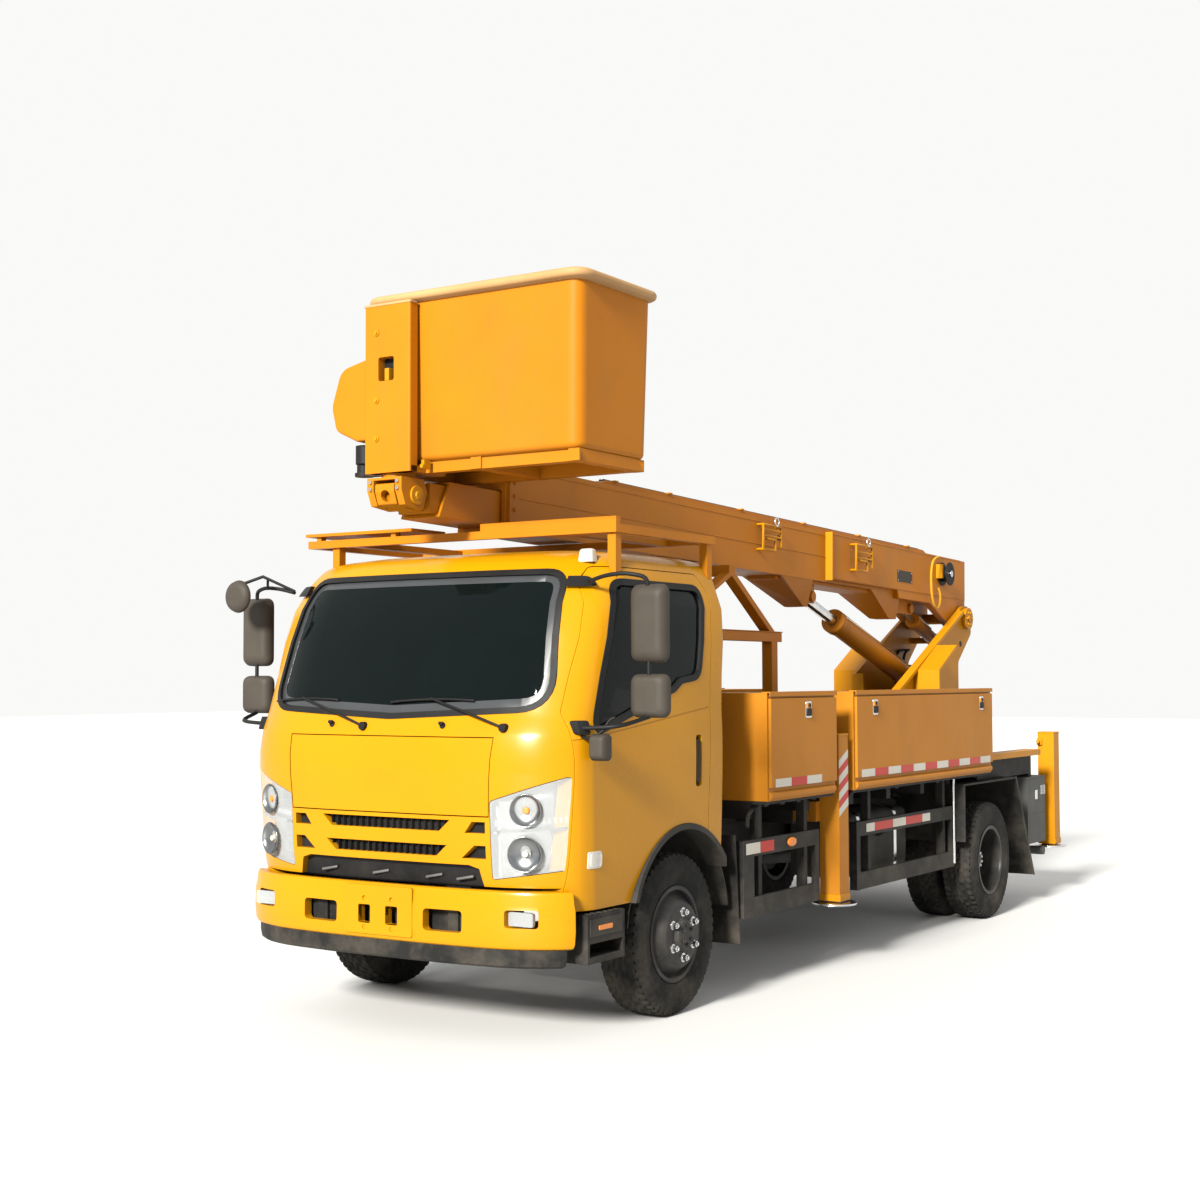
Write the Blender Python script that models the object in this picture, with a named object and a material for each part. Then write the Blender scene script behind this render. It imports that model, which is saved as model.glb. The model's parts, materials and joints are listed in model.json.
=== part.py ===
"""Cherry picker truck: a cab-over chassis with a slewing turret at the rear, a three section
telescopic boom that lies forward over the cab, and a bucket stowed beside the boom head.
Metres. +X is the vehicle's left, -Y its front and +Z up. The origin is on the ground, in the
middle of the whole vehicle's length and width."""
import math

import bmesh
import bpy
from mathutils import Vector

# Clearances
SEAT = 0.0004  # between pieces that rest or slide on each other
RUN = 0.006  # between pieces that move past each other
PIN_SIDES = 24

# Wheels
TYRE_RADIUS = 0.3985
TYRE_WIDTH = 0.225
BEAD_RADIUS = 0.222
FLANGE_RADIUS = 0.237
RIM_HALF = 0.101
NUT_PLANE = 0.143  # front disc face, outboard of the tyre's middle
HUB_CAP = 0.168
HUB_CAP_RADIUS = 0.068
HUB_RADIUS = 0.080
SPINDLE_RADIUS = 0.034
REAR_HUB_REACH = 0.150
DRUM_RADIUS = 0.165
WHEEL_SIDES = 22

# Axles
FRONT_AXLE_Y = -2.46
WHEELBASE = 4.13
FRONT_TRACK_HALF = 0.855
REAR_TRACK_HALF = 0.824  # to the middle between the twin tyres
TWIN_HALF = 0.134
KINGPIN_X = 0.700
KINGPIN_RADIUS = 0.034
AXLE_BEAM_Z = (0.335, 0.415)
AXLE_DROP = 0.060
AXLE_TUBE_RADIUS = 0.050
DIFF_RADIUS = 0.170
SPRING_X = 0.400
SPRING_WIDTH = 0.070
SPRING_HALF_LENGTH = 0.600
SPRING_THICK = 0.050
SPRING_CAMBER = 0.070

# Frame and body floor
RAIL_OUT = 0.430
RAIL_FLANGE = 0.065
RAIL_WALL = 0.008
RAIL_Z = (0.600, 0.810)
RAIL_FRONT = -3.420
RAIL_BACK = 3.150
BODY_HALF = 1.080
FLOOR_TOP = 1.000
FLOOR_THICK = 0.016
BODY_FRONT = -1.670
DECK_BACK = 2.860
SUBFRAME_HALF = 0.400
SUBFRAME_WIDTH = 0.060
CROSS_DEPTH = 0.080
KERB_TOP = 1.075
KERB_X = BODY_HALF - 0.130
GUARD_X = BODY_HALF - 0.080
GUARD_THICK = 0.026
SIDE_TANK_X = GUARD_X - 0.140  # outer face of the tank and the battery box
GUARD_LOW_Z = (0.400, 0.500)
GUARD_HIGH_Z = (0.715, 0.800)

# Lockers: front and back ends along the body, for each side
LOCKER_SPANS = {"front": (-1.670, -0.830), "rear": (-0.575, 1.700)}
LOCKER_TOP = 1.575
LOCKER_DEPTH = 0.460
LOCKER_WALL = 0.014
LOCKER_SILL = 0.060
LOCKER_FRAME = 0.045
LOCKER_DOOR_THICK = 0.018

# Outriggers
JACK_SIZE = 0.125
JACK_WALL = 0.008
LEG_SIZE = 0.097
FOOT_RADIUS = 0.130
FOOT_Z = (0.357, 0.372)
MID_JACK_X = 1.002
MID_JACK_Y = -0.725
MID_JACK_TOP = 1.330
MID_BEAM_Z = (0.832, 0.947)
MID_BEAM_WIDTH = 0.095
MID_BEAM_APART = 0.130
MID_CASE_HALF = 0.800
MID_BEAM_INNER = 0.620
CASE_WALL = 0.010
REAR_JACK_X = 0.950
REAR_JACK_Y = 3.270
REAR_JACK_TOP = 1.232
REAR_BEAM_Z = (0.640, 0.800)
REAR_BEAM_WIDTH = 0.120
LEG_LENGTH = 0.780

# Turret
SLEW_Y = 2.640
PEDESTAL_RADIUS = 0.360
PEDESTAL_TOP = 1.110
TURRET_BASE_THICK = 0.035
TURRET_INNER = 0.200
TURRET_PLATE = 0.025
GUSSET_OUT = 0.330
PIVOT_Y = 3.440
PIVOT_Z = 2.130
PIVOT_PIN_RADIUS = 0.042
PIVOT_BOSS_RADIUS = 0.085

# Boom: s runs forward from the pivot and h up from it, square to the boom
BOOM_STOW_ANGLE = math.radians(1.35)
BASE_HALF = 0.150
BASE_REAR_HALF = 0.190
BASE_H = (0.130, 0.480)
BASE_S = (-0.085, 6.220)
BASE_STEP_S = 2.440
BASE_WALL = 0.012
MID_HALF = 0.120
MID_H = (0.150, 0.330)
MID_S = (0.900, 6.660)
MID_WALL = 0.009
TIP_HALF = 0.098
TIP_H = (0.168, 0.312)
TIP_S = (1.150, 6.765)
LEVEL_S = 6.880
LEVEL_H = 0.238
LEVEL_BOSS_RADIUS = 0.064
EYE_S = 2.520
EYE_H = 0.026

# Lift and levelling cylinders: lower pins on the turret, as (y, z)
LIFT_PIN = (2.790, 1.650)
LIFT_BORE_RADIUS = 0.078
LIFT_ROD_RADIUS = 0.038
LIFT_BARREL = 1.420
LEVEL_PIN = (3.340, 1.955)
LEVEL_EYE = (0.800, 0.040)  # s and h on the boom
LEVEL_BORE_RADIUS = 0.048
LEVEL_ROD_RADIUS = 0.022
LEVEL_BARREL = 0.460
CYLINDER_PIN_RADIUS = 0.025
LIFT_SLOT_HALF = 0.055
LEVEL_SLOT_HALF = 0.050

# Bucket
SWING_Y = -3.430
HEAD_TOP = 2.612
BUCKET_X = (-0.140, 1.060)
BUCKET_Y = (-3.460, -2.820)
TURNTABLE_THICK = 0.023
UNDERFRAME_DEPTH = 0.055
UNDERFRAME_Z = HEAD_TOP + TURNTABLE_THICK
BUCKET_FLOOR = UNDERFRAME_Z + UNDERFRAME_DEPTH
BUCKET_HEIGHT = 0.810
BUCKET_TOP = BUCKET_FLOOR + BUCKET_HEIGHT
BUCKET_WALL = 0.012
BUCKET_CORNER = 0.070
BUCKET_TAPER = 0.020
BUCKET_RIM = 0.038
MAST_X = (-0.130, 0.148)
MAST_Y = (-3.535, -3.480)
MAST_TOP = BUCKET_TOP - 0.060
MAST_WINDOW_Z = (BUCKET_FLOOR + 0.385, BUCKET_FLOOR + 0.500)

# Cab
CAB_BACK = -2.010
CAB_WALL = 0.045
CAB_FLOOR = (0.945, 0.985)
CAB_BOTTOM = 0.602
ARCH_CENTRE = (-2.420, 0.425)
ARCH_RADIUS = 0.515
DOOR_GAP = 0.006
HINGE_Y = -3.360
HINGE_X = 0.935
DOOR_INNER = 0.835
PANEL_DEPTH = 0.022
GLASS_INSET = 0.012
GLASS_THICK = 0.006

BUMPER_FRONT = -3.580
BUMPER_Z = (0.440, 0.700)
BUMPER_HALF = 1.000
BUMPER_WALL = 0.050
APRON_Z = 0.355

RACK_TOP = 2.372
RACK_HALF = 0.850
RACK_Y = (-3.010, -2.050)
RACK_TUBE = 0.040

REAR_AXLE_Y = FRONT_AXLE_Y + WHEELBASE
AXLE_Z = TYRE_RADIUS
FLOOR_BOTTOM = FLOOR_TOP - FLOOR_THICK

# Colour, roughness and metallic of each finish
FINISHES = {
    "cab_yellow": ((0.87, 0.58, 0.02), 0.35, 0.0),
    "boom_orange": ((0.78, 0.33, 0.02), 0.40, 0.0),
    "locker_orange": ((0.72, 0.34, 0.05), 0.45, 0.0),
    "turret_yellow": ((0.90, 0.55, 0.01), 0.40, 0.0),
    "chassis_black": ((0.03, 0.03, 0.035), 0.55, 0.3),
    "guard_grey": ((0.10, 0.10, 0.09), 0.60, 0.3),
    "rubber": ((0.03, 0.03, 0.03), 0.90, 0.0),
    "rim_black": ((0.05, 0.05, 0.05), 0.50, 0.5),
    "steel": ((0.60, 0.60, 0.62), 0.20, 1.0),
    "glass": ((0.02, 0.03, 0.03), 0.05, 0.0),
    "lamp_clear": ((0.75, 0.75, 0.75), 0.10, 0.2),
    "mirror_plastic": ((0.20, 0.17, 0.15), 0.60, 0.0),
    "seat_grey": ((0.12, 0.12, 0.13), 0.85, 0.0),
    "tank_rust": ((0.30, 0.13, 0.05), 0.70, 0.1),
    "engine_grey": ((0.22, 0.22, 0.22), 0.60, 0.6),
}


def clear_scene():
    for thing in list(bpy.data.objects):
        bpy.data.objects.remove(thing, do_unlink=True)


def finish(name):
    material = bpy.data.materials.get(name)
    if material:
        return material
    colour, roughness, metallic = FINISHES[name]
    material = bpy.data.materials.new(name)
    material.use_nodes = True
    shader = material.node_tree.nodes["Principled BSDF"]
    shader.inputs["Base Color"].default_value = (*colour, 1.0)
    shader.inputs["Roughness"].default_value = roughness
    shader.inputs["Metallic"].default_value = metallic
    material.diffuse_color = (*colour, 1.0)
    return material


# Shapes: each function gives a closed mesh in world coordinates

def closed_mesh(points, faces):
    mesh = bpy.data.meshes.new("shape")
    mesh.from_pydata([tuple(p) for p in points], [], faces)
    work = bmesh.new()
    work.from_mesh(mesh)
    bmesh.ops.remove_doubles(work, verts=work.verts, dist=1e-6)
    bmesh.ops.recalc_face_normals(work, faces=work.faces)
    work.to_mesh(mesh)
    work.free()
    return mesh


def loft(loops, closed=False):
    """A solid through loops with the same number of points, capped at both ends or closed on itself."""
    count = len(loops[0])
    points = [point for loop in loops for point in loop]
    steps = len(loops) if closed else len(loops) - 1
    faces = []
    for i in range(steps):
        a = i * count
        b = (i + 1) % len(loops) * count
        faces += [(a + j, a + (j + 1) % count, b + (j + 1) % count, b + j) for j in range(count)]
    if not closed:
        faces.append(tuple(range(count)))
        faces.append(tuple(range(len(points) - count, len(points))))
    return closed_mesh(points, faces)


def on_axis(axis, along, first, second):
    """The 3-D point that lies at along on the axis and at first, second on the other two, in order."""
    if axis == "x":
        return (along, first, second)
    if axis == "y":
        return (first, along, second)
    return (first, second, along)


def prism(axis, outline, start, end):
    """The outline, in the two other axes, extruded along the axis."""
    return loft([[on_axis(axis, at, *point) for point in outline] for at in (start, end)])


def box(low, high):
    outline = [(low[0], low[1]), (high[0], low[1]), (high[0], high[1]), (low[0], high[1])]
    return prism("z", outline, low[2], high[2])


def turned(axis, centre, profile, sides):
    """A closed profile of (along, radius) points turned about an axis through the centre."""
    faces = []
    points = []
    start = 0.5 if sides % 2 else 0.0
    others = {"x": (1, 2), "y": (0, 2), "z": (0, 1)}[axis]
    base = centre["xyz".index(axis)]
    for i in range(sides):
        angle = 2 * math.pi * (i + start) / sides - math.pi / 2
        for along, radius in profile:
            points.append(on_axis(
                axis,
                base + along,
                centre[others[0]] + radius * math.cos(angle),
                centre[others[1]] + radius * math.sin(angle),
            ))
    count = len(profile)
    for i in range(sides):
        a = i * count
        b = (i + 1) % sides * count
        for j in range(count):
            k = (j + 1) % count
            if profile[j][1] == 0 and profile[k][1] == 0:
                continue
            faces.append([a + j, a + k, b + k, b + j])
    return merged_mesh(points, faces)


def merged_mesh(points, faces):
    """A mesh from faces of which some have corners on the same place, as on a turned shape's axis."""
    places = {}
    index = []
    kept = []
    for point in points:
        key = tuple(round(value, 7) for value in point)
        if key not in places:
            places[key] = len(kept)
            kept.append(point)
        index.append(places[key])
    tidy = []
    for face in faces:
        corners = list(dict.fromkeys(index[i] for i in face))
        if len(corners) > 2:
            tidy.append(corners)
    return closed_mesh(kept, tidy)


def bar(start, end, radius, sides=12):
    """A round bar between two points."""
    return pipe([start, end], radius, sides)


def cross_pin(half, place, radius):
    """A pin across the vehicle through a (y, z) place."""
    return bar((-half, *place), (half, *place), radius, PIN_SIDES)


def bore_radius(radius, sides=PIN_SIDES):
    """The radius of a bore of so many flats in which a pin of this radius turns."""
    return (radius + SEAT) / math.cos(math.pi / sides)


def pipe(points, radius, sides=8):
    """A tube along a run of points, mitred where it bends."""
    points = [Vector(point) for point in points]
    loops = []
    first = (points[1] - points[0]).normalized()
    side = first.orthogonal().normalized()
    for i, point in enumerate(points):
        before = (point - points[i - 1]).normalized() if i else first
        after = (points[i + 1] - point).normalized() if i + 1 < len(points) else before
        along = (before + after).normalized()
        side = (side - before * side.dot(before)).normalized()
        up = before.cross(side)
        loop = []
        for j in range(sides):
            angle = 2 * math.pi * (j + 0.5) / sides
            spoke = side * math.cos(angle) * radius + up * math.sin(angle) * radius
            loop.append(point + spoke - before * (spoke.dot(along) / before.dot(along)))
        loops.append(loop)
        side = (side - after * side.dot(after)).normalized()
    return loft(loops)


def rounded(corners, radius, steps=3):
    """An outline with each corner rounded; a corner may carry its own radius as a third value."""
    outline = []
    count = len(corners)
    for i, corner in enumerate(corners):
        here = Vector(corner[:2])
        size = corner[2] if len(corner) > 2 else radius
        if size <= 0:
            outline.append(tuple(here))
            continue
        to_last = (Vector(corners[i - 1][:2]) - here)
        to_next = (Vector(corners[(i + 1) % count][:2]) - here)
        half = to_last.angle(to_next) / 2
        reach = min(size / math.tan(half), 0.49 * to_last.length, 0.49 * to_next.length)
        start = here + to_last.normalized() * reach
        end = here + to_next.normalized() * reach
        for k in range(steps + 1):
            t = k / steps
            outline.append(tuple(start * (1 - t) ** 2 + here * 2 * t * (1 - t) + end * t ** 2))
    return outline


def grown(outline, distance):
    """The outline moved outwards by the distance, or inwards where it is negative."""
    area = sum(
        a[0] * b[1] - b[0] * a[1] for a, b in zip(outline, outline[1:] + outline[:1])
    )
    sign = 1 if area > 0 else -1
    moved = []
    for i, point in enumerate(outline):
        here = Vector(point)
        before = (here - Vector(outline[i - 1])).normalized()
        after = (Vector(outline[(i + 1) % len(outline)]) - here).normalized()
        normal_before = Vector((before.y, -before.x)) * sign
        normal_after = Vector((after.y, -after.x)) * sign
        bisector = (normal_before + normal_after).normalized()
        moved.append(tuple(here + bisector * (distance / max(bisector.dot(normal_after), 0.3))))
    return moved


def circle(centre, radius, sides=16, start=0.0):
    return [
        (
            centre[0] + radius * math.cos(start + 2 * math.pi * i / sides),
            centre[1] + radius * math.sin(start + 2 * math.pi * i / sides),
        )
        for i in range(sides)
    ]


def combined(shapes, operation):
    """One mesh from several closed meshes, by an exact Boolean."""
    shapes = list(shapes)
    if len(shapes) == 1:
        return shapes[0]
    scene = bpy.context.scene.collection
    body = bpy.data.objects.new("work", shapes[0])
    scene.objects.link(body)
    group = bpy.data.collections.new("operands")
    scene.children.link(group)
    others = []
    for shape in shapes[1:]:
        other = bpy.data.objects.new("operand", shape)
        group.objects.link(other)
        others.append(other)
    step = body.modifiers.new("combine", "BOOLEAN")
    step.operation = operation
    step.operand_type = "COLLECTION"
    step.collection = group
    step.solver = "EXACT"
    graph = bpy.context.evaluated_depsgraph_get()
    result = bpy.data.meshes.new_from_object(body.evaluated_get(graph))
    for thing in [body, *others]:
        bpy.data.objects.remove(thing, do_unlink=True)
    bpy.data.collections.remove(group)
    return result


def fuse(*shapes):
    return combined(shapes, "UNION")


def cut(shape, *cutters):
    return combined([shape, *cutters], "DIFFERENCE")


def common(first, second):
    return combined([first, second], "INTERSECT")


def mirrored(shape):
    """The shape on the other side of the vehicle."""
    copy = shape.copy()
    work = bmesh.new()
    work.from_mesh(copy)
    for vertex in work.verts:
        vertex.co.x = -vertex.co.x
    bmesh.ops.reverse_faces(work, faces=work.faces)
    work.to_mesh(copy)
    work.free()
    return copy


def sided(shape, side):
    return shape if side > 0 else mirrored(shape)


def node(name, shape, look, origin=(0, 0, 0), parent=None):
    """One named piece, with its origin on the given point."""
    mesh = shape.copy()
    mesh.name = name
    origin = Vector(origin)
    for vertex in mesh.vertices:
        vertex.co -= origin
    mesh.materials.clear()
    mesh.materials.append(finish(look))
    mesh.shade_smooth()
    mesh.set_sharp_from_angle(angle=math.radians(35))
    piece = bpy.data.objects.new(name, mesh)
    bpy.context.scene.collection.objects.link(piece)
    if parent:
        piece.parent = parent
        piece.location = origin - world_origin(parent)
    else:
        piece.location = origin
    return piece


def world_origin(piece):
    place = piece.location.copy()
    while piece.parent:
        piece = piece.parent
        place += piece.location
    return place


def boom_point(s, h):
    """(y, z) of a place on the stowed boom."""
    lean = BOOM_STOW_ANGLE
    return (
        PIVOT_Y - s * math.cos(lean) + h * math.sin(lean),
        PIVOT_Z + s * math.sin(lean) + h * math.cos(lean),
    )


def boom_outline(points):
    return [boom_point(*point) for point in points]


def boom_box(half, s, h):
    outline = boom_outline([(s[0], h[0]), (s[1], h[0]), (s[1], h[1]), (s[0], h[1])])
    return prism("x", outline, -half, half)


# Wheels and axles

def make_tyre(name, x, y, parent):
    half = TYRE_WIDTH / 2
    side = [
        (0.085, BEAD_RADIUS + SEAT),
        (0.098, FLANGE_RADIUS + 0.002),
        (half, 0.310),
        (half - 0.008, 0.362),
        (half - 0.025, TYRE_RADIUS - 0.007),
        (half - 0.060, TYRE_RADIUS),
    ]
    profile = side + [(-along, radius) for along, radius in reversed(side)]
    shape = turned("x", (x, y, AXLE_Z), profile, WHEEL_SIDES)
    return node(name, shape, "rubber", (x, y, AXLE_Z), parent)


SPINDLE_BORE = bore_radius(SPINDLE_RADIUS, WHEEL_SIDES)
AXLE_BORE = bore_radius(AXLE_TUBE_RADIUS, WHEEL_SIDES)

FRONT_RIM = [
    (-RIM_HALF, FLANGE_RADIUS),
    (-0.088, BEAD_RADIUS),
    (0.088, BEAD_RADIUS),
    (RIM_HALF, FLANGE_RADIUS),
    (RIM_HALF, 0.212),
    (0.078, 0.206),
    (0.100, 0.178),
    (NUT_PLANE, 0.150),
    (NUT_PLANE, HUB_RADIUS),
    (HUB_CAP, HUB_CAP_RADIUS),
    (HUB_CAP, 0),
    (HUB_CAP - 0.014, 0),
    (HUB_CAP - 0.014, SPINDLE_BORE),
    (-0.015, SPINDLE_BORE),
    (-0.015, HUB_RADIUS - 0.008),
    (NUT_PLANE - 0.012, HUB_RADIUS),
    (NUT_PLANE - 0.012, 0.145),
    (0.066, 0.196),
    (-RIM_HALF, 0.210),
]

REAR_RIM = [
    (-TWIN_HALF - RIM_HALF, FLANGE_RADIUS),
    (-TWIN_HALF - 0.088, BEAD_RADIUS),
    (-TWIN_HALF + 0.088, BEAD_RADIUS),
    (-TWIN_HALF + RIM_HALF, FLANGE_RADIUS),
    (-TWIN_HALF + RIM_HALF, 0.212),
    (-0.014, 0.165),
    (0.014, 0.165),
    (TWIN_HALF - RIM_HALF, 0.212),
    (TWIN_HALF - RIM_HALF, FLANGE_RADIUS),
    (TWIN_HALF - 0.088, BEAD_RADIUS),
    (TWIN_HALF + 0.088, BEAD_RADIUS),
    (TWIN_HALF + RIM_HALF, FLANGE_RADIUS),
    (TWIN_HALF + RIM_HALF, 0.210),
    (0.070, 0.200),
    (0.030, 0.150),
    (0.030, HUB_RADIUS),
    (REAR_HUB_REACH - 0.020, HUB_RADIUS - 0.005),
    (REAR_HUB_REACH, HUB_CAP_RADIUS - 0.010),
    (REAR_HUB_REACH, 0),
    (0.020, 0),
    (0.020, AXLE_BORE),
    (-0.090, AXLE_BORE),
    (-0.090, HUB_RADIUS),
    (-0.030, HUB_RADIUS + 0.005),
    (-0.030, 0.150),
    (-0.070, 0.200),
    (-TWIN_HALF - RIM_HALF, 0.210),
]


def rim_profile(rows, side):
    return [(side * along, radius) for along, radius in rows]


def make_front_corner(side, tag):
    place = (side * KINGPIN_X, FRONT_AXLE_Y, AXLE_Z)
    hub = (side * FRONT_TRACK_HALF, FRONT_AXLE_Y, AXLE_Z)
    low, high = AXLE_BEAM_Z[0] - 0.030, AXLE_BEAM_Z[1] + 0.030
    gap = SEAT
    back = KINGPIN_X + KINGPIN_RADIUS + 0.014
    plate = FRONT_TRACK_HALF - 0.098
    shapes = [
        prism("y", [(KINGPIN_X - 0.03, AXLE_BEAM_Z[1] + gap), (back + 0.03, AXLE_BEAM_Z[1] + gap),
                    (back + 0.03, high + gap), (KINGPIN_X - 0.03, high + gap)],
              FRONT_AXLE_Y - 0.040, FRONT_AXLE_Y + 0.040),
        prism("y", [(KINGPIN_X - 0.03, low - gap), (back + 0.03, low - gap),
                    (back + 0.03, AXLE_BEAM_Z[0] - gap), (KINGPIN_X - 0.03, AXLE_BEAM_Z[0] - gap)],
              FRONT_AXLE_Y - 0.040, FRONT_AXLE_Y + 0.040),
        box((back, FRONT_AXLE_Y - 0.050, low - gap), (plate + 0.004, FRONT_AXLE_Y + 0.050, high + gap)),
        turned("x", (plate, FRONT_AXLE_Y, AXLE_Z),
               [(0, 0), (0, DRUM_RADIUS), (0.066, DRUM_RADIUS), (0.066, 0)], 16),
        bar((plate, FRONT_AXLE_Y, AXLE_Z),
            (FRONT_TRACK_HALF + HUB_CAP - 0.022, FRONT_AXLE_Y, AXLE_Z), SPINDLE_RADIUS, 10),
        box((KINGPIN_X - 0.02, FRONT_AXLE_Y + 0.030, low - gap),
            (back + 0.02, FRONT_AXLE_Y + 0.150, AXLE_BEAM_Z[0] - gap)),
    ]
    knuckle = node(f"knuckle_{tag}", sided(fuse(*shapes), side), "chassis_black", place)
    rim = turned("x", hub, rim_profile(FRONT_RIM, side), WHEEL_SIDES)
    wheel = node(f"rim_front_{tag}", rim, "rim_black", hub, knuckle)
    make_tyre(f"tyre_front_{tag}", side * FRONT_TRACK_HALF, FRONT_AXLE_Y, wheel)


def make_rear_corner(side, tag):
    hub = (side * REAR_TRACK_HALF, REAR_AXLE_Y, AXLE_Z)
    rim = turned("x", hub, rim_profile(REAR_RIM, side), WHEEL_SIDES)
    wheel = node(f"rims_rear_{tag}", rim, "rim_black", hub)
    for row, offset in (("outer", TWIN_HALF), ("inner", -TWIN_HALF)):
        make_tyre(f"tyre_rear_{row}_{tag}", side * (REAR_TRACK_HALF + offset), REAR_AXLE_Y, wheel)


def spring(axle_y, seat_z, side):
    """A leaf spring as one arched band, with the hangers that take its ends up to the frame."""
    steps = 8
    low = []
    high = []
    for i in range(steps + 1):
        t = 2 * i / steps - 1
        z = seat_z + SPRING_CAMBER * t * t
        taper = SPRING_THICK * (1 - 0.6 * abs(t))
        low.append((axle_y + t * SPRING_HALF_LENGTH, z))
        high.append((axle_y + t * SPRING_HALF_LENGTH, z + taper))
    x0 = SPRING_X - SPRING_WIDTH / 2
    x1 = SPRING_X + SPRING_WIDTH / 2
    shapes = [prism("x", low + high[::-1], x0, x1)]
    for t in (-1, 1):
        y = axle_y + t * SPRING_HALF_LENGTH
        z = seat_z + SPRING_CAMBER
        outline = [(y - 0.03, z - 0.02), (y + 0.03, z - 0.02), (y + 0.05, RAIL_Z[0] - SEAT),
                   (y - 0.05, RAIL_Z[0] - SEAT)]
        shapes.append(prism("x", outline, x0 - 0.006, x1 + 0.006))
    return [sided(shape, side) for shape in shapes]


def make_front_axle():
    end = KINGPIN_X - 0.030
    low, high = AXLE_BEAM_Z
    top = [(-end, high), (-0.46, high), (-0.34, high - AXLE_DROP), (0.34, high - AXLE_DROP),
           (0.46, high), (end, high)]
    bottom = [(end, low), (0.46, low), (0.30, low - AXLE_DROP), (-0.30, low - AXLE_DROP),
              (-0.46, low), (-end, low)]
    shapes = [prism("y", top + bottom, FRONT_AXLE_Y - 0.045, FRONT_AXLE_Y + 0.045)]
    for side in (-1, 1):
        x = side * KINGPIN_X
        shapes.append(bar((x, FRONT_AXLE_Y, low), (x, FRONT_AXLE_Y, high), KINGPIN_RADIUS))
        seat = high - 0.012
        shapes.append(box((side * SPRING_X - 0.05, FRONT_AXLE_Y - 0.07, seat - 0.05),
                          (side * SPRING_X + 0.05, FRONT_AXLE_Y + 0.07, seat + 0.02)))
        shapes += spring(FRONT_AXLE_Y, seat, side)
    node("front_axle", fuse(*shapes), "chassis_black")


def make_rear_axle():
    reach = REAR_TRACK_HALF + 0.015
    shapes = [bar((-reach, REAR_AXLE_Y, AXLE_Z), (reach, REAR_AXLE_Y, AXLE_Z), AXLE_TUBE_RADIUS)]
    shapes.append(turned("y", (0, REAR_AXLE_Y, AXLE_Z), [
        (-0.17, 0), (-0.17, 0.06), (-0.11, 0.10), (-0.04, DIFF_RADIUS), (0.06, DIFF_RADIUS),
        (0.13, 0.11), (0.14, 0)], 14))
    for side in (-1, 1):
        seat = AXLE_Z + AXLE_TUBE_RADIUS - 0.010
        shapes.append(box((side * SPRING_X - 0.05, REAR_AXLE_Y - 0.08, AXLE_Z - 0.06),
                          (side * SPRING_X + 0.05, REAR_AXLE_Y + 0.08, seat + 0.02)))
        shapes += spring(REAR_AXLE_Y, seat, side)
        shapes.append(turned("x", (side * (REAR_TRACK_HALF - 0.135), REAR_AXLE_Y, AXLE_Z),
                             rim_profile([(-0.05, 0), (-0.05, DRUM_RADIUS), (0.03, DRUM_RADIUS),
                                          (0.03, 0)], side), 16))
    node("rear_axle", fuse(*shapes), "chassis_black")


def make_powertrain():
    y = FRONT_AXLE_Y
    gearbox_back = y + 1.15
    pinion = REAR_AXLE_Y - 0.1735
    shapes = [
        prism("x", [(y - 0.26, 0.520), (y + 0.55, 0.500), (y + 0.62, 0.900), (y - 0.22, 0.900)],
              -0.27, 0.27),
        loft([[(-0.19, y + 0.5, 0.46), (0.19, y + 0.5, 0.46), (0.19, y + 0.5, 0.80), (-0.19, y + 0.5, 0.80)],
              [(-0.11, gearbox_back, 0.50), (0.11, gearbox_back, 0.50), (0.11, gearbox_back, 0.68),
               (-0.11, gearbox_back, 0.68)]]),
        bar((0, gearbox_back - 0.02, 0.585), (0, pinion, AXLE_Z), 0.042, 10),
    ]
    arm = RAIL_OUT - RAIL_WALL - SEAT
    for at in (y - 0.05, y + 0.75):
        shapes.append(box((-arm, at, 0.650), (arm, at + 0.08, 0.690)))
    node("powertrain", fuse(*shapes), "engine_grey")


# Frame

def rail_outline(side):
    low, high = RAIL_Z
    out, flange, wall = RAIL_OUT, RAIL_FLANGE, RAIL_WALL
    points = [(out, low), (out, high), (out - flange, high), (out - flange, high - wall),
              (out - wall, high - wall), (out - wall, low + wall), (out - flange, low + wall),
              (out - flange, low)]
    return [(side * x, z) for x, z in points]


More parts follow.
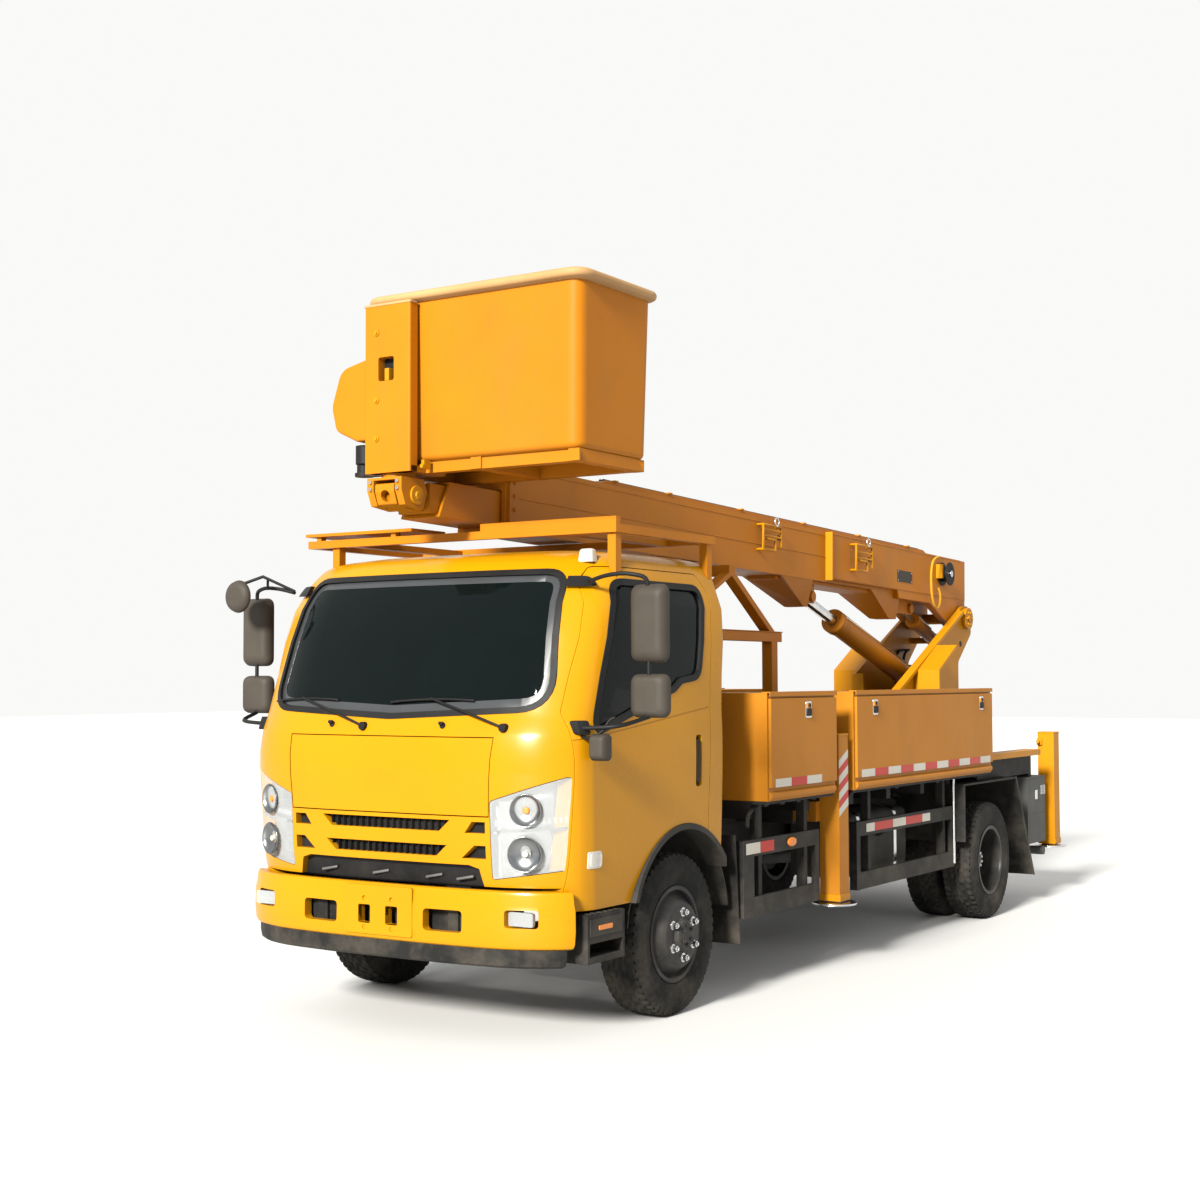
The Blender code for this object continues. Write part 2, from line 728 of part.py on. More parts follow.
def make_frame():
    shapes = [prism("y", rail_outline(side), RAIL_FRONT, RAIL_BACK) for side in (-1, 1)]
    web = RAIL_OUT - RAIL_WALL / 2
    for y in (-3.40, -1.20, 0.20, REAR_AXLE_Y - 0.62, REAR_AXLE_Y + 0.66, RAIL_BACK - 0.06):
        shapes.append(box((-web, y, 0.690), (web, y + 0.05, 0.790)))
    for side in (-1, 1):
        arm = [(RAIL_OUT - 0.004, 0.610), (0.824, 0.610), (0.824, 0.636), (RAIL_OUT - 0.004, 0.636)]
        step = [(0.800, 0.365), (0.990, 0.365), (0.990, 0.586), (0.832, 0.592), (0.828, 0.640), (0.800, 0.640)]
        hollow = [(0.862, 0.395), (1.010, 0.395), (1.010, 0.455), (0.862, 0.455)]
        well = cut(prism("y", step, -3.300, -2.985), prism("y", hollow, -3.280, -3.005))
        shapes.append(sided(well, side))
        shapes.append(sided(prism("y", arm, -3.200, -3.160), side))
        arm_back = ARCH_CENTRE[0] + ARCH_RADIUS + 0.010
        flap = [(arm_back, 0.840), (arm_back + 0.012, 0.840), (arm_back + 0.060, 0.270),
                (arm_back + 0.048, 0.270)]
        shapes.append(sided(prism("x", flap, 0.700, 0.985), side))
        shapes.append(sided(box((RAIL_OUT - 0.004, arm_back + 0.004, 0.690), (0.800, arm_back + 0.040, 0.730)), side))
        for y in (-3.200, -2.150):
            shapes.append(sided(box((0.370, y, RAIL_Z[1] - 0.004), (0.425, y + 0.055, CAB_FLOOR[0] - SEAT)), side))
    battery = [(-SIDE_TANK_X, 0.430), (-0.520, 0.430), (-0.520, 0.690), (-SIDE_TANK_X, 0.690)]
    shapes.append(prism("y", battery, -0.250, 0.300))
    for y in (-0.200, 0.220):
        shapes.append(box((-0.560, y, 0.640), (-RAIL_OUT + 0.004, y + 0.040, 0.720)))
    node("frame", fuse(*shapes), "chassis_black")


def make_fuel_tank():
    section = rounded([(0.480, 0.440), (SIDE_TANK_X, 0.440), (SIDE_TANK_X, 0.830), (0.480, 0.830)], 0.06)
    tank = prism("y", section, -0.240, 0.660)
    straps = [box((RAIL_OUT + SEAT, y, 0.640), (0.500, y + 0.05, 0.780)) for y in (-0.10, 0.47)]
    node("fuel_tank", fuse(tank, *straps), "guard_grey")


def guard(front, back, wide_post):
    """A side guard: two rails between posts, with hangers up to the floor."""
    inner = GUARD_X - GUARD_THICK
    shapes = []
    for low, high in (GUARD_LOW_Z, GUARD_HIGH_Z):
        shapes.append(box((inner, front + 0.02, low), (GUARD_X, back, high)))
    shapes.append(box((inner - 0.02, front, GUARD_LOW_Z[0]), (GUARD_X, front + wide_post, GUARD_HIGH_Z[1])))
    shapes.append(box((inner, back - 0.05, GUARD_LOW_Z[0]), (GUARD_X, back, GUARD_HIGH_Z[1])))
    for y in (front + 0.20, back - 0.16):
        shapes.append(box((inner - 0.04, y, GUARD_LOW_Z[0] + 0.01),
                          (inner + 0.01, y + 0.04, FLOOR_BOTTOM + 0.004)))
    return shapes


def mudguard():
    """The twin wheels' mudguard: one folded sheet, open to the outside."""
    front = REAR_AXLE_Y - 0.500
    back = REAR_AXLE_Y + 0.510
    top = FLOOR_BOTTOM - 0.040
    outer = [(front, 0.560), (front, top), (back, top), (back + 0.37, 0.215)]
    inner = [(back + 0.356, 0.215), (back - 0.008, top - 0.012), (front + 0.012, top - 0.012),
             (front + 0.012, 0.560)]
    return prism("x", outer + inner, 0.575, BODY_HALF - 0.010)


def make_deck():
    low = RAIL_Z[1] + SEAT
    floor_half = BODY_HALF - 0.030
    shapes = [box((-floor_half, BODY_FRONT, FLOOR_BOTTOM),
                  (floor_half, LOCKER_SPANS["rear"][1], FLOOR_TOP)),
              box((-KERB_X, LOCKER_SPANS["rear"][1] - 0.01, FLOOR_BOTTOM), (KERB_X, DECK_BACK, FLOOR_TOP))]
    for side in (-1, 1):
        x = side * SUBFRAME_HALF
        shapes.append(box((x - SUBFRAME_WIDTH / 2, BODY_FRONT, low), (x + SUBFRAME_WIDTH / 2, RAIL_BACK, FLOOR_BOTTOM + 0.004)))
    for y in (BODY_FRONT, -1.000, -0.400, 0.150, 0.700, 1.150, 2.170, DECK_BACK - 0.06):
        shapes.append(box((-KERB_X, y, FLOOR_BOTTOM - CROSS_DEPTH), (KERB_X, y + 0.06, FLOOR_BOTTOM + 0.004)))
    case_half_y = MID_BEAM_APART / 2 + MID_BEAM_WIDTH / 2 + RUN + CASE_WALL
    case_low = MID_BEAM_Z[0] - RUN - CASE_WALL
    case_high = MID_BEAM_Z[1] + RUN + CASE_WALL
    shapes.append(box((-MID_CASE_HALF, MID_JACK_Y - case_half_y, case_low),
                      (MID_CASE_HALF, MID_JACK_Y + case_half_y, case_high + 0.03)))
    shapes.append(turned("z", (0, SLEW_Y, 0), [
        (FLOOR_TOP - 0.15, 0), (FLOOR_TOP - 0.15, PEDESTAL_RADIUS + 0.06),
        (FLOOR_TOP + 0.02, PEDESTAL_RADIUS + 0.06), (FLOOR_TOP + 0.06, PEDESTAL_RADIUS),
        (PEDESTAL_TOP, PEDESTAL_RADIUS), (PEDESTAL_TOP, 0)], 24))
    for side in (-1, 1):
        shapes.append(sided(box((KERB_X - 0.05, LOCKER_SPANS["rear"][1] + 0.02, FLOOR_BOTTOM - 0.05),
                                (KERB_X, DECK_BACK, KERB_TOP)), side))
        for piece in guard(-1.830, -0.920, 0.120) + guard(-0.410, 1.150, 0.050) + [mudguard()]:
            shapes.append(sided(piece, side))
    channels = []
    notch = JACK_SIZE / 2 + 0.012
    gap_front = LOCKER_SPANS["front"][1] + 0.002
    gap_back = LOCKER_SPANS["rear"][0] - 0.002
    for side in (-1, 1):
        y = MID_JACK_Y - side * MID_BEAM_APART / 2
        half = MID_BEAM_WIDTH / 2 + RUN
        channels.append(box((-1.2, y - half, MID_BEAM_Z[0] - SEAT), (1.2, y + half, MID_BEAM_Z[1] + RUN)))
        channels.append(sided(box((MID_JACK_X - notch, gap_front, FLOOR_BOTTOM - 0.2),
                                  (BODY_HALF + 0.1, gap_back, FLOOR_TOP + 0.05)), side))
    node("deck", cut(fuse(*shapes), *channels), "chassis_black")


# Lockers

def make_lockers():
    for side, tag in ((1, "left"), (-1, "right")):
        for row, (front, back) in LOCKER_SPANS.items():
            make_locker(side, tag, row, front, back)


def make_locker(side, tag, row, front, back):
    low = FLOOR_TOP + SEAT
    skin = BODY_HALF - LOCKER_DOOR_THICK - SEAT
    inner = BODY_HALF - LOCKER_DEPTH
    hinge_z = low + LOCKER_SILL
    shell = cut(
        box((inner, front, low), (skin, back, LOCKER_TOP)),
        box((inner + LOCKER_WALL, front + LOCKER_WALL, hinge_z),
            (skin - LOCKER_WALL, back - LOCKER_WALL, LOCKER_TOP - LOCKER_WALL)),
        box((skin - 0.05, front + LOCKER_FRAME, hinge_z + 0.020),
            (skin + 0.05, back - LOCKER_FRAME, LOCKER_TOP - LOCKER_FRAME)),
    )
    sill = bar((skin - 0.004, front + 0.02, low + 0.028), (skin - 0.004, back - 0.02, low + 0.028), 0.024, 8)
    node(f"locker_{row}_{tag}", sided(fuse(shell, sill), side), "locker_orange")
    axis = (side * (BODY_HALF - LOCKER_DOOR_THICK / 2), (front + back) / 2, hinge_z + 0.012)
    panel = box((skin + SEAT, front + 0.012, hinge_z + 0.012), (BODY_HALF, back - 0.012, LOCKER_TOP - 0.030))
    latches = [front + (back - front) * t for t in ((0.55,) if row == "front" else (0.12, 0.90))]
    handles = [box((BODY_HALF - 0.004, y - 0.022, LOCKER_TOP - 0.130), (BODY_HALF + 0.008, y + 0.022, LOCKER_TOP - 0.060))
               for y in latches]
    node(f"locker_door_{row}_{tag}", sided(fuse(panel, *handles), side), "locker_orange", axis)


# Outriggers

def jack_case(x, y, bottom, top):
    half = JACK_SIZE / 2
    hole = half - JACK_WALL
    guide = LEG_SIZE / 2 + SEAT
    return cut(box((x - half, y - half, bottom), (x + half, y + half, top)),
               box((x - hole, y - hole, bottom + 0.040), (x + hole, y + hole, top - JACK_WALL)),
               box((x - guide, y - guide, bottom - 0.1), (x + guide, y + guide, top - 0.1)))


def jack_leg(x, y):
    half = LEG_SIZE / 2
    foot = turned("z", (x, y, 0), [(FOOT_Z[0], 0), (FOOT_Z[0], FOOT_RADIUS), (FOOT_Z[1], FOOT_RADIUS - 0.01),
                                   (FOOT_Z[1], 0)], 16)
    return fuse(foot, box((x - half, y - half, FOOT_Z[0] + 0.005), (x + half, y + half, FOOT_Z[0] + LEG_LENGTH)))


def make_outriggers():
    case_bottom = FOOT_Z[1] + RUN
    for side, tag in ((1, "left"), (-1, "right")):
        y = MID_JACK_Y
        beam_y = y - side * MID_BEAM_APART / 2
        half = MID_BEAM_WIDTH / 2
        beam = box((-MID_BEAM_INNER, beam_y - half, MID_BEAM_Z[0]),
                   (MID_JACK_X - JACK_SIZE / 2 + 0.004, beam_y + half, MID_BEAM_Z[1]))
        shape = fuse(jack_case(MID_JACK_X, y, case_bottom, MID_JACK_TOP), beam)
        arm = node(f"outrigger_beam_{tag}", sided(shape, side), "turret_yellow", (side * MID_JACK_X, y, MID_BEAM_Z[0]))
        node(f"jack_leg_mid_{tag}", sided(jack_leg(MID_JACK_X, y), side), "steel", (side * MID_JACK_X, y, FOOT_Z[0]), arm)
        node(f"jack_leg_rear_{tag}", sided(jack_leg(REAR_JACK_X, REAR_JACK_Y), side), "steel",
             (side * REAR_JACK_X, REAR_JACK_Y, FOOT_Z[0]))


def make_rear_frame():
    case_bottom = FOOT_Z[1] + RUN
    inner = REAR_JACK_X - JACK_SIZE / 2 + 0.004
    front = RAIL_BACK + SEAT
    shapes = [box((-inner, front, REAR_BEAM_Z[0]), (inner, front + REAR_BEAM_WIDTH, REAR_BEAM_Z[1]))]
    for side in (-1, 1):
        shapes.append(sided(jack_case(REAR_JACK_X, REAR_JACK_Y, case_bottom, REAR_JACK_TOP), side))
        shapes.append(sided(box((0.700, 2.670, 0.420), (0.985, 3.060, 0.900)), side))
        shapes.append(sided(box((0.740, 3.040, 0.700), (0.800, front + 0.02, 0.760)), side))
        shapes.append(sided(box((0.300, 3.000, 0.320), (0.340, front + 0.06, 0.680)), side))
    shapes.append(bar((-0.980, 3.030, 0.345), (0.980, 3.030, 0.345), 0.030, 10))
    node("rear_frame", fuse(*shapes), "turret_yellow")


# Boom rest and tank behind the cab

def make_boom_rest():
    low = FLOOR_TOP + SEAT
    post_y, front_y, saddle_y = -0.244, -1.560, -0.790
    bar_top = 1.940
    shapes = []
    saddle_z = boom_point(PIVOT_Y - saddle_y, BASE_H[0])[1] - RUN
    for side in (-1, 1):
        x0, x1 = (0.315, 0.385)
        shapes.append(sided(box((x0, post_y - 0.04, low), (x1, post_y + 0.04, bar_top)), side))
        shapes.append(sided(box((x0, front_y - 0.03, low), (x1, front_y + 0.03, bar_top)), side))
        shapes.append(sided(box((x0, front_y - 0.03, bar_top - 0.06), (x1, post_y + 0.10, bar_top)), side))
        strut = [(post_y - 0.03, bar_top - 0.02), (post_y + 0.04, bar_top - 0.02),
                 (saddle_y + 0.035, saddle_z - 0.07), (saddle_y - 0.035, saddle_z - 0.07)]
        shapes.append(sided(prism("x", strut, x0, x1), side))
        strut = [(front_y - 0.03, bar_top - 0.02), (front_y + 0.03, bar_top - 0.02),
                 (saddle_y + 0.035, saddle_z - 0.07), (saddle_y - 0.035, saddle_z - 0.07)]
        shapes.append(sided(prism("x", strut, x0, x1), side))
        shapes.append(sided(box((0.060, saddle_y - 0.05, saddle_z - 0.03), (0.150, saddle_y + 0.05, saddle_z)), side))
    shapes.append(box((-0.385, saddle_y - 0.04, saddle_z - 0.09), (0.385, saddle_y + 0.04, saddle_z - 0.025)))
    shapes.append(box((-0.385, post_y - 0.03, 1.500), (0.385, post_y + 0.03, 1.560)))
    shapes.append(box((-0.385, front_y - 0.03, bar_top - 0.06), (0.385, front_y + 0.03, bar_top)))
    node("boom_rest", fuse(*shapes), "boom_orange")


def make_hydraulic_tank():
    low = FLOOR_TOP + SEAT
    tank = box((-0.250, -1.450, low), (0.280, -0.900, 1.780))
    lid = box((-0.262, -1.462, 1.760), (0.292, -0.888, 1.790))
    node("hydraulic_tank", fuse(tank, lid), "tank_rust")


# Turret and boom

def turret_plate(x0, x1):
    outline = [
        (SLEW_Y - 0.34, PEDESTAL_TOP + 0.02), (SLEW_Y - 0.66, 1.560), (PIVOT_Y - 0.130, PIVOT_Z + 0.060),
        (PIVOT_Y - 0.060, PIVOT_Z + 0.100), (PIVOT_Y + 0.060, PIVOT_Z + 0.100),
        (PIVOT_Y + 0.120, PIVOT_Z + 0.020), (PIVOT_Y + 0.125, PIVOT_Z - 0.120),
        (SLEW_Y + 0.640, 1.780), (SLEW_Y + 0.640, 1.500), (SLEW_Y + 0.34, PEDESTAL_TOP + 0.02),
    ]
    return prism("x", outline, x0, x1)


def make_turret():
    base_low = PEDESTAL_TOP + SEAT
    base = turned("z", (0, SLEW_Y, 0), [(base_low, 0), (base_low, PEDESTAL_RADIUS),
                                        (base_low + TURRET_BASE_THICK, PEDESTAL_RADIUS),
                                        (base_low + TURRET_BASE_THICK, 0)], 24)
    outer = TURRET_INNER + TURRET_PLATE
    shapes = [base]
    front_edge = [(SLEW_Y - 0.66, 1.560), (PIVOT_Y - 0.130, PIVOT_Z + 0.060)]
    slope = (Vector(front_edge[1]) - Vector(front_edge[0])).normalized()
    normal = Vector((slope.y, -slope.x)) * 0.025
    flange = [tuple(Vector(front_edge[0]) + normal), tuple(Vector(front_edge[1]) + normal),
              front_edge[1], front_edge[0]]
    gusset = [(SLEW_Y - 0.30, base_low + 0.02), (SLEW_Y - 0.42, 1.600), (SLEW_Y - 0.14, 1.900),
              (SLEW_Y + 0.38, 1.900), (SLEW_Y + 0.05, 1.700), (SLEW_Y + 0.02, base_low + 0.02)]
    for side in (-1, 1):
        shapes.append(sided(turret_plate(TURRET_INNER, outer), side))
        shapes.append(sided(prism("x", flange, TURRET_INNER, outer + 0.040), side))
        shapes.append(sided(prism("x", gusset, outer - 0.004, GUSSET_OUT), side))
        shapes.append(sided(bar((TURRET_INNER, PIVOT_Y, PIVOT_Z), (outer + 0.035, PIVOT_Y, PIVOT_Z), PIVOT_BOSS_RADIUS, 14), side))
    shapes.append(box((-TURRET_INNER - 0.01, SLEW_Y + 0.600, 1.300), (TURRET_INNER + 0.01, SLEW_Y + 0.630, 1.760)))
    shapes.append(box((-TURRET_INNER - 0.01, SLEW_Y - 0.30, base_low + 0.02), (TURRET_INNER + 0.01, SLEW_Y - 0.27, 1.350)))
    ear = [(LIFT_PIN[0] - 0.10, base_low + 0.02), (LIFT_PIN[0] - 0.06, LIFT_PIN[1] + 0.05),
           (LIFT_PIN[0] + 0.06, LIFT_PIN[1] + 0.05), (LIFT_PIN[0] + 0.14, base_low + 0.02)]
    for side in (-1, 1):
        shapes.append(sided(prism("x", ear, LIFT_BORE_RADIUS + RUN, LIFT_BORE_RADIUS + RUN + 0.025), side))
    shapes.append(cross_pin(LIFT_BORE_RADIUS + 0.02, LIFT_PIN, CYLINDER_PIN_RADIUS))
    shapes.append(cross_pin(TURRET_INNER + 0.01, LEVEL_PIN, CYLINDER_PIN_RADIUS))
    shapes.append(cross_pin(TURRET_INNER + 0.02, (PIVOT_Y, PIVOT_Z), PIVOT_PIN_RADIUS))
    return node("turret", fuse(*shapes), "turret_yellow", (0, SLEW_Y, PEDESTAL_TOP))


def boom_ears():
    """The cheeks that carry the base boom down to its pivot, with the pin's bore."""
    outline = rounded([(0.90, 0.140), (0.16, -0.085), (-0.085, -0.085), (-0.085, 0.140)], 0.07)
    ears = [sided(prism("x", boom_outline(outline), BASE_HALF - 0.02, BASE_REAR_HALF - 0.002), side)
            for side in (-1, 1)]
    return ears


def bracket(front, apex_front, apex_back, back, depth, half, slot):
    """A V shaped bracket under the boom: two cheeks either side of an eye, tied at the front."""
    shape = prism("x", boom_outline([(front, BASE_H[0] + 0.006), (apex_front, depth), (apex_back, depth),
                                     (back, BASE_H[0] + 0.006)]), -half, half)
    room = prism("x", boom_outline([(apex_front + 0.10, BASE_H[0] - 0.001), (apex_front + 0.02, depth - 0.2),
                                    (back - 0.2, depth - 0.2), (back - 0.2, BASE_H[0] - 0.001)]), -slot, slot)
    return cut(shape, room)


def make_booms(turret):
    pivot = (0, PIVOT_Y, PIVOT_Z)
    low, high = BASE_H
    shell = cut(boom_box(BASE_HALF, BASE_S, BASE_H),
                boom_box(BASE_HALF - BASE_WALL, (0.60, BASE_S[1] - 0.03), (low + BASE_WALL, high - BASE_WALL)),
                boom_box(MID_HALF + RUN, (BASE_S[1] - 0.2, BASE_S[1] + 0.1), (MID_H[0] - SEAT, MID_H[1] + RUN)))
    shapes = [shell]
    collar = cut(boom_box(BASE_HALF + 0.016, (BASE_S[1] - 0.10, BASE_S[1] - 0.02), (low - 0.012, high + 0.004)),
                 boom_box(BASE_HALF - 0.002, (BASE_S[1] - 0.2, BASE_S[1] + 0.1), (low + 0.002, high - 0.002)))
    shapes.append(collar)
    for side in (-1, 1):
        doubler = boom_outline([(BASE_S[0], low + 0.02), (BASE_STEP_S, low + 0.02), (BASE_STEP_S, high - 0.012),
                                (BASE_S[0], high - 0.012)])
        shapes.append(sided(prism("x", doubler, BASE_HALF - 0.004, BASE_REAR_HALF), side))
    shapes += boom_ears()
    shapes.append(bracket(3.340, 2.880, 2.400, 2.250, -0.048, 0.120, LIFT_SLOT_HALF))
    shapes.append(bracket(1.700, 1.300, 0.720, 0.700, -0.048, 0.145, LEVEL_SLOT_HALF))
    for half, slot, place in ((0.120, LIFT_SLOT_HALF, (EYE_S, EYE_H)), (0.145, LEVEL_SLOT_HALF, LEVEL_EYE)):
        y, z = boom_point(*place)
        for side in (-1, 1):
            shapes.append(bar((side * (slot + 0.010), y, z), (side * (half + 0.015), y, z), CYLINDER_PIN_RADIUS + 0.012, 12))
    strip = boom_outline([(0.5, high - 0.004), (5.3, high - 0.004), (5.2, high + 0.030), (0.6, high + 0.030)])
    shapes.append(prism("x", strip, 0.030, 0.110))
    bore = cross_pin(0.3, (PIVOT_Y, PIVOT_Z), bore_radius(PIVOT_PIN_RADIUS))
    base = node("base_boom", cut(fuse(*shapes), bore), "boom_orange", pivot, turret)

    low, high = MID_H
    mid_outline = boom_outline([(MID_S[0], low), (MID_S[1] + 0.06, low), (MID_S[1] - 0.02, high), (MID_S[0], high)])
    mid_shape = cut(prism("x", mid_outline, -MID_HALF, MID_HALF),
                    boom_box(MID_HALF - MID_WALL, (MID_S[0] - 0.1, MID_S[1] - 0.06), (low + MID_WALL, high - MID_WALL)),
                    boom_box(TIP_HALF + RUN, (MID_S[1] - 0.1, MID_S[1] + 0.2), (TIP_H[0] - SEAT, TIP_H[1] + RUN)))
    mid = node("mid_boom", mid_shape, "boom_orange", (0, *boom_point(MID_S[0], low)), base)

    low, high = TIP_H
    boss = LEVEL_BOSS_RADIUS
    nose = [(TIP_S[1] - 0.02, low + 0.006), (LEVEL_S, LEVEL_H - boss), (LEVEL_S + boss * 0.7, LEVEL_H - boss * 0.7),
            (LEVEL_S + boss, LEVEL_H), (LEVEL_S + boss * 0.7, LEVEL_H + boss * 0.7), (LEVEL_S, LEVEL_H + boss),
            (TIP_S[1] - 0.02, high - 0.006)]
    tip_shape = cut(boom_box(TIP_HALF, TIP_S, TIP_H),
                    boom_box(TIP_HALF - MID_WALL, (TIP_S[0] - 0.1, TIP_S[1] - 0.05), (low + MID_WALL, high - MID_WALL)))
    tip_shape = fuse(tip_shape, prism("x", boom_outline(nose), -0.060, 0.060))
    place = boom_point(LEVEL_S, LEVEL_H)
    tip_shape = cut(tip_shape, cross_pin(0.2, place, bore_radius(CYLINDER_PIN_RADIUS)))
    tip = node("tip_boom", tip_shape, "boom_orange", (0, *boom_point(TIP_S[0], low)), mid)
    return base, tip


def make_cylinder(names, pin, eye, bore, rod, barrel, slot, parent):
    """A barrel on the turret and its rod, whose eye fills the slot between the boom's cheeks."""
    start = Vector((0, *pin))
    end = Vector((0, *eye))
    along = (end - start).normalized()
    across = Vector((bore * 0.8, 0, 0))
    wall = 0.010
    boss = bar(start - across, start + across, CYLINDER_PIN_RADIUS + 0.030, 12)
    outside = bar(start + along * 0.03, start + along * barrel, bore, 12)
    inside = bar(start + along * 0.12, start + along * (barrel + 0.1), rod + SEAT, 10)
    bore_hole = cross_pin(bore * 2, pin, bore_radius(CYLINDER_PIN_RADIUS))
    cap = bar(start + along * (barrel - 0.05), start + along * (barrel + wall), bore + 0.008, 12)
    shape = cut(fuse(boss, outside, cap), inside, bore_hole)
    body = node(names[0], shape, "boom_orange", start, parent)
    half = Vector((slot - SEAT, 0, 0))
    ring = bar(end - half, end + half, CYLINDER_PIN_RADIUS + 0.020, 12)
    shaft = bar(start + along * (0.12 + RUN), end - along * 0.03, rod, 10)
    node(names[1], fuse(shaft, ring), "steel", end, body)


def make_head(tip):
    place = boom_point(LEVEL_S, LEVEL_H)
    y, z = place
    shapes = []
    top = HEAD_TOP
    cheek = [(y - 0.080, z - 0.050), (y + 0.055, z - 0.065), (y + 0.085, z + 0.020), (y + 0.060, top),
             (y - 0.110, top), (y - 0.110, z + 0.020)]
    for side in (-1, 1):
        shapes.append(sided(prism("x", cheek, 0.060 + RUN, 0.105), side))
    shapes.append(box((-0.105, y - 0.110, top - 0.012), (0.105, y + 0.060, top)))
    shapes.append(cross_pin(0.09, place, CYLINDER_PIN_RADIUS))
    table = UNDERFRAME_Z - SEAT
    shapes.append(turned("z", (0, SWING_Y, 0), [(top - 0.006, 0), (top - 0.006, 0.085),
                                              (table, 0.085), (table, 0)], 16))
    return node("platform_head", fuse(*shapes), "boom_orange", (0, *place), tip)


def bucket_loop(z, grow):
    t = (BUCKET_TOP - z) / (BUCKET_TOP - BUCKET_FLOOR)
    inset = BUCKET_TAPER * t - grow
    x0, x1 = BUCKET_X[0] + inset, BUCKET_X[1] - inset
    y0, y1 = BUCKET_Y[0] + inset, BUCKET_Y[1] - inset
    corners = [(x0, y0), (x1, y0), (x1, y1), (x0, y1)]
    return [(x, y, z) for x, y in rounded(corners, BUCKET_CORNER + grow)]


def make_bucket(head):
    rim_low = BUCKET_TOP - 0.050
    outer = loft([bucket_loop(BUCKET_FLOOR, 0), bucket_loop(BUCKET_TOP - 0.01, 0)])
    rim = loft([bucket_loop(rim_low, 0.0), bucket_loop(rim_low + 0.015, BUCKET_RIM),
                bucket_loop(BUCKET_TOP - 0.012, BUCKET_RIM), bucket_loop(BUCKET_TOP, BUCKET_RIM - 0.015)])
    room = loft([bucket_loop(BUCKET_FLOOR + BUCKET_WALL, -BUCKET_WALL), bucket_loop(BUCKET_TOP + 0.05, -BUCKET_WALL)])
    low = UNDERFRAME_Z
    shapes = [outer, rim]
    for x in (BUCKET_X[0] + 0.03, 0.42, BUCKET_X[1] - 0.09):
        shapes.append(box((x, BUCKET_Y[0] + 0.04, low), (x + 0.06, BUCKET_Y[1] - 0.04, BUCKET_FLOOR + 0.004)))
    for y in (BUCKET_Y[0] + 0.05, BUCKET_Y[1] - 0.11):
        shapes.append(box((BUCKET_X[0] + 0.03, y, low), (BUCKET_X[1] - 0.03, y + 0.06, BUCKET_FLOOR + 0.004)))
    shapes.append(box((BUCKET_X[0] + 0.03, MAST_Y[0] + 0.01, low), (0.148, BUCKET_Y[0] + 0.2, low + 0.03)))
    mast = cut(box((MAST_X[0], MAST_Y[0], low), (MAST_X[1], MAST_Y[1] + 0.006, MAST_TOP)),
               box((MAST_X[0] + 0.085, MAST_Y[0] - 0.1, MAST_WINDOW_Z[0]),
                   (MAST_X[0] + 0.180, MAST_Y[1] - 0.012, MAST_WINDOW_Z[1])))
    shapes.append(mast)
    shapes.append(box((MAST_X[0] + 0.03, MAST_Y[1], BUCKET_FLOOR + 0.06),
                      (MAST_X[1] - 0.03, BUCKET_Y[0] + 0.03, MAST_TOP - 0.06)))
    housing = rounded([(0.51, -0.125), (0.47, -0.30), (0.29, -0.36), (0.17, -0.33), (0.11, -0.20), (0.11, -0.125)],
                      0.03, 2)
    shapes.append(prism("y", [(x, BUCKET_FLOOR + z) for z, x in housing], -3.520, -3.340))
    shape = cut(fuse(*shapes), room)
    return node("bucket", shape, "boom_orange", (0, SWING_Y, UNDERFRAME_Z), head)


# Cab

CAB_BOW = [(0.45, 0.012), (0.72, 0.050), (0.88, 0.120), (0.97, 0.200), (1.00, 0.300)]  # share of half width, set back
CAB_LEVELS = [  # height, front, half width, set-in of the back
    (0.600, -3.490, 0.970, 0.0),
    (0.750, -3.520, 0.985, 0.0),
    (1.000, -3.540, 0.995, 0.0),
    (1.385, -3.535, 1.000, 0.0),
    (1.500, -3.490, 0.995, 0.0),
    (2.150, -3.220, 0.955, 0.010),
    (2.225, -3.150, 0.915, 0.040),
    (2.270, -3.000, 0.800, 0.120),
]


def cab_loop(row, inset):
    z, front, half, back_in = row
    half -= inset
    front += inset
    back = CAB_BACK - back_in - inset
    side = [(share * half, front + set_back) for share, set_back in CAB_BOW]
    side += [(half, back - 0.05), (half - 0.05, back)]
    return [(x, y, z) for x, y in side] + [(-x, y, z) for x, y in reversed(side)]


def cab_solid(inset, low=None, high=None):
    """The cab's outer form, moved inwards by inset, between two heights."""
    rows = [list(row) for row in CAB_LEVELS]
    rows[-1][0] -= inset
    rows[-2][0] -= inset * 0.6
    if low is not None:
        rows = [row for row in rows if row[0] > low + 0.002]
        rows.insert(0, level_at(low))
    if high is not None:
        rows = [row for row in rows if row[0] < high - 0.002]
        rows.append(level_at(high))
    return loft([cab_loop(row, inset) for row in rows])


def level_at(z):
    """The cab's level at a height, between the rows of its table or in line with the nearest two."""
    rows = CAB_LEVELS
    i = max(k for k in range(len(rows) - 1) if k == 0 or rows[k][0] <= z)
    a, b = rows[i], rows[i + 1]
    t = (z - a[0]) / (b[0] - a[0])
    return [z] + [p + (q - p) * t for p, q in zip(a[1:], b[1:])]


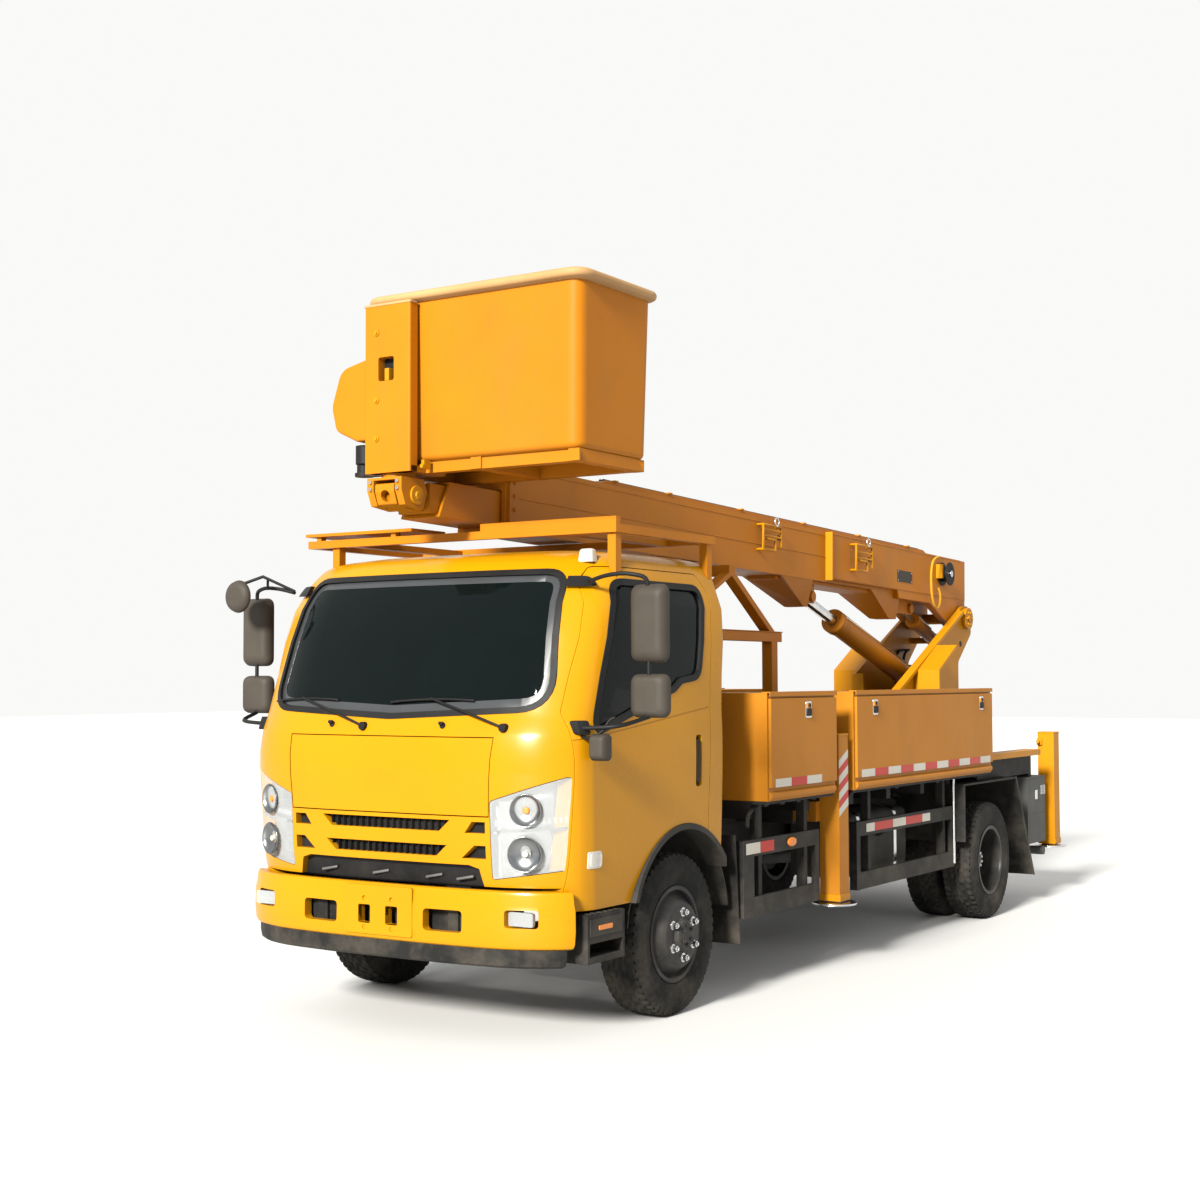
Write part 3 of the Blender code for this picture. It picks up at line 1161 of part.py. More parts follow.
DOOR_OUTLINE_TOP = [(-2.190, 0.985), (-2.150, 2.080), (-2.230, 2.180), (-3.060, 2.180), (-3.130, 2.120),
                    (HINGE_Y, 1.500), (HINGE_Y, CAB_BOTTOM)]
DOOR_WINDOW = [(-3.260, 1.395, 0.05), (-2.520, 1.600, 0.06), (-2.450, 1.640, 0.06), (-2.270, 1.660, 0.08),
               (-2.215, 2.115, 0.08), (-3.030, 2.115, 0.10)]
WINDSCREEN = [(-0.850, 1.520, 0.09), (0, 1.480, 0.3), (0.850, 1.520, 0.09), (0.775, 2.160, 0.09),
              (-0.775, 2.160, 0.09)]
REAR_WINDOW = [(-0.620, 1.560), (0.620, 1.560), (0.600, 2.020), (-0.600, 2.020)]
LID_OUTLINE = [(-0.560, 1.030), (0.560, 1.030), (0.620, 1.130), (0.620, 1.385), (-0.620, 1.385), (-0.620, 1.130)]
HEADLIGHT = [(0.580, 0.745), (0.930, 0.790), (0.960, 0.960), (0.955, 1.210), (0.860, 1.185), (0.650, 1.110),
             (0.590, 1.020)]
GRILLE_SLOTS = [(0.400, 0.960, 1.005), (0.335, 0.845, 0.880), (0.520, 0.725, 0.800)]  # half width, bottom, top
GRILLE_DEPTH = 0.030


def door_outline():
    """The door in side view: down its front edge, along the sill and up round the wheel arch."""
    start = math.pi - math.asin((CAB_BOTTOM - ARCH_CENTRE[1]) / ARCH_RADIUS)
    end = math.acos((DOOR_OUTLINE_TOP[0][0] - ARCH_CENTRE[0]) / ARCH_RADIUS)
    arc = []
    for i in range(9):
        angle = start + (end - start) * i / 8
        arc.append((ARCH_CENTRE[0] + ARCH_RADIUS * math.cos(angle), ARCH_CENTRE[1] + ARCH_RADIUS * math.sin(angle)))
    return DOOR_OUTLINE_TOP + arc


def make_cab():
    outer = cab_solid(0)
    room = cab_solid(CAB_WALL, low=CAB_FLOOR[1])
    bay = cab_solid(CAB_WALL, low=0.5, high=CAB_FLOOR[0])
    arch = prism("x", circle(ARCH_CENTRE, ARCH_RADIUS, 24), -1.3, 1.3)
    skin = PANEL_DEPTH + SEAT
    screen = prism("y", rounded(WINDSCREEN, 0.05), -3.8, -2.9)
    back_window = prism("y", rounded(REAR_WINDOW, 0.05), -2.2, -1.8)
    tunnel = box((-RAIL_OUT - 0.040, CAB_BACK - 0.2, 0.5), (RAIL_OUT + 0.040, CAB_BACK + 0.1, CAB_FLOOR[0]))
    chin = box((-1.2, -3.8, 0.5), (1.2, HINGE_Y - DOOR_GAP, BUMPER_Z[1] + 0.010))
    cuts = [room, bay, screen, back_window, tunnel, chin]
    for side in (-1, 1):
        opening = prism("x", grown(door_outline(), DOOR_GAP), DOOR_INNER, 1.3)
        cuts.append(sided(opening, side))
    recesses = [prism("y", grown(LID_OUTLINE, DOOR_GAP), -3.8, -3.3)]
    for side in (-1, 1):
        recesses.append(sided(prism("y", grown(HEADLIGHT, SEAT), -3.8, HINGE_Y - 0.012), side))
    for half, low, high in GRILLE_SLOTS:
        recesses.append(box((-half, -3.8, low), (half, -3.3, high)))
    shallow = cut(fuse(*recesses), cab_solid(GRILLE_DEPTH))
    shell = cut(outer, *cuts, arch, shallow)
    node("cab_shell", shell, "cab_yellow")
    make_cab_panels()
    return shell


def skin_panel(outline_prism, depth):
    """What an outline takes from the cab's skin, to a depth."""
    return common(outline_prism, cut(cab_solid(0), cab_solid(depth)))


def make_cab_panels():
    pane = cut(cab_solid(GLASS_INSET), cab_solid(GLASS_INSET + GLASS_THICK))
    screen = grown(rounded(WINDSCREEN, 0.05), -SEAT)
    node("windscreen", common(prism("y", screen, -3.8, -2.95), pane), "glass")
    lid = skin_panel(prism("y", LID_OUTLINE, -3.8, -3.3), PANEL_DEPTH)
    hinge = (0, CAB_LEVELS[3][1] + CAB_BOW[0][1], LID_OUTLINE[3][1])
    knuckles = [bar((x, hinge[1], hinge[2]), (x + 0.06, hinge[1], hinge[2]), DOOR_GAP - SEAT, 8) for x in (-0.30, 0.24)]
    node("front_lid", fuse(lid, *knuckles), "cab_yellow", hinge)
    lamp = skin_panel(prism("y", HEADLIGHT, -3.8, HINGE_Y - 0.014), GRILLE_DEPTH - SEAT)
    outline = door_outline()
    for side, tag in ((1, "left"), (-1, "right")):
        node(f"headlight_{tag}", sided(lamp, side), "lamp_clear")
        hinge = (side * HINGE_X, HINGE_Y, 1.4)
        whole = prism("x", outline, DOOR_INNER + DOOR_GAP, 1.3)
        panel = common(whole, cut(cab_solid(0), cab_solid(CAB_WALL)))
        panel = cut(panel, prism("x", rounded(DOOR_WINDOW, 0.05), 0.5, 1.4))
        knuckles = [bar((HINGE_X, HINGE_Y, z), (HINGE_X, HINGE_Y, z + 0.09), DOOR_GAP - SEAT, 8) for z in (1.02, 1.27)]
        panel = fuse(panel, *knuckles)
        door = node(f"door_{tag}", sided(panel, side), "cab_yellow", hinge)
        glass = grown(rounded(DOOR_WINDOW, 0.05), -SEAT)
        node(f"door_glass_{tag}", sided(common(prism("x", glass, 0.6, 1.3), pane), side), "glass", hinge, door)
        make_mirror(side, tag, hinge, door)


def make_mirror(side, tag, hinge, door):
    """Two mirror heads and a kerb mirror on bent tube arms from the door's front edge."""
    stem_x = 1.215
    shapes = [
        pipe([(0.900, -3.165, 2.115), (1.020, -3.180, 2.130), (stem_x, -3.130, 2.120), (stem_x, -3.130, 1.420)], 0.011, 6),
        pipe([(stem_x, -3.130, 1.500), (1.140, -3.300, 1.440), (0.930, -3.330, 1.430)], 0.011, 6),
        mirror_head(stem_x, -3.115, 1.905, 0.190, 0.360),
        mirror_head(stem_x, -3.115, 1.575, 0.200, 0.200),
    ]
    shape = cut(fuse(*shapes), cab_solid(-SEAT))
    node(f"mirror_{tag}", sided(shape, side), "mirror_plastic", hinge, door)


def mirror_head(x, y, z, width, height):
    """A mirror housing: a rounded slab whose back is domed towards the front."""
    loops = []
    for depth, share in ((0.0, 1.0), (-0.030, 0.97), (-0.060, 0.72)):
        half, tall = width / 2 * share, height / 2 * share
        corners = [(x - half, z - tall), (x + half, z - tall), (x + half, z + tall), (x - half, z + tall)]
        loops.append([(a, y + depth + 0.020, b) for a, b in rounded(corners, 0.035 * share, 2)])
    return loft(loops)


def make_interior():
    """Floor mat, seats, dash and steering wheel, as one trim piece."""
    low = CAB_FLOOR[1] + SEAT
    shapes = [box((-0.850, -3.300, low), (0.850, -2.120, low + 0.020))]
    dash = [(-3.360, 1.300), (-3.100, 1.420), (-3.040, 1.330), (-3.120, 1.120), (-3.250, low + 0.01), (-3.290, low + 0.01)]
    shapes.append(prism("x", dash, -0.840, 0.840))
    for x0, x1 in ((0.230, 0.760), (-0.780, 0.080)):
        seat = [(-2.780, low + 0.01), (-2.300, low + 0.01), (-2.260, 1.260), (-2.760, 1.300)]
        back = [(-2.330, 1.220), (-2.130, 1.220), (-2.090, 1.920), (-2.190, 1.940)]
        shapes.append(prism("x", seat, x0, x1))
        shapes.append(prism("x", back, x0 + 0.02, x1 - 0.02))
    column = Vector((0.490, -3.120, 1.250))
    hub = Vector((0.490, -2.930, 1.520))
    shapes.append(bar(column, hub, 0.028, 8))
    lean = (hub - column).normalized()
    side = Vector((1, 0, 0))
    up = lean.cross(side)
    ring = [hub + side * 0.19 * math.cos(a) + up * 0.19 * math.sin(a)
            for a in [2 * math.pi * i / 14 for i in range(14)]]
    loops = []
    for i, point in enumerate(ring):
        out = (point - hub).normalized()
        loops.append([point + (out * math.cos(b) + lean * math.sin(b)) * 0.014
                      for b in [2 * math.pi * k / 5 for k in range(5)]])
    shapes.append(loft(loops, closed=True))
    shapes.append(bar(hub - side * 0.185, hub + side * 0.185, 0.014, 6))
    node("cab_interior", fuse(*shapes), "seat_grey")


def bow_strip(front, half, end, depth, low, high):
    """A strip that follows the cab's bow round to y = end on both sides."""
    side = [(share * half, front + set_back) for share, set_back in CAB_BOW if front + set_back < end]
    side.append((half, end))
    inner = [(max(x - depth * share, 0.0), y + depth * (1.0 - 0.3 * share)) for (x, y), (share, _) in
             zip(side[:-1], CAB_BOW)]
    inner.append((half - depth, end))
    outline = side + [(x, y) for x, y in reversed(inner)] + [(-x, y) for x, y in inner]
    outline += [(-x, y) for x, y in reversed(side)]
    return prism("z", outline, low, high)


def make_bumper():
    end = HINGE_Y - 0.012
    shapes = [
        bow_strip(BUMPER_FRONT, BUMPER_HALF, end, BUMPER_WALL, *BUMPER_Z),
        bow_strip(BUMPER_FRONT + 0.020, BUMPER_HALF - 0.020, end - 0.01, 0.028, APRON_Z, BUMPER_Z[0] + 0.01),
    ]
    for side in (-1, 1):
        shapes.append(sided(box((0.365, BUMPER_FRONT + 0.020, 0.500), (0.425, RAIL_FRONT + 0.120, RAIL_Z[0] - SEAT)), side))
    openings = []
    for x0, x1 in ((-0.60, -0.34), (0.34, 0.60)):
        openings.append(box((x0, BUMPER_FRONT - 0.1, 0.490), (x1, BUMPER_FRONT + 0.035, 0.570)))
    for side in (-1, 1):
        openings.append(prism("y", circle((side * 0.760, 0.580), 0.055, 12), -3.700, -3.505))
    node("bumper", cut(fuse(*shapes), *openings), "cab_yellow")


def make_roof_rack():
    low = RACK_TOP - RACK_TUBE
    half = RACK_HALF
    t = RACK_TUBE
    front, back = RACK_Y
    shapes = []
    for y in (front, back - t):
        shapes.append(box((-half, y, low), (half, y + t, RACK_TOP)))
    for side in (-1, 1):
        shapes.append(sided(box((half - t, front, low), (half, back, RACK_TOP)), side))
        for y in (front + 0.02, back - t - 0.12):
            shapes.append(sided(box((0.64, y, CAB_LEVELS[-1][0] + SEAT), (0.70, y + 0.05, low + 0.01)), side))
        shapes.append(sided(box((0.64, front, low), (0.70, back, RACK_TOP - 0.008)), side))
    shapes.append(box((-half, front - 0.02, RACK_TOP - 0.012), (-0.080, front + 0.26, RACK_TOP)))
    node("roof_rack", fuse(*shapes), "boom_orange")


def build():
    clear_scene()
    make_frame()
    make_front_axle()
    make_rear_axle()
    make_powertrain()
    make_fuel_tank()
    make_deck()
    make_rear_frame()
    for side, tag in ((1, "left"), (-1, "right")):
        make_front_corner(side, tag)
        make_rear_corner(side, tag)
    make_lockers()
    make_outriggers()
    make_boom_rest()
    make_hydraulic_tank()
    make_cab()
    make_interior()
    make_bumper()
    make_roof_rack()
    turret = make_turret()
    base, tip = make_booms(turret)
    make_cylinder(("lift_barrel", "lift_rod"), LIFT_PIN, boom_point(EYE_S, EYE_H),
                  LIFT_BORE_RADIUS, LIFT_ROD_RADIUS, LIFT_BARREL, LIFT_SLOT_HALF, turret)
    make_cylinder(("level_barrel", "level_rod"), LEVEL_PIN, boom_point(*LEVEL_EYE),
                  LEVEL_BORE_RADIUS, LEVEL_ROD_RADIUS, LEVEL_BARREL, LEVEL_SLOT_HALF, turret)
    head = make_head(tip)
    make_bucket(head)


build()
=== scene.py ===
"""Looks of the cherry picker truck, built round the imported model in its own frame. Metres."""
import json
import math
import random

import bmesh
import bpy
from mathutils import Matrix, Vector


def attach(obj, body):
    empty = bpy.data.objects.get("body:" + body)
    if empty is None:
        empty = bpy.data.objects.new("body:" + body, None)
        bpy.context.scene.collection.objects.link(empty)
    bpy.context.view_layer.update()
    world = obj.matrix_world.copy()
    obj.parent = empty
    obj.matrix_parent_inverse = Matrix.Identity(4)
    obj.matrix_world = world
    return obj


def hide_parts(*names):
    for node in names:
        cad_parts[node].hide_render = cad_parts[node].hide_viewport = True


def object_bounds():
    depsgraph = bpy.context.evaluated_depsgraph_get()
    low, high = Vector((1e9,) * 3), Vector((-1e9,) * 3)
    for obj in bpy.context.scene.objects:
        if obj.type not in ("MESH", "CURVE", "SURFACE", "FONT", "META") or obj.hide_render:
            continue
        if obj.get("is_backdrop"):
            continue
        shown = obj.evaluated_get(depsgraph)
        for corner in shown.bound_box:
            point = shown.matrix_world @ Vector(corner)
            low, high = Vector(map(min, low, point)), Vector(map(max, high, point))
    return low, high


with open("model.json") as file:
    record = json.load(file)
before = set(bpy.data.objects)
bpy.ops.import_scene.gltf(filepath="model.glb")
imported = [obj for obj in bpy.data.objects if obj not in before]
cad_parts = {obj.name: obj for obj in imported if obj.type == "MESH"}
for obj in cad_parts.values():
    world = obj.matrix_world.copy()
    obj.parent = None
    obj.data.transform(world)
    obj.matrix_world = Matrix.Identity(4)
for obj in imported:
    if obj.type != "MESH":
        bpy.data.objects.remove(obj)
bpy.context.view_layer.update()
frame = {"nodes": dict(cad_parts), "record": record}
nodes = frame["nodes"]
random.seed(7)

# Camera, floor and light

camera = bpy.data.objects.new("camera", bpy.data.cameras.new("camera"))
bpy.context.scene.collection.objects.link(camera)
camera.location = (5.272, -9.841, 1.653)
camera.rotation_euler = (math.radians(92.62), math.radians(0.162), math.radians(32.78))
camera.data.lens = 51.7
camera.data.sensor_width = 36.0
camera.data.clip_end = 200
bpy.context.scene.camera = camera
bpy.context.scene.view_settings.view_transform = "Standard"


def link(name, mesh):
    obj = bpy.data.objects.new(name, mesh)
    bpy.context.scene.collection.objects.link(obj)
    return obj


def plain_material(name, colour, roughness):
    material = bpy.data.materials.new(name)
    material.use_nodes = True
    shader = material.node_tree.nodes["Principled BSDF"]
    shader.inputs["Base Color"].default_value = (*colour, 1)
    shader.inputs["Roughness"].default_value = roughness
    return material


floor_mesh = bpy.data.meshes.new("floor")
floor_mesh.from_pydata([(-60, -60, 0), (60, -60, 0), (60, 60, 0), (-60, 60, 0)], [], [(0, 1, 2, 3)])
floor = link("floor", floor_mesh)
floor_mesh.materials.append(plain_material("floor_pale", (0.50, 0.50, 0.495), 0.6))
floor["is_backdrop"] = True

world = bpy.data.worlds.new("studio")
bpy.context.scene.world = world
world.use_nodes = True
world.node_tree.nodes["Background"].inputs["Color"].default_value = (1.0, 1.0, 0.985, 1)
world.node_tree.nodes["Background"].inputs["Strength"].default_value = 0.95


def area_light(name, place, target, size, power, colour=(1, 1, 1)):
    light = bpy.data.lights.new(name, "AREA")
    light.size = size
    light.energy = power
    light.color = colour
    obj = bpy.data.objects.new(name, light)
    bpy.context.scene.collection.objects.link(obj)
    obj.location = place
    obj.rotation_mode = "QUATERNION"
    obj.rotation_quaternion = (Vector(target) - Vector(place)).to_track_quat("-Z", "Y")
    return obj


sun = bpy.data.objects.new("key", bpy.data.lights.new("key", "SUN"))
bpy.context.scene.collection.objects.link(sun)
sun.data.energy = 11.5
sun.data.angle = math.radians(11)
sun.data.color = (1.0, 0.97, 0.90)
sun.rotation_mode = "QUATERNION"
sun.rotation_quaternion = Vector((-0.09, 0.90, -0.43)).to_track_quat("-Z", "Y")
area_light("fill", (10.0, -2.0, 6.0), (0, 0, 1.2), 7.0, 60)

# Materials


def tree_of(name):
    material = bpy.data.materials.new(name)
    material.use_nodes = True
    tree = material.node_tree
    return material, tree, tree.nodes["Principled BSDF"]


def noise(tree, scale, detail=4.0, roughness=0.55, stretch=None, distortion=0.0):
    """A noise over the object's own coordinates."""
    coords = tree.nodes.new("ShaderNodeTexCoord")
    texture = tree.nodes.new("ShaderNodeTexNoise")
    texture.inputs["Scale"].default_value = scale
    texture.inputs["Detail"].default_value = detail
    texture.inputs["Roughness"].default_value = roughness
    texture.inputs["Distortion"].default_value = distortion
    if stretch:
        mapping = tree.nodes.new("ShaderNodeMapping")
        mapping.inputs["Scale"].default_value = stretch
        tree.links.new(coords.outputs["Object"], mapping.inputs["Vector"])
        tree.links.new(mapping.outputs["Vector"], texture.inputs["Vector"])
    else:
        tree.links.new(coords.outputs["Object"], texture.inputs["Vector"])
    return texture.outputs["Fac"]


def ramp(tree, source, stops):
    """A colour ramp from (position, colour) stops."""
    node = tree.nodes.new("ShaderNodeValToRGB")
    points = node.color_ramp.elements
    while len(points) < len(stops):
        points.new(0.5)
    for point, (position, colour) in zip(points, stops):
        point.position = position
        point.color = (*colour, 1) if len(colour) == 3 else colour
    tree.links.new(source, node.inputs["Fac"])
    return node.outputs["Color"]


def mixed(tree, factor, first, second):
    node = tree.nodes.new("ShaderNodeMix")
    node.data_type = "RGBA"
    for slot, value in (("Factor", factor), ("A", first), ("B", second)):
        sockets = [s for s in node.inputs if s.name == slot and s.enabled]
        socket = sockets[-1] if slot != "Factor" else sockets[0]
        if isinstance(value, bpy.types.NodeSocket):
            tree.links.new(value, socket)
        elif slot == "Factor":
            socket.default_value = value
        else:
            socket.default_value = (*value, 1)
    return [s for s in node.outputs if s.enabled][0]


def bump(tree, shader, height, strength, distance):
    node = tree.nodes.new("ShaderNodeBump")
    node.inputs["Strength"].default_value = strength
    node.inputs["Distance"].default_value = distance
    tree.links.new(height, node.inputs["Height"])
    tree.links.new(node.outputs["Normal"], shader.inputs["Normal"])


def height_mask(tree, low, high):
    """1 at the low height and 0 at the high one, in the object's own coordinates."""
    coords = tree.nodes.new("ShaderNodeTexCoord")
    split = tree.nodes.new("ShaderNodeSeparateXYZ")
    tree.links.new(coords.outputs["Object"], split.inputs["Vector"])
    mapped = tree.nodes.new("ShaderNodeMapRange")
    mapped.inputs["From Min"].default_value = high
    mapped.inputs["From Max"].default_value = low
    tree.links.new(split.outputs["Z"], mapped.inputs["Value"])
    return mapped.outputs["Result"]


def times(tree, first, second):
    node = tree.nodes.new("ShaderNodeMath")
    node.operation = "MULTIPLY"
    for socket, value in zip(node.inputs, (first, second)):
        if isinstance(value, bpy.types.NodeSocket):
            tree.links.new(value, socket)
        else:
            socket.default_value = value
    return node.outputs["Value"]


def paint(name, colour, shade, rough=0.32, coat=0.35, grime=0.35, grime_colour=(0.13, 0.075, 0.025),
          peel=0.03,
          grime_scale=2.2, rough_spread=0.12):
    """Sprayed enamel: slow tone drift, fine orange peel, and grime in patches and streaks."""
    material, tree, shader = tree_of(name)
    drift = ramp(tree, noise(tree, 1.3, 3), [(0.35, colour), (0.75, shade)])
    streaks = ramp(tree, noise(tree, grime_scale, 8, 0.68, (1.0, 1.0, 0.35)),
                   [(0.52, (0, 0, 0)), (0.80, (1, 1, 1))])
    specks = ramp(tree, noise(tree, 38, 5, 0.7), [(0.60, (0, 0, 0)), (0.78, (1, 1, 1))])
    dirty = mixed(tree, times(tree, streaks, grime), drift, grime_colour)
    dirty = mixed(tree, times(tree, specks, grime * 0.45), dirty, tuple(c * 0.6 for c in grime_colour))
    tree.links.new(dirty, shader.inputs["Base Color"])
    rough_map = tree.nodes.new("ShaderNodeMapRange")
    rough_map.inputs["To Min"].default_value = rough - rough_spread / 2
    rough_map.inputs["To Max"].default_value = rough + rough_spread
    tree.links.new(noise(tree, 5.0, 5), rough_map.inputs["Value"])
    tree.links.new(rough_map.outputs["Result"], shader.inputs["Roughness"])
    shader.inputs["Coat Weight"].default_value = coat
    shader.inputs["Coat Roughness"].default_value = 0.08
    shader.inputs["Specular IOR Level"].default_value = 0.10
    bump(tree, shader, noise(tree, 90, 2), peel, 0.002)
    return material


def dull(name, colour, shade, rough=0.6, metal=0.0, dust=0.3, dust_colour=(0.13, 0.11, 0.085), grain=140,
         depth=0.12):
    """Chassis paint, moulded plastic or rubber: fine grain, with dust that thickens downwards."""
    material, tree, shader = tree_of(name)
    base = ramp(tree, noise(tree, 3.0, 6, 0.6), [(0.35, colour), (0.72, shade)])
    patches = ramp(tree, noise(tree, 4.5, 8, 0.7), [(0.42, (0, 0, 0)), (0.75, (1, 1, 1))])
    amount = times(tree, times(tree, patches, height_mask(tree, 0.2, 1.3)), dust)
    tree.links.new(mixed(tree, amount, base, dust_colour), shader.inputs["Base Color"])
    shader.inputs["Metallic"].default_value = metal
    rough_map = tree.nodes.new("ShaderNodeMapRange")
    rough_map.inputs["To Min"].default_value = rough - 0.08
    rough_map.inputs["To Max"].default_value = min(rough + 0.15, 1.0)
    tree.links.new(noise(tree, 12, 5), rough_map.inputs["Value"])
    tree.links.new(rough_map.outputs["Result"], shader.inputs["Roughness"])
    shader.inputs["Specular IOR Level"].default_value = 0.14
    bump(tree, shader, noise(tree, grain, 3), depth, 0.002)
    return material


def metal(name, colour, shade, rough=0.25):
    material, tree, shader = tree_of(name)
    tree.links.new(ramp(tree, noise(tree, 14, 6), [(0.3, colour), (0.8, shade)]), shader.inputs["Base Color"])
    shader.inputs["Metallic"].default_value = 1.0
    shader.inputs["Roughness"].default_value = rough
    bump(tree, shader, noise(tree, 160, 3), 0.05, 0.001)
    return material


def lens(name, colour, alpha, rough=0.04, shine=0.5):
    material, tree, shader = tree_of(name)
    tree.links.new(ramp(tree, noise(tree, 6, 3), [(0.3, colour), (0.8, tuple(c * 0.85 for c in colour))]),
                   shader.inputs["Base Color"])
    shader.inputs["Roughness"].default_value = rough
    shader.inputs["Alpha"].default_value = alpha
    shader.inputs["Specular IOR Level"].default_value = shine
    return material


LOOKS = {
    "cab_yellow": paint("cab_yellow", (0.335, 0.150, 0.0012), (0.315, 0.136, 0.0012), 0.24, 0.14, 0.08),
    "boom_orange": paint("boom_orange", (0.335, 0.116, 0.0035), (0.295, 0.098, 0.0035), 0.42, 0.02, 0.32),
    "locker_orange": paint("locker_orange", (0.315, 0.120, 0.008), (0.275, 0.102, 0.007), 0.45, 0.02, 0.32),
    "turret_yellow": paint("turret_yellow", (0.36, 0.150, 0.002), (0.32, 0.128, 0.002), 0.4, 0.03, 0.25),
    "chassis_black": dull("chassis_black", (0.006, 0.006, 0.006), (0.012, 0.0115, 0.011), 0.55, 0.0, 0.40),
    "guard_grey": dull("guard_grey", (0.015, 0.0145, 0.013), (0.026, 0.024, 0.021), 0.6, 0.0, 0.45),
    "rubber": dull("rubber", (0.006, 0.0065, 0.0065), (0.012, 0.012, 0.012), 0.82, 0.0, 0.35),
    "rim_black": dull("rim_black", (0.010, 0.010, 0.011), (0.020, 0.020, 0.020), 0.36, 0.0, 0.25),
    "steel": metal("steel", (0.66, 0.66, 0.66), (0.48, 0.48, 0.49), 0.20),
    # the glass is near-black and almost opaque: its darkness is painted shade standing in for the dim cab
    # interior seen through the panes
    "glass": lens("glass", (0.002, 0.004, 0.004), 0.88, 0.03, 0.10),
    "lamp_clear": lens("lamp_clear", (0.50, 0.52, 0.53), 0.24),
    "mirror_plastic": dull("mirror_plastic", (0.030, 0.025, 0.020), (0.040, 0.034, 0.028), 0.55, 0.0, 0.15),
    "seat_grey": dull("seat_grey", (0.030, 0.032, 0.034), (0.050, 0.050, 0.052), 0.85, 0.0, 0.1),
    "tank_rust": paint("tank_rust", (0.19, 0.075, 0.026), (0.12, 0.048, 0.020), 0.6, 0.0, 0.6),
    "engine_grey": dull("engine_grey", (0.08, 0.08, 0.08), (0.14, 0.135, 0.13), 0.6, 0.4, 0.5),
    "black": dull("black_plastic", (0.005, 0.005, 0.0055), (0.010, 0.010, 0.010), 0.5, 0.0, 0.15),
    "frit": lens("frit", (0.030, 0.032, 0.035), 1.0, 0.25, 0.3),
    "chrome": metal("chrome", (0.24, 0.25, 0.26), (0.16, 0.165, 0.17), 0.24),
    "amber": lens("amber", (0.55, 0.16, 0.010), 0.95, 0.15),
    "red": paint("red_tape", (0.34, 0.022, 0.014), (0.28, 0.018, 0.012), 0.3, 0.1, 0.2),
    "white": paint("white_tape", (0.40, 0.38, 0.33), (0.34, 0.32, 0.27), 0.3, 0.1, 0.3),
    "pale": paint("pale_rim", (0.33, 0.20, 0.09), (0.27, 0.15, 0.06), 0.5, 0.05, 0.4),
    "grey": dull("grey_box", (0.05, 0.052, 0.052), (0.075, 0.077, 0.075), 0.6, 0.0, 0.4),
    "hose": paint("hose_yellow", (0.42, 0.20, 0.01), (0.36, 0.16, 0.01), 0.5, 0.05, 0.3),
    "mirror_glass": metal("mirror_glass", (0.75, 0.76, 0.78), (0.70, 0.71, 0.73), 0.05),
}
slots = {row["node"]: row["material_slot"] for row in frame["record"]["subparts"]}


def dress(obj, look, bevel=0.0, segments=2, angle=35):
    """A material, welded vertices, rolled edges and smooth faces."""
    obj.data.materials.clear()
    obj.data.materials.append(LOOKS[look])
    weld = obj.modifiers.new("weld", "WELD")
    weld.merge_threshold = 0.00005
    if bevel:
        roll = obj.modifiers.new("edges", "BEVEL")
        roll.width = bevel
        roll.segments = segments
        roll.limit_method = "ANGLE"
        roll.angle_limit = math.radians(angle)
        roll.harden_normals = False
        roll.miter_outer = "MITER_ARC"
    for face in obj.data.polygons:
        face.use_smooth = True
    normals = obj.modifiers.new("normals", "WEIGHTED_NORMAL")
    normals.keep_sharp = True


def piece(name, shape, look, body="chassis", replaced=(), bevel=0.002, segments=2, angle=32):
    """A new named piece that rides on a body, and stands for the CAD nodes that it replaces."""
    mesh = shape.copy()
    mesh.name = name
    obj = link(name, mesh)
    dress(obj, look, bevel, segments, angle)
    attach(obj, body)
    if replaced:
        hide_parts(*replaced)
    return obj


# Shapes, as in the part's source

PIVOT_Y, PIVOT_Z = 3.440, 2.130
BOOM_STOW_ANGLE = math.radians(1.35)


def closed_mesh(points, faces):
    mesh = bpy.data.meshes.new("shape")
    mesh.from_pydata([tuple(p) for p in points], [], faces)
    work = bmesh.new()
    work.from_mesh(mesh)
    bmesh.ops.remove_doubles(work, verts=work.verts, dist=1e-6)
    bmesh.ops.recalc_face_normals(work, faces=work.faces)
    work.to_mesh(mesh)
    work.free()
    return mesh


def loft(loops, closed=False):
    """A solid through loops with the same number of points, capped at both ends or closed on itself."""
    count = len(loops[0])
    points = [point for loop in loops for point in loop]
    steps = len(loops) if closed else len(loops) - 1
    faces = []
    for i in range(steps):
        a = i * count
        b = (i + 1) % len(loops) * count
        faces += [(a + j, a + (j + 1) % count, b + (j + 1) % count, b + j) for j in range(count)]
    if not closed:
        faces.append(tuple(range(count)))
        faces.append(tuple(range(len(points) - count, len(points))))
    return closed_mesh(points, faces)


def on_axis(axis, along, first, second):
    """The 3-D point that lies at along on the axis and at first, second on the other two, in order."""
    if axis == "x":
        return (along, first, second)
    if axis == "y":
        return (first, along, second)
    return (first, second, along)


def rect(a, b, c, d):
    """The four corners of a rectangle from (a, b) to (c, d)."""
    return [(a, b), (c, b), (c, d), (a, d)]


def prism(axis, outline, start, end):
    """The outline, in the two other axes, extruded along the axis."""
    return loft([[on_axis(axis, at, *point) for point in outline] for at in (start, end)])


def box(low, high):
    outline = rect(low[0], low[1], high[0], high[1])
    return prism("z", outline, low[2], high[2])


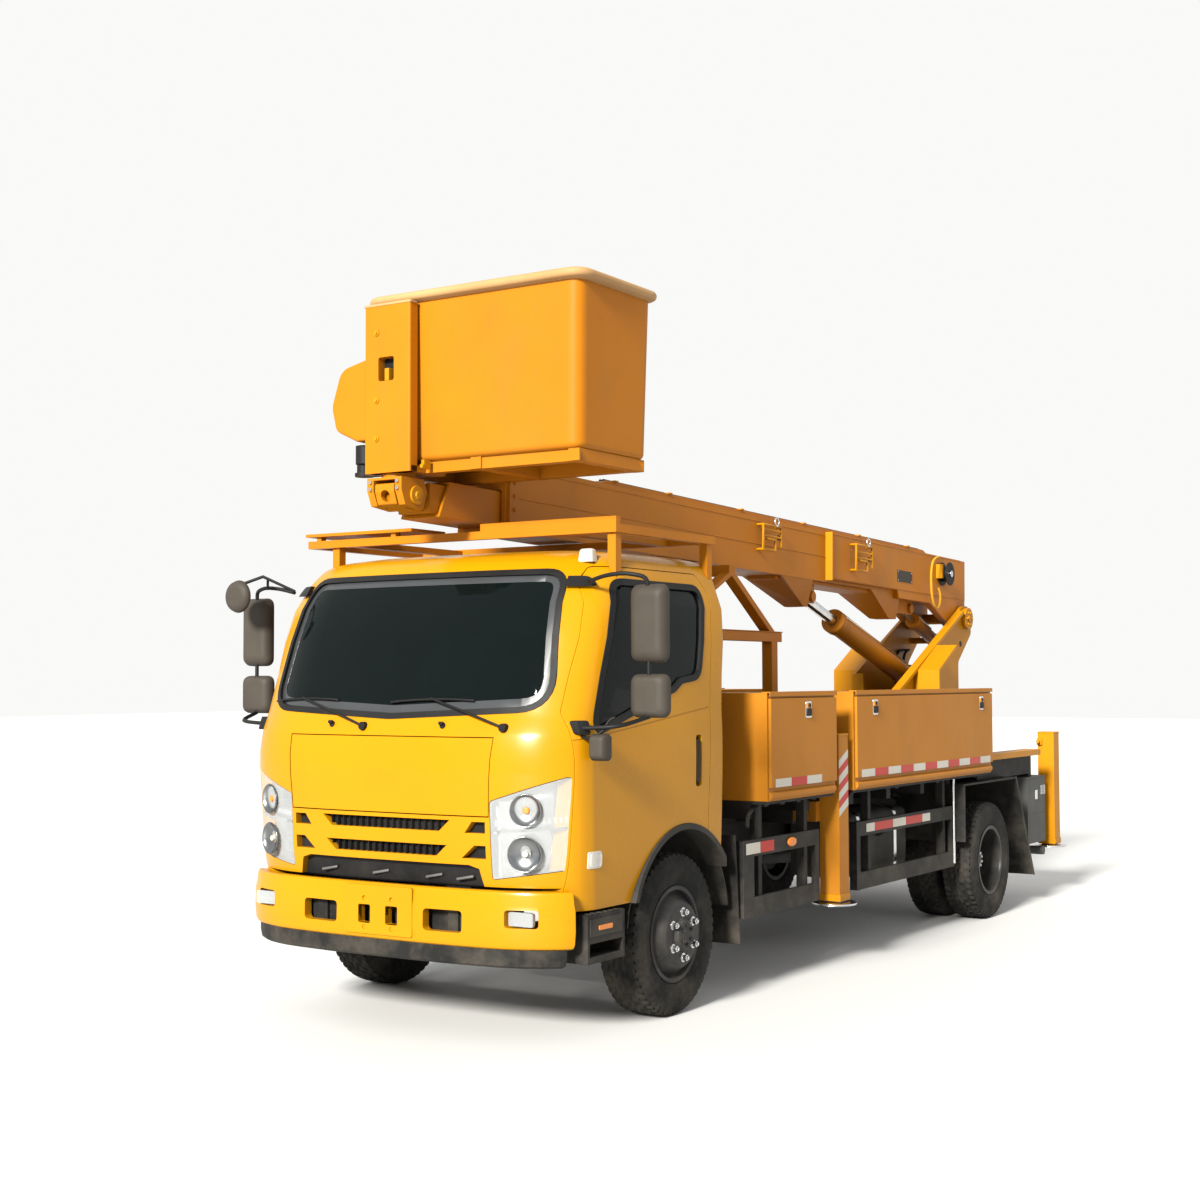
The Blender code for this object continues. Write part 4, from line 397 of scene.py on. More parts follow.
def turned(axis, centre, profile, sides):
    """A closed profile of (along, radius) points turned about an axis through the centre."""
    faces = []
    points = []
    start = 0.5 if sides % 2 else 0.0
    others = {"x": (1, 2), "y": (0, 2), "z": (0, 1)}[axis]
    base = centre["xyz".index(axis)]
    for i in range(sides):
        angle = 2 * math.pi * (i + start) / sides - math.pi / 2
        for along, radius in profile:
            points.append(on_axis(
                axis,
                base + along,
                centre[others[0]] + radius * math.cos(angle),
                centre[others[1]] + radius * math.sin(angle),
            ))
    count = len(profile)
    for i in range(sides):
        a = i * count
        b = (i + 1) % sides * count
        for j in range(count):
            k = (j + 1) % count
            if profile[j][1] == 0 and profile[k][1] == 0:
                continue
            faces.append([a + j, a + k, b + k, b + j])
    return merged_mesh(points, faces)


def merged_mesh(points, faces):
    """A mesh from faces of which some have corners on the same place, as on a turned shape's axis."""
    places = {}
    index = []
    kept = []
    for point in points:
        key = tuple(round(value, 7) for value in point)
        if key not in places:
            places[key] = len(kept)
            kept.append(point)
        index.append(places[key])
    tidy = []
    for face in faces:
        corners = list(dict.fromkeys(index[i] for i in face))
        if len(corners) > 2:
            tidy.append(corners)
    return closed_mesh(kept, tidy)


def bar(start, end, radius, sides=12):
    """A round bar between two points."""
    return pipe([start, end], radius, sides)


def pipe(points, radius, sides=8):
    """A tube along a run of points, mitred where it bends."""
    points = [Vector(point) for point in points]
    loops = []
    first = (points[1] - points[0]).normalized()
    side = first.orthogonal().normalized()
    for i, point in enumerate(points):
        before = (point - points[i - 1]).normalized() if i else first
        after = (points[i + 1] - point).normalized() if i + 1 < len(points) else before
        along = (before + after).normalized()
        side = (side - before * side.dot(before)).normalized()
        up = before.cross(side)
        loop = []
        for j in range(sides):
            angle = 2 * math.pi * (j + 0.5) / sides
            spoke = side * math.cos(angle) * radius + up * math.sin(angle) * radius
            loop.append(point + spoke - before * (spoke.dot(along) / before.dot(along)))
        loops.append(loop)
        side = (side - after * side.dot(after)).normalized()
    return loft(loops)


def rounded(corners, radius, steps=3):
    """An outline with each corner rounded; a corner may carry its own radius as a third value."""
    outline = []
    count = len(corners)
    for i, corner in enumerate(corners):
        here = Vector(corner[:2])
        size = corner[2] if len(corner) > 2 else radius
        if size <= 0:
            outline.append(tuple(here))
            continue
        to_last = (Vector(corners[i - 1][:2]) - here)
        to_next = (Vector(corners[(i + 1) % count][:2]) - here)
        half = to_last.angle(to_next) / 2
        reach = min(size / math.tan(half), 0.49 * to_last.length, 0.49 * to_next.length)
        start = here + to_last.normalized() * reach
        end = here + to_next.normalized() * reach
        for k in range(steps + 1):
            t = k / steps
            outline.append(tuple(start * (1 - t) ** 2 + here * 2 * t * (1 - t) + end * t ** 2))
    return outline


def grown(outline, distance):
    """The outline moved outwards by the distance, or inwards where it is negative."""
    area = sum(
        a[0] * b[1] - b[0] * a[1] for a, b in zip(outline, outline[1:] + outline[:1])
    )
    sign = 1 if area > 0 else -1
    moved = []
    for i, point in enumerate(outline):
        here = Vector(point)
        before = (here - Vector(outline[i - 1])).normalized()
        after = (Vector(outline[(i + 1) % len(outline)]) - here).normalized()
        normal_before = Vector((before.y, -before.x)) * sign
        normal_after = Vector((after.y, -after.x)) * sign
        bisector = (normal_before + normal_after).normalized()
        moved.append(tuple(here + bisector * (distance / max(bisector.dot(normal_after), 0.3))))
    return moved


def circle(centre, radius, sides=16, start=0.0):
    return [
        (
            centre[0] + radius * math.cos(start + 2 * math.pi * i / sides),
            centre[1] + radius * math.sin(start + 2 * math.pi * i / sides),
        )
        for i in range(sides)
    ]


def combined(shapes, operation):
    """One mesh from several closed meshes, by an exact Boolean."""
    shapes = list(shapes)
    if len(shapes) == 1:
        return shapes[0]
    scene = bpy.context.scene.collection
    body = bpy.data.objects.new("work", shapes[0])
    scene.objects.link(body)
    group = bpy.data.collections.new("operands")
    scene.children.link(group)
    others = []
    for shape in shapes[1:]:
        other = bpy.data.objects.new("operand", shape)
        group.objects.link(other)
        others.append(other)
    step = body.modifiers.new("combine", "BOOLEAN")
    step.operation = operation
    step.operand_type = "COLLECTION"
    step.collection = group
    step.solver = "EXACT"
    graph = bpy.context.evaluated_depsgraph_get()
    result = bpy.data.meshes.new_from_object(body.evaluated_get(graph))
    for thing in [body, *others]:
        bpy.data.objects.remove(thing, do_unlink=True)
    bpy.data.collections.remove(group)
    return result


def fuse(*shapes):
    return combined(shapes, "UNION")


def cut(shape, *cutters):
    return combined([shape, *cutters], "DIFFERENCE")


def common(first, second):
    return combined([first, second], "INTERSECT")


def mirrored(shape):
    """The shape on the other side of the vehicle."""
    copy = shape.copy()
    work = bmesh.new()
    work.from_mesh(copy)
    for vertex in work.verts:
        vertex.co.x = -vertex.co.x
    bmesh.ops.reverse_faces(work, faces=work.faces)
    work.to_mesh(copy)
    work.free()
    return copy


def sided(shape, side):
    return shape if side > 0 else mirrored(shape)


def boom_point(s, h):
    """(y, z) of a place on the stowed boom."""
    lean = BOOM_STOW_ANGLE
    return (
        PIVOT_Y - s * math.cos(lean) + h * math.sin(lean),
        PIVOT_Z + s * math.sin(lean) + h * math.cos(lean),
    )


def boom_outline(points):
    return [boom_point(*point) for point in points]


def boom_box(half, s, h):
    outline = boom_outline(rect(s[0], h[0], s[1], h[1]))
    return prism("x", outline, -half, half)


# Cab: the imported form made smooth, with every panel as its own piece

CAB_BACK, HINGE_Y, CAB_WALL, DOOR_GAP = -2.010, -3.360, 0.045, 0.006
BOW = [(-0.45, 0.012), (0.0, 0.0), (0.45, 0.012), (0.72, 0.050), (0.88, 0.120), (0.97, 0.200), (1.0, 0.300),
       (1.0, 0.450)]
LEVELS = [  # height, front, half width, set-in of the back
    (0.600, -3.490, 0.970, 0.0), (0.750, -3.520, 0.985, 0.0), (1.000, -3.540, 0.995, 0.0),
    (1.385, -3.535, 1.000, 0.0), (1.500, -3.490, 0.995, 0.0), (2.150, -3.220, 0.955, 0.010),
    (2.225, -3.150, 0.915, 0.040), (2.270, -3.000, 0.800, 0.120), (2.285, -2.840, 0.600, 0.200)]


def smooth(points, steps):
    """Points on a smooth curve through the given ones."""
    count = len(points)
    span = [max(math.dist(a, b), 1e-6) for a, b in zip(points, points[1:])]
    slopes = [[(q - p) / d for p, q in zip(a, b)] for a, b, d in zip(points, points[1:], span)]
    tangents = [slopes[0]]
    for i in range(1, count - 1):
        w = span[i] / (span[i] + span[i - 1])
        tangents.append([s * w + t * (1 - w) for s, t in zip(slopes[i - 1], slopes[i])])
    tangents.append(slopes[-1])
    curve = []
    for i in range(count - 1):
        for k in range(steps):
            t = k / steps
            a, b, d = 2 * t ** 3 - 3 * t ** 2 + 1, -2 * t ** 3 + 3 * t ** 2, span[i]
            c, e = t ** 3 - 2 * t ** 2 + t, t ** 3 - t ** 2
            curve.append(tuple(a * p + b * q + d * (c * m + e * n) for p, q, m, n in
                               zip(points[i], points[i + 1], tangents[i], tangents[i + 1])))
    curve.append(tuple(points[-1]))
    return curve


BOW_HALF = [(min(s, 1.0), b) for s, b in smooth(BOW, 4) if s > -1e-6 and b < 0.3001]
LEVEL_ROWS = smooth(LEVELS, 4)


def cab_loop(row, inset):
    z, front, half, back_in = row
    half, front, back = half - inset, front + inset, CAB_BACK - back_in - inset
    side = [(share * half, front + set_back) for share, set_back in BOW_HALF if share > 0]
    side += [(half - 0.05 + 0.05 * math.cos(a), back - 0.05 + 0.05 * math.sin(a))
             for a in [math.pi / 2 * k / 4 for k in range(5)]]
    return [(0, front, z)] + [(x, y, z) for x, y in side] + [(-x, y, z) for x, y in reversed(side)]


def level_at(z):
    rows = LEVELS
    i = max(k for k in range(len(rows) - 1) if k == 0 or rows[k][0] <= z)
    a, b = rows[i], rows[i + 1]
    t = (z - a[0]) / (b[0] - a[0])
    return [z] + [p + (q - p) * t for p, q in zip(a[1:], b[1:])]


def cab_solid(inset, low=None, high=None):
    """The cab's outer form, moved inwards, between two heights."""
    rows = []
    for row in LEVEL_ROWS:
        sink = min(max((row[0] - 2.15) / 0.12, 0.0), 1.0)
        rows.append([row[0] - inset * sink, *row[1:]])
    if low is not None:
        rows = [row for row in rows if row[0] > low + 0.002]
        rows.insert(0, level_at(low))
    if high is not None:
        rows = [row for row in rows if row[0] < high - 0.002]
        rows.append(level_at(high))
    return loft([cab_loop(row, inset) for row in rows])


def band(outer, inner):
    """The layer of the cab between two insets."""
    return cut(cab_solid(outer), cab_solid(inner))


ARCH = (-2.420, 0.425)
ARCH_R = 0.515
DOOR_TOP = [(-2.190, 0.985), (-2.150, 2.080, 0.05), (-2.230, 2.180, 0.05), (-3.060, 2.180, 0.05),
            (-3.130, 2.120, 0.05), (HINGE_Y, 1.500, 0.05), (HINGE_Y, 0.602, 0)]
DOOR_WINDOW = rounded([(-3.260, 1.395, 0.05), (-2.520, 1.600, 0.06), (-2.450, 1.640, 0.06),
                       (-2.270, 1.660, 0.08),
                       (-2.215, 2.115, 0.08), (-3.030, 2.115, 0.10)], 0.05, 6)
SCREEN = rounded([(-0.850, 1.520, 0.14), (0, 1.480, 0.6), (0.850, 1.520, 0.14), (0.775, 2.160, 0.11),
                  (-0.775, 2.160, 0.11)], 0.05, 7)
REAR_WINDOW = rounded([(-0.620, 1.560), (0.620, 1.560), (0.600, 2.020), (-0.600, 2.020)], 0.06, 5)
LID = [(-0.592, 1.030), (0.592, 1.030), (0.612, 1.385), (-0.612, 1.385)]
LAMP = rounded([(0.603, 0.745, 0.01), (0.940, 0.795, 0.02), (0.957, 1.215, 0.015), (0.603, 1.098, 0.02)],
               0.02, 3)
SLOTS = [  # each as (x, z) corners
    [(-0.385, 1.008), (0.385, 1.008), (0.325, 0.955), (-0.325, 0.955)],
    [(-0.365, 0.892), (0.365, 0.892), (0.305, 0.840), (-0.305, 0.840)],
    [(0.465, 0.952), (0.575, 0.952), (0.575, 1.004), (0.505, 1.004)],
    [(0.445, 0.836), (0.575, 0.836), (0.575, 0.896), (0.515, 0.896)],
    [(-0.465, 0.952), (-0.575, 0.952), (-0.575, 1.004), (-0.505, 1.004)],
    [(-0.445, 0.836), (-0.575, 0.836), (-0.575, 0.896), (-0.515, 0.896)],
    [(-0.560, 0.690), (0.560, 0.690), (0.535, 0.790), (0.480, 0.806), (-0.480, 0.806), (-0.535, 0.790)]]


def door_outline():
    start = math.pi - math.asin((0.602 - ARCH[1]) / ARCH_R)
    end = math.acos((-2.190 - ARCH[0]) / ARCH_R)
    arc = [(ARCH[0] + ARCH_R * math.cos(start + (end - start) * i / 20),
            ARCH[1] + ARCH_R * math.sin(start + (end - start) * i / 20), 0) for i in range(21)]
    top = [p if len(p) > 2 else (*p, 0) for p in DOOR_TOP]
    return rounded(top + arc, 0, 4)


DOOR = door_outline()
outer_skin = cab_solid(0)
openings = [cab_solid(CAB_WALL, low=0.985), cab_solid(CAB_WALL, low=0.5, high=0.945),
            prism("y", SCREEN, -3.8, -2.9), prism("y", REAR_WINDOW, -2.2, -1.8),
            box((-0.470, CAB_BACK - 0.2, 0.5), (0.470, CAB_BACK + 0.1, 0.945)),
            box((-1.2, -3.8, 0.5), (1.2, HINGE_Y - DOOR_GAP, 0.710)),
            prism("x", circle(ARCH, ARCH_R, 64), -1.3, 1.3)]
for side in (-1, 1):
    openings.append(sided(prism("x", grown(DOOR, 0.004), 0.835, 1.3), side))
recesses = [prism("y", grown(LID, 0.0045), -3.8, -3.3)]
recesses += [sided(prism("y", grown(LAMP, 0.003), -3.8, HINGE_Y - 0.010), side) for side in (-1, 1)]
recesses += [prism("y", outline, -3.8, -3.3) for outline in SLOTS]
shallow = cut(fuse(*recesses), cab_solid(0.043))
piece("cab_skin", cut(outer_skin, *openings, shallow), "cab_yellow", "chassis", ["cab_shell"], 0.0035)

lid_panel = common(prism("y", LID, -3.8, -3.3), band(0, 0.022))
piece("front_lid_skin", lid_panel, "cab_yellow", "front_lid", ["front_lid"], 0.003)

pane = band(0.012, 0.017)
piece("windscreen_pane", common(prism("y", grown(SCREEN, -0.001), -3.8, -2.95), pane), "glass", "chassis",
      ["windscreen"], 0)
screen_ring = cut(prism("y", grown(SCREEN, 0.014), -3.8, -2.95),
                  prism("y", grown(SCREEN, -0.014), -3.9, -2.8))
piece("windscreen_seal", common(screen_ring, band(-0.004, 0.011)), "black")
frit_ring = cut(prism("y", grown(SCREEN, -0.010), -3.8, -2.95), prism("y", grown(SCREEN, -0.050), -3.9, -2.8))
piece("windscreen_border", common(frit_ring, band(0.0105, 0.0115)), "frit", bevel=0)
piece("rear_window_pane", common(prism("y", grown(REAR_WINDOW, -0.001), -2.2, -1.8), pane), "glass", bevel=0)
rear_ring = cut(prism("y", grown(REAR_WINDOW, 0.012), -2.2, -1.8),
                prism("y", grown(REAR_WINDOW, -0.012), -2.3, -1.7))
piece("rear_window_seal", common(rear_ring, band(-0.004, 0.012)), "black", bevel=0.0015)

# Dark mesh behind the grille slots
mesh_back = common(prism("y", rect(-0.585, 0.70, 0.585, 1.015), -3.8, -3.3),
                   band(0.036, 0.040))
piece("grille_back", mesh_back, "black", bevel=0)
ribs = [common(box((x, -3.8, 0.83), (x + 0.006, -3.3, 1.012)), band(0.016, 0.037))
        for x in [-0.38 + 0.038 * i for i in range(21)]]
piece("grille_ribs", fuse(*ribs), "chassis_black", bevel=0)
lower_bits = [bar((x, -3.492, 0.735), (x + 0.09, -3.488, 0.752), 0.007) for x in (-0.42, -0.1, 0.22, 0.40)]
piece("grille_pipes", fuse(*lower_bits), "engine_grey", bevel=0)

# Headlights: a clear lens over a bright tray with two bowls
for side, tag in ((1, "left"), (-1, "right")):
    whole = prism("y", LAMP, -3.8, HINGE_Y - 0.012)
    lens_skin = common(whole, band(0.0, 0.003))
    piece(f"headlight_lens_{tag}", sided(lens_skin, side), "lamp_clear", "chassis", [f"headlight_{tag}"],
          0.001)
    tray = common(whole, band(0.038, 0.042))
    wall = common(cut(whole, prism("y", grown(LAMP, -0.006), -3.9, -3.2)), band(0.004, 0.040))
    bars = common(prism("y", [(0.60, 0.952), (0.96, 0.978), (0.96, 0.990), (0.60, 0.964)], -3.8, -3.2),
                  common(whole, band(0.003, 0.030)))
    piece(f"headlight_tray_{tag}", sided(fuse(tray, wall, bars), side), "chrome", bevel=0.001)
    normal = Vector((0.34, -0.94, 0)).normalized()
    bowls = []
    for x, z, radius in ((0.770, 1.062, 0.072), (0.765, 0.866, 0.078)):
        back = (x, -3.46, z)
        rings = []
        for depth, share in ((0.0, 1.0), (-0.008, 0.93), (-0.016, 0.80), (-0.023, 0.60), (-0.027, 0.30),
                             (-0.030, 0.27), (-0.024, 0.62), (-0.011, 0.90), (-0.001, 1.06)):
            rings.append((depth, radius * share))
        bowls.append((back, rings))
        centre = Vector(back) + normal * 0.012
        side_axis = Vector((normal.y, -normal.x, 0)).normalized() * -1
        loops = []
        for depth, r in rings[:5]:
            loops.append([centre + normal * (depth + 0.020) + (side_axis * math.cos(a) + Vector((0, 0,
                    1)) * math.sin(a)) * r
                          for a in [2 * math.pi * k / 36 for k in range(36)]])
        for depth, r in reversed(rings[:5]):
            loops.append([centre + normal * (depth + 0.016) + (side_axis * math.cos(a) + Vector((0, 0,
                    1)) * math.sin(a)) * (r + 0.003)
                          for a in [2 * math.pi * k / 36 for k in range(36)]])
        bowl = loft(loops, closed=True)
        piece(f"headlight_bowl_{tag}_{'upper' if z > 1 else 'lower'}", sided(bowl, side), "chrome", bevel=0)
        bulb = bar(centre - normal * 0.010, centre + normal * 0.010, 0.016 if z > 1 else 0.014, 16)
        look = "amber" if z > 1 else "white"
        piece(f"headlight_bulb_{tag}_{'upper' if z > 1 else 'lower'}", sided(bulb, side), look, bevel=0.004)
    flutes = []
    for i in range(15):
        x = 0.622 + 0.0215 * i
        flutes.append(common(box((x, -3.8, 0.985 + (x - 0.6) * 0.07),
                                 (x + 0.010, -3.2, 1.012 + (x - 0.6) * 0.07)),
                             band(0.004, 0.012)))
    piece(f"headlight_flutes_{tag}", sided(fuse(*flutes), side), "lamp_clear", bevel=0)
    under = common(prism("y", [(0.57, 0.705), (0.985, 0.705), (0.985, 0.780), (0.57, 0.735)], -3.8,
                         HINGE_Y - 0.012),
                   band(0.012, 0.040))
    piece(f"headlight_under_{tag}", sided(under, side), "black", bevel=0.001)

# Doors
door_whole = prism("x", DOOR, 0.841, 1.3)
door_shape = cut(common(door_whole, band(0, CAB_WALL)), prism("x", DOOR_WINDOW, 0.5, 1.4))
handle_place = rounded(rect(-2.322, 1.115, -2.266, 1.372), 0.018, 4)
door_shape = cut(door_shape, cut(prism("x", handle_place, 0.9, 1.2), cab_solid(0.022)))
crease = prism("x", [(-3.37, 1.370), (-2.19, 1.505), (-2.19, 1.512), (-3.37, 1.377)], 0.9, 1.2)
door_shape = cut(door_shape, cut(crease, cab_solid(0.003)))
for side, tag in ((1, "left"), (-1, "right")):
    body = f"door_{tag}"
    knuckles = [bar((0.935, HINGE_Y, z), (0.935, HINGE_Y, z + 0.09), 0.0055, 12) for z in (1.02, 1.27)]
    piece(f"door_skin_{tag}", sided(door_shape, side), "cab_yellow", body, [f"door_{tag}"], 0.003)
    piece(f"door_knuckles_{tag}", sided(fuse(*knuckles), side), "chassis_black", body, bevel=0.001)
    glass = common(prism("x", grown(DOOR_WINDOW, -0.001), 0.6, 1.3), pane)
    piece(f"door_pane_{tag}", sided(glass, side), "glass", body, [f"door_glass_{tag}"], 0)
    ring = cut(prism("x", grown(DOOR_WINDOW, 0.012), 0.6, 1.3),
               prism("x", grown(DOOR_WINDOW, -0.020), 0.5, 1.4))
    piece(f"door_seal_{tag}", sided(common(ring, band(-0.003, 0.020)), side), "black", body)
    lining = common(prism("x", handle_place, 0.9, 1.2), band(0.019, 0.023))
    piece(f"door_handle_cup_{tag}", sided(lining, side), "black", body, bevel=0.001)
    grip = common(prism("x", rounded(rect(-2.312, 1.135, -2.284, 1.352), 0.012, 4), 0.9, 1.2),
                  band(-0.004, 0.010))
    piece(f"door_handle_{tag}", sided(grip, side), "black", body, (), 0.004, 3)
    lock = bar((0.990, -2.205, 1.270), (1.0005, -2.205, 1.270), 0.010, 20)
    piece(f"door_lock_{tag}", sided(lock, side), "steel", body, bevel=0.001)
    repeater = common(prism("x", rounded(rect(-3.275, 0.800, -3.195, 0.862), 0.012, 4), 0.8, 1.2),
                      band(-0.013, 0.004))
    piece(f"side_repeater_{tag}", sided(repeater, side), "lamp_clear", body, (), 0.004, 3)
    repeater_back = common(prism("x", rounded(rect(-3.283, 0.792, -3.187, 0.870), 0.012, 4), 0.8, 1.2),
                           band(-0.003, 0.003))
    piece(f"side_repeater_base_{tag}", sided(repeater_back, side), "white", body, bevel=0.001)
    # the rolled lip of the wheel arch, its liner and the step's amber bar
    lip_in = cut(prism("x", circle(ARCH, ARCH_R - 0.001, 72), 0.880, 1.002),
                 prism("x", circle(ARCH, ARCH_R - 0.030, 72), 0.8, 1.2))
    lip_in = common(lip_in, box((0.8, -3.0, 0.600), (1.2, CAB_BACK - 0.004, 1.2)))
    piece(f"arch_lip_{tag}", sided(lip_in, side), "guard_grey", "chassis", (), 0.004, 3)
    liner = cut(prism("x", circle(ARCH, ARCH_R - 0.016, 72), 0.560, 0.960),
                prism("x", circle(ARCH, ARCH_R - 0.026, 72), 0.5, 1.2))
    liner = common(liner, box((0.5, -3.0, 0.480), (1.2, -1.0, 1.2)))
    piece(f"arch_liner_{tag}", sided(liner, side), "chassis_black", bevel=0.001)
    tread = [box((0.955, -3.275 + 0.045 * i, 0.5865), (0.990, -3.255 + 0.045 * i, 0.5905)) for i in range(6)]
    piece(f"step_tread_{tag}", sided(fuse(*tread), side), "guard_grey", bevel=0.001)
    tread2 = box((0.991, -3.285, 0.487), (0.9945, -3.010, 0.566))
    piece(f"step_face_{tag}", sided(tread2, side), "guard_grey", bevel=0.001)
    amber_bar = rounded(rect(-3.215, 0.512, -3.100, 0.534), 0.006, 3)
    piece(f"step_reflector_{tag}", sided(prism("x", amber_bar, 0.9945, 0.9985), side), "amber", bevel=0.001)
    # mirrors: rounded heads on tube arms
    mirrors = [pipe(smooth([(0.915, -3.165, 2.105), (1.020, -3.180, 2.128), (1.150, -3.165, 2.130),
                            (1.205, -3.140, 2.110),
                            (1.215, -3.130, 2.060), (1.215, -3.130, 1.900), (1.215, -3.130, 1.478)], 4),
                    0.010, 12),
               pipe(smooth([(1.215, -3.130, 1.480), (1.150, -3.290, 1.442), (1.020, -3.325, 1.432),
                            (0.930, -3.330, 1.430)], 4), 0.010, 12)]
    piece(f"mirror_arms_{tag}", sided(cut(fuse(*mirrors), cab_solid(0.004)), side), "black", body,
          [f"mirror_{tag}"], 0)
    feet = [common(prism("x", rounded(rect(-3.235, 2.085, -3.115, 2.135), 0.018, 4), 0.8, 1.1),
                   band(-0.022, 0.004))]
    feet.append(common(prism("x", rounded(rect(-3.352, 1.400, -3.300, 1.465), 0.014, 4), 0.8, 1.1),
                       band(-0.020, 0.004)))
    piece(f"mirror_feet_{tag}", sided(fuse(*feet), side), "black", body, (), 0.004, 3)
    for part, z, width, height, depth in (("main", 1.905, 0.190, 0.360, 0.070),
                                          ("wide", 1.575, 0.200, 0.200, 0.065)):
        loops = []
        for t, share in ((0.0, 0.90), (0.06, 0.975), (0.16, 1.0), (0.45, 0.985), (0.72, 0.90), (0.90, 0.74),
                         (1.0, 0.52)):
            w, h = width / 2 * share, height / 2 * (0.35 + 0.65 * share)
            corners = rect(1.215 - w, z - h, 1.215 + w, z + h)
            loops.append([(a, -3.095 - t * depth, b) for a, b in rounded(corners, 0.045 * share, 6)])
        piece(f"mirror_{part}_{tag}", sided(loft(loops), side), "mirror_plastic", body, bevel=0)
        w, h = width / 2 - 0.016, height / 2 - 0.014
        corners = rect(1.215 - w, z - h, 1.215 + w, z + h)
        piece(f"mirror_{part}_glass_{tag}", sided(prism("y", rounded(corners, 0.030, 5), -3.0955, -3.0925),
                                                  side),
              "mirror_glass", body, bevel=0.0008)
piece("mirror_kerb_arm", pipe(smooth([(0.965, -3.320, 1.395), (1.020, -3.330, 1.385), (1.080, -3.310, 1.420),
                                      (1.110, -3.290, 1.470), (1.130, -3.280, 1.480)], 4), 0.007, 10),
      "black", "door_left", bevel=0)
kerb = [[(a, -3.270 - t * 0.075, b) for a, b in
         rounded(rect(0.985 - 0.046 * s, 1.345 - 0.062 * s, 0.985 + 0.046 * s, 1.345 + 0.062 * s), 0.022 * s,
                 5)]
        for t, s in ((0.0, 0.92), (0.15, 1.0), (0.6, 0.97), (0.85, 0.82), (1.0, 0.55))]
kerb = [[(x + 0.075, y, z) for x, y, z in loop] for loop in kerb]
piece("mirror_kerb", loft(kerb), "mirror_plastic", "door_left", bevel=0)
front_view = [[(-1.145 + dx, -3.330 - t * 0.045, 2.085 + dz) for dx, dz in circle((0, 0), 0.085 * s, 28)]
              for t, s in ((0.0, 0.90), (0.2, 1.0), (0.6, 0.92), (1.0, 0.55))]
piece("mirror_front_view", loft(front_view), "mirror_plastic", "door_right", bevel=0)
arms = fuse(pipe([(-0.915, -3.165, 2.112), (-1.060, -3.250, 2.190), (-1.140, -3.320, 2.150),
                  (-1.145, -3.345, 2.100)], 0.008, 10),
            pipe([(-1.040, -3.235, 2.178), (-1.060, -3.215, 2.128), (-1.020, -3.180, 2.128)], 0.007, 10))
piece("mirror_front_arm", arms, "black", "door_right", bevel=0)

# Roof lamp, wipers and washer jets
piece("roof_lamp", loft([[(x, y, z) for x, y in rounded(rect(0.785 - g, -3.060 - g, 0.860 + g, -3.010 + g),
                                                        0.012, 4)]
                         for z, g in ((2.205, 0.004), (2.240, 0.0), (2.262, -0.003), (2.268, -0.010))]),
      "white")


def screen_point(x, z, lift):
    """A point over the windscreen at x and z, lifted off the skin."""
    front, half = [smoothed for smoothed in level_at(z)[1:3]]
    share = min(abs(x) / half, 0.999)
    for (a, p), (b, q) in zip(BOW_HALF, BOW_HALF[1:]):
        if a <= share <= b:
            return Vector((x, front + p + (q - p) * (share - a) / (b - a) - lift, z))
    return Vector((x, front - lift, z))


for name, x, reach in (("right", -0.140, -0.44), ("left", 0.660, -0.42)):
    root = screen_point(x, 1.432, 0.012)
    knee = screen_point(x - 0.10, 1.470, 0.030)
    tip = screen_point(x + reach, 1.565, 0.026)
    piece(f"wiper_arm_{name}", pipe([root, knee, tip], 0.006, 10), "black", bevel=0)
    piece(f"wiper_pivot_{name}", bar(screen_point(x, 1.432, -0.010), screen_point(x, 1.432, 0.024), 0.020,
                                     20), "black", bevel=0.003)
    ends = [screen_point(x + reach - 0.25 + 0.06 * i, 1.545 + 0.006 * i - 0.0006 * i * i, 0.004)
            for i in range(9)]
    piece(f"wiper_blade_{name}", pipe(ends, 0.006, 8), "black", bevel=0)
for name, x in (("right", -0.345), ("left", 0.330)):
    jet = screen_point(x, 1.440, 0.010)
    piece(f"washer_jet_{name}", fuse(bar(jet, jet + Vector((0, 0.02, -0.004)), 0.015, 16),
                                     bar(jet + Vector((-0.012, -0.006, 0.010)),
                                         jet + Vector((0.012, -0.006, 0.010)), 0.008, 12)),
          "black")

# Bumper


def strip_solid(levels, end, depth):
    outer = []
    inner = []
    for z, front, half in levels:
        rows = [(share * half, front + set_back) for share, set_back in BOW_HALF if share > 0]
        rows.append((half, -3.0))
        outer.append([(0, front, z)] + [(x, y, z) for x, y in rows] + [(-x, y, z) for x, y in reversed(rows)])
    low, high = levels[0][0] - 0.01, levels[-1][0] + 0.01
    for z in (low, high):
        front, half = levels[len(levels) // 2][1] + depth, levels[len(levels) // 2][2] - depth
        rows = [(share * half, front + set_back) for share, set_back in BOW_HALF if share > 0]
        rows.append((half, -2.9))
        inner.append([(0, front, z)] + [(x, y, z) for x, y in rows] + [(-x, y, z) for x, y in reversed(rows)])
    return cut(loft(outer), loft(inner), box((-1.2, end, 0.2), (1.2, -2.8, 1.0)))


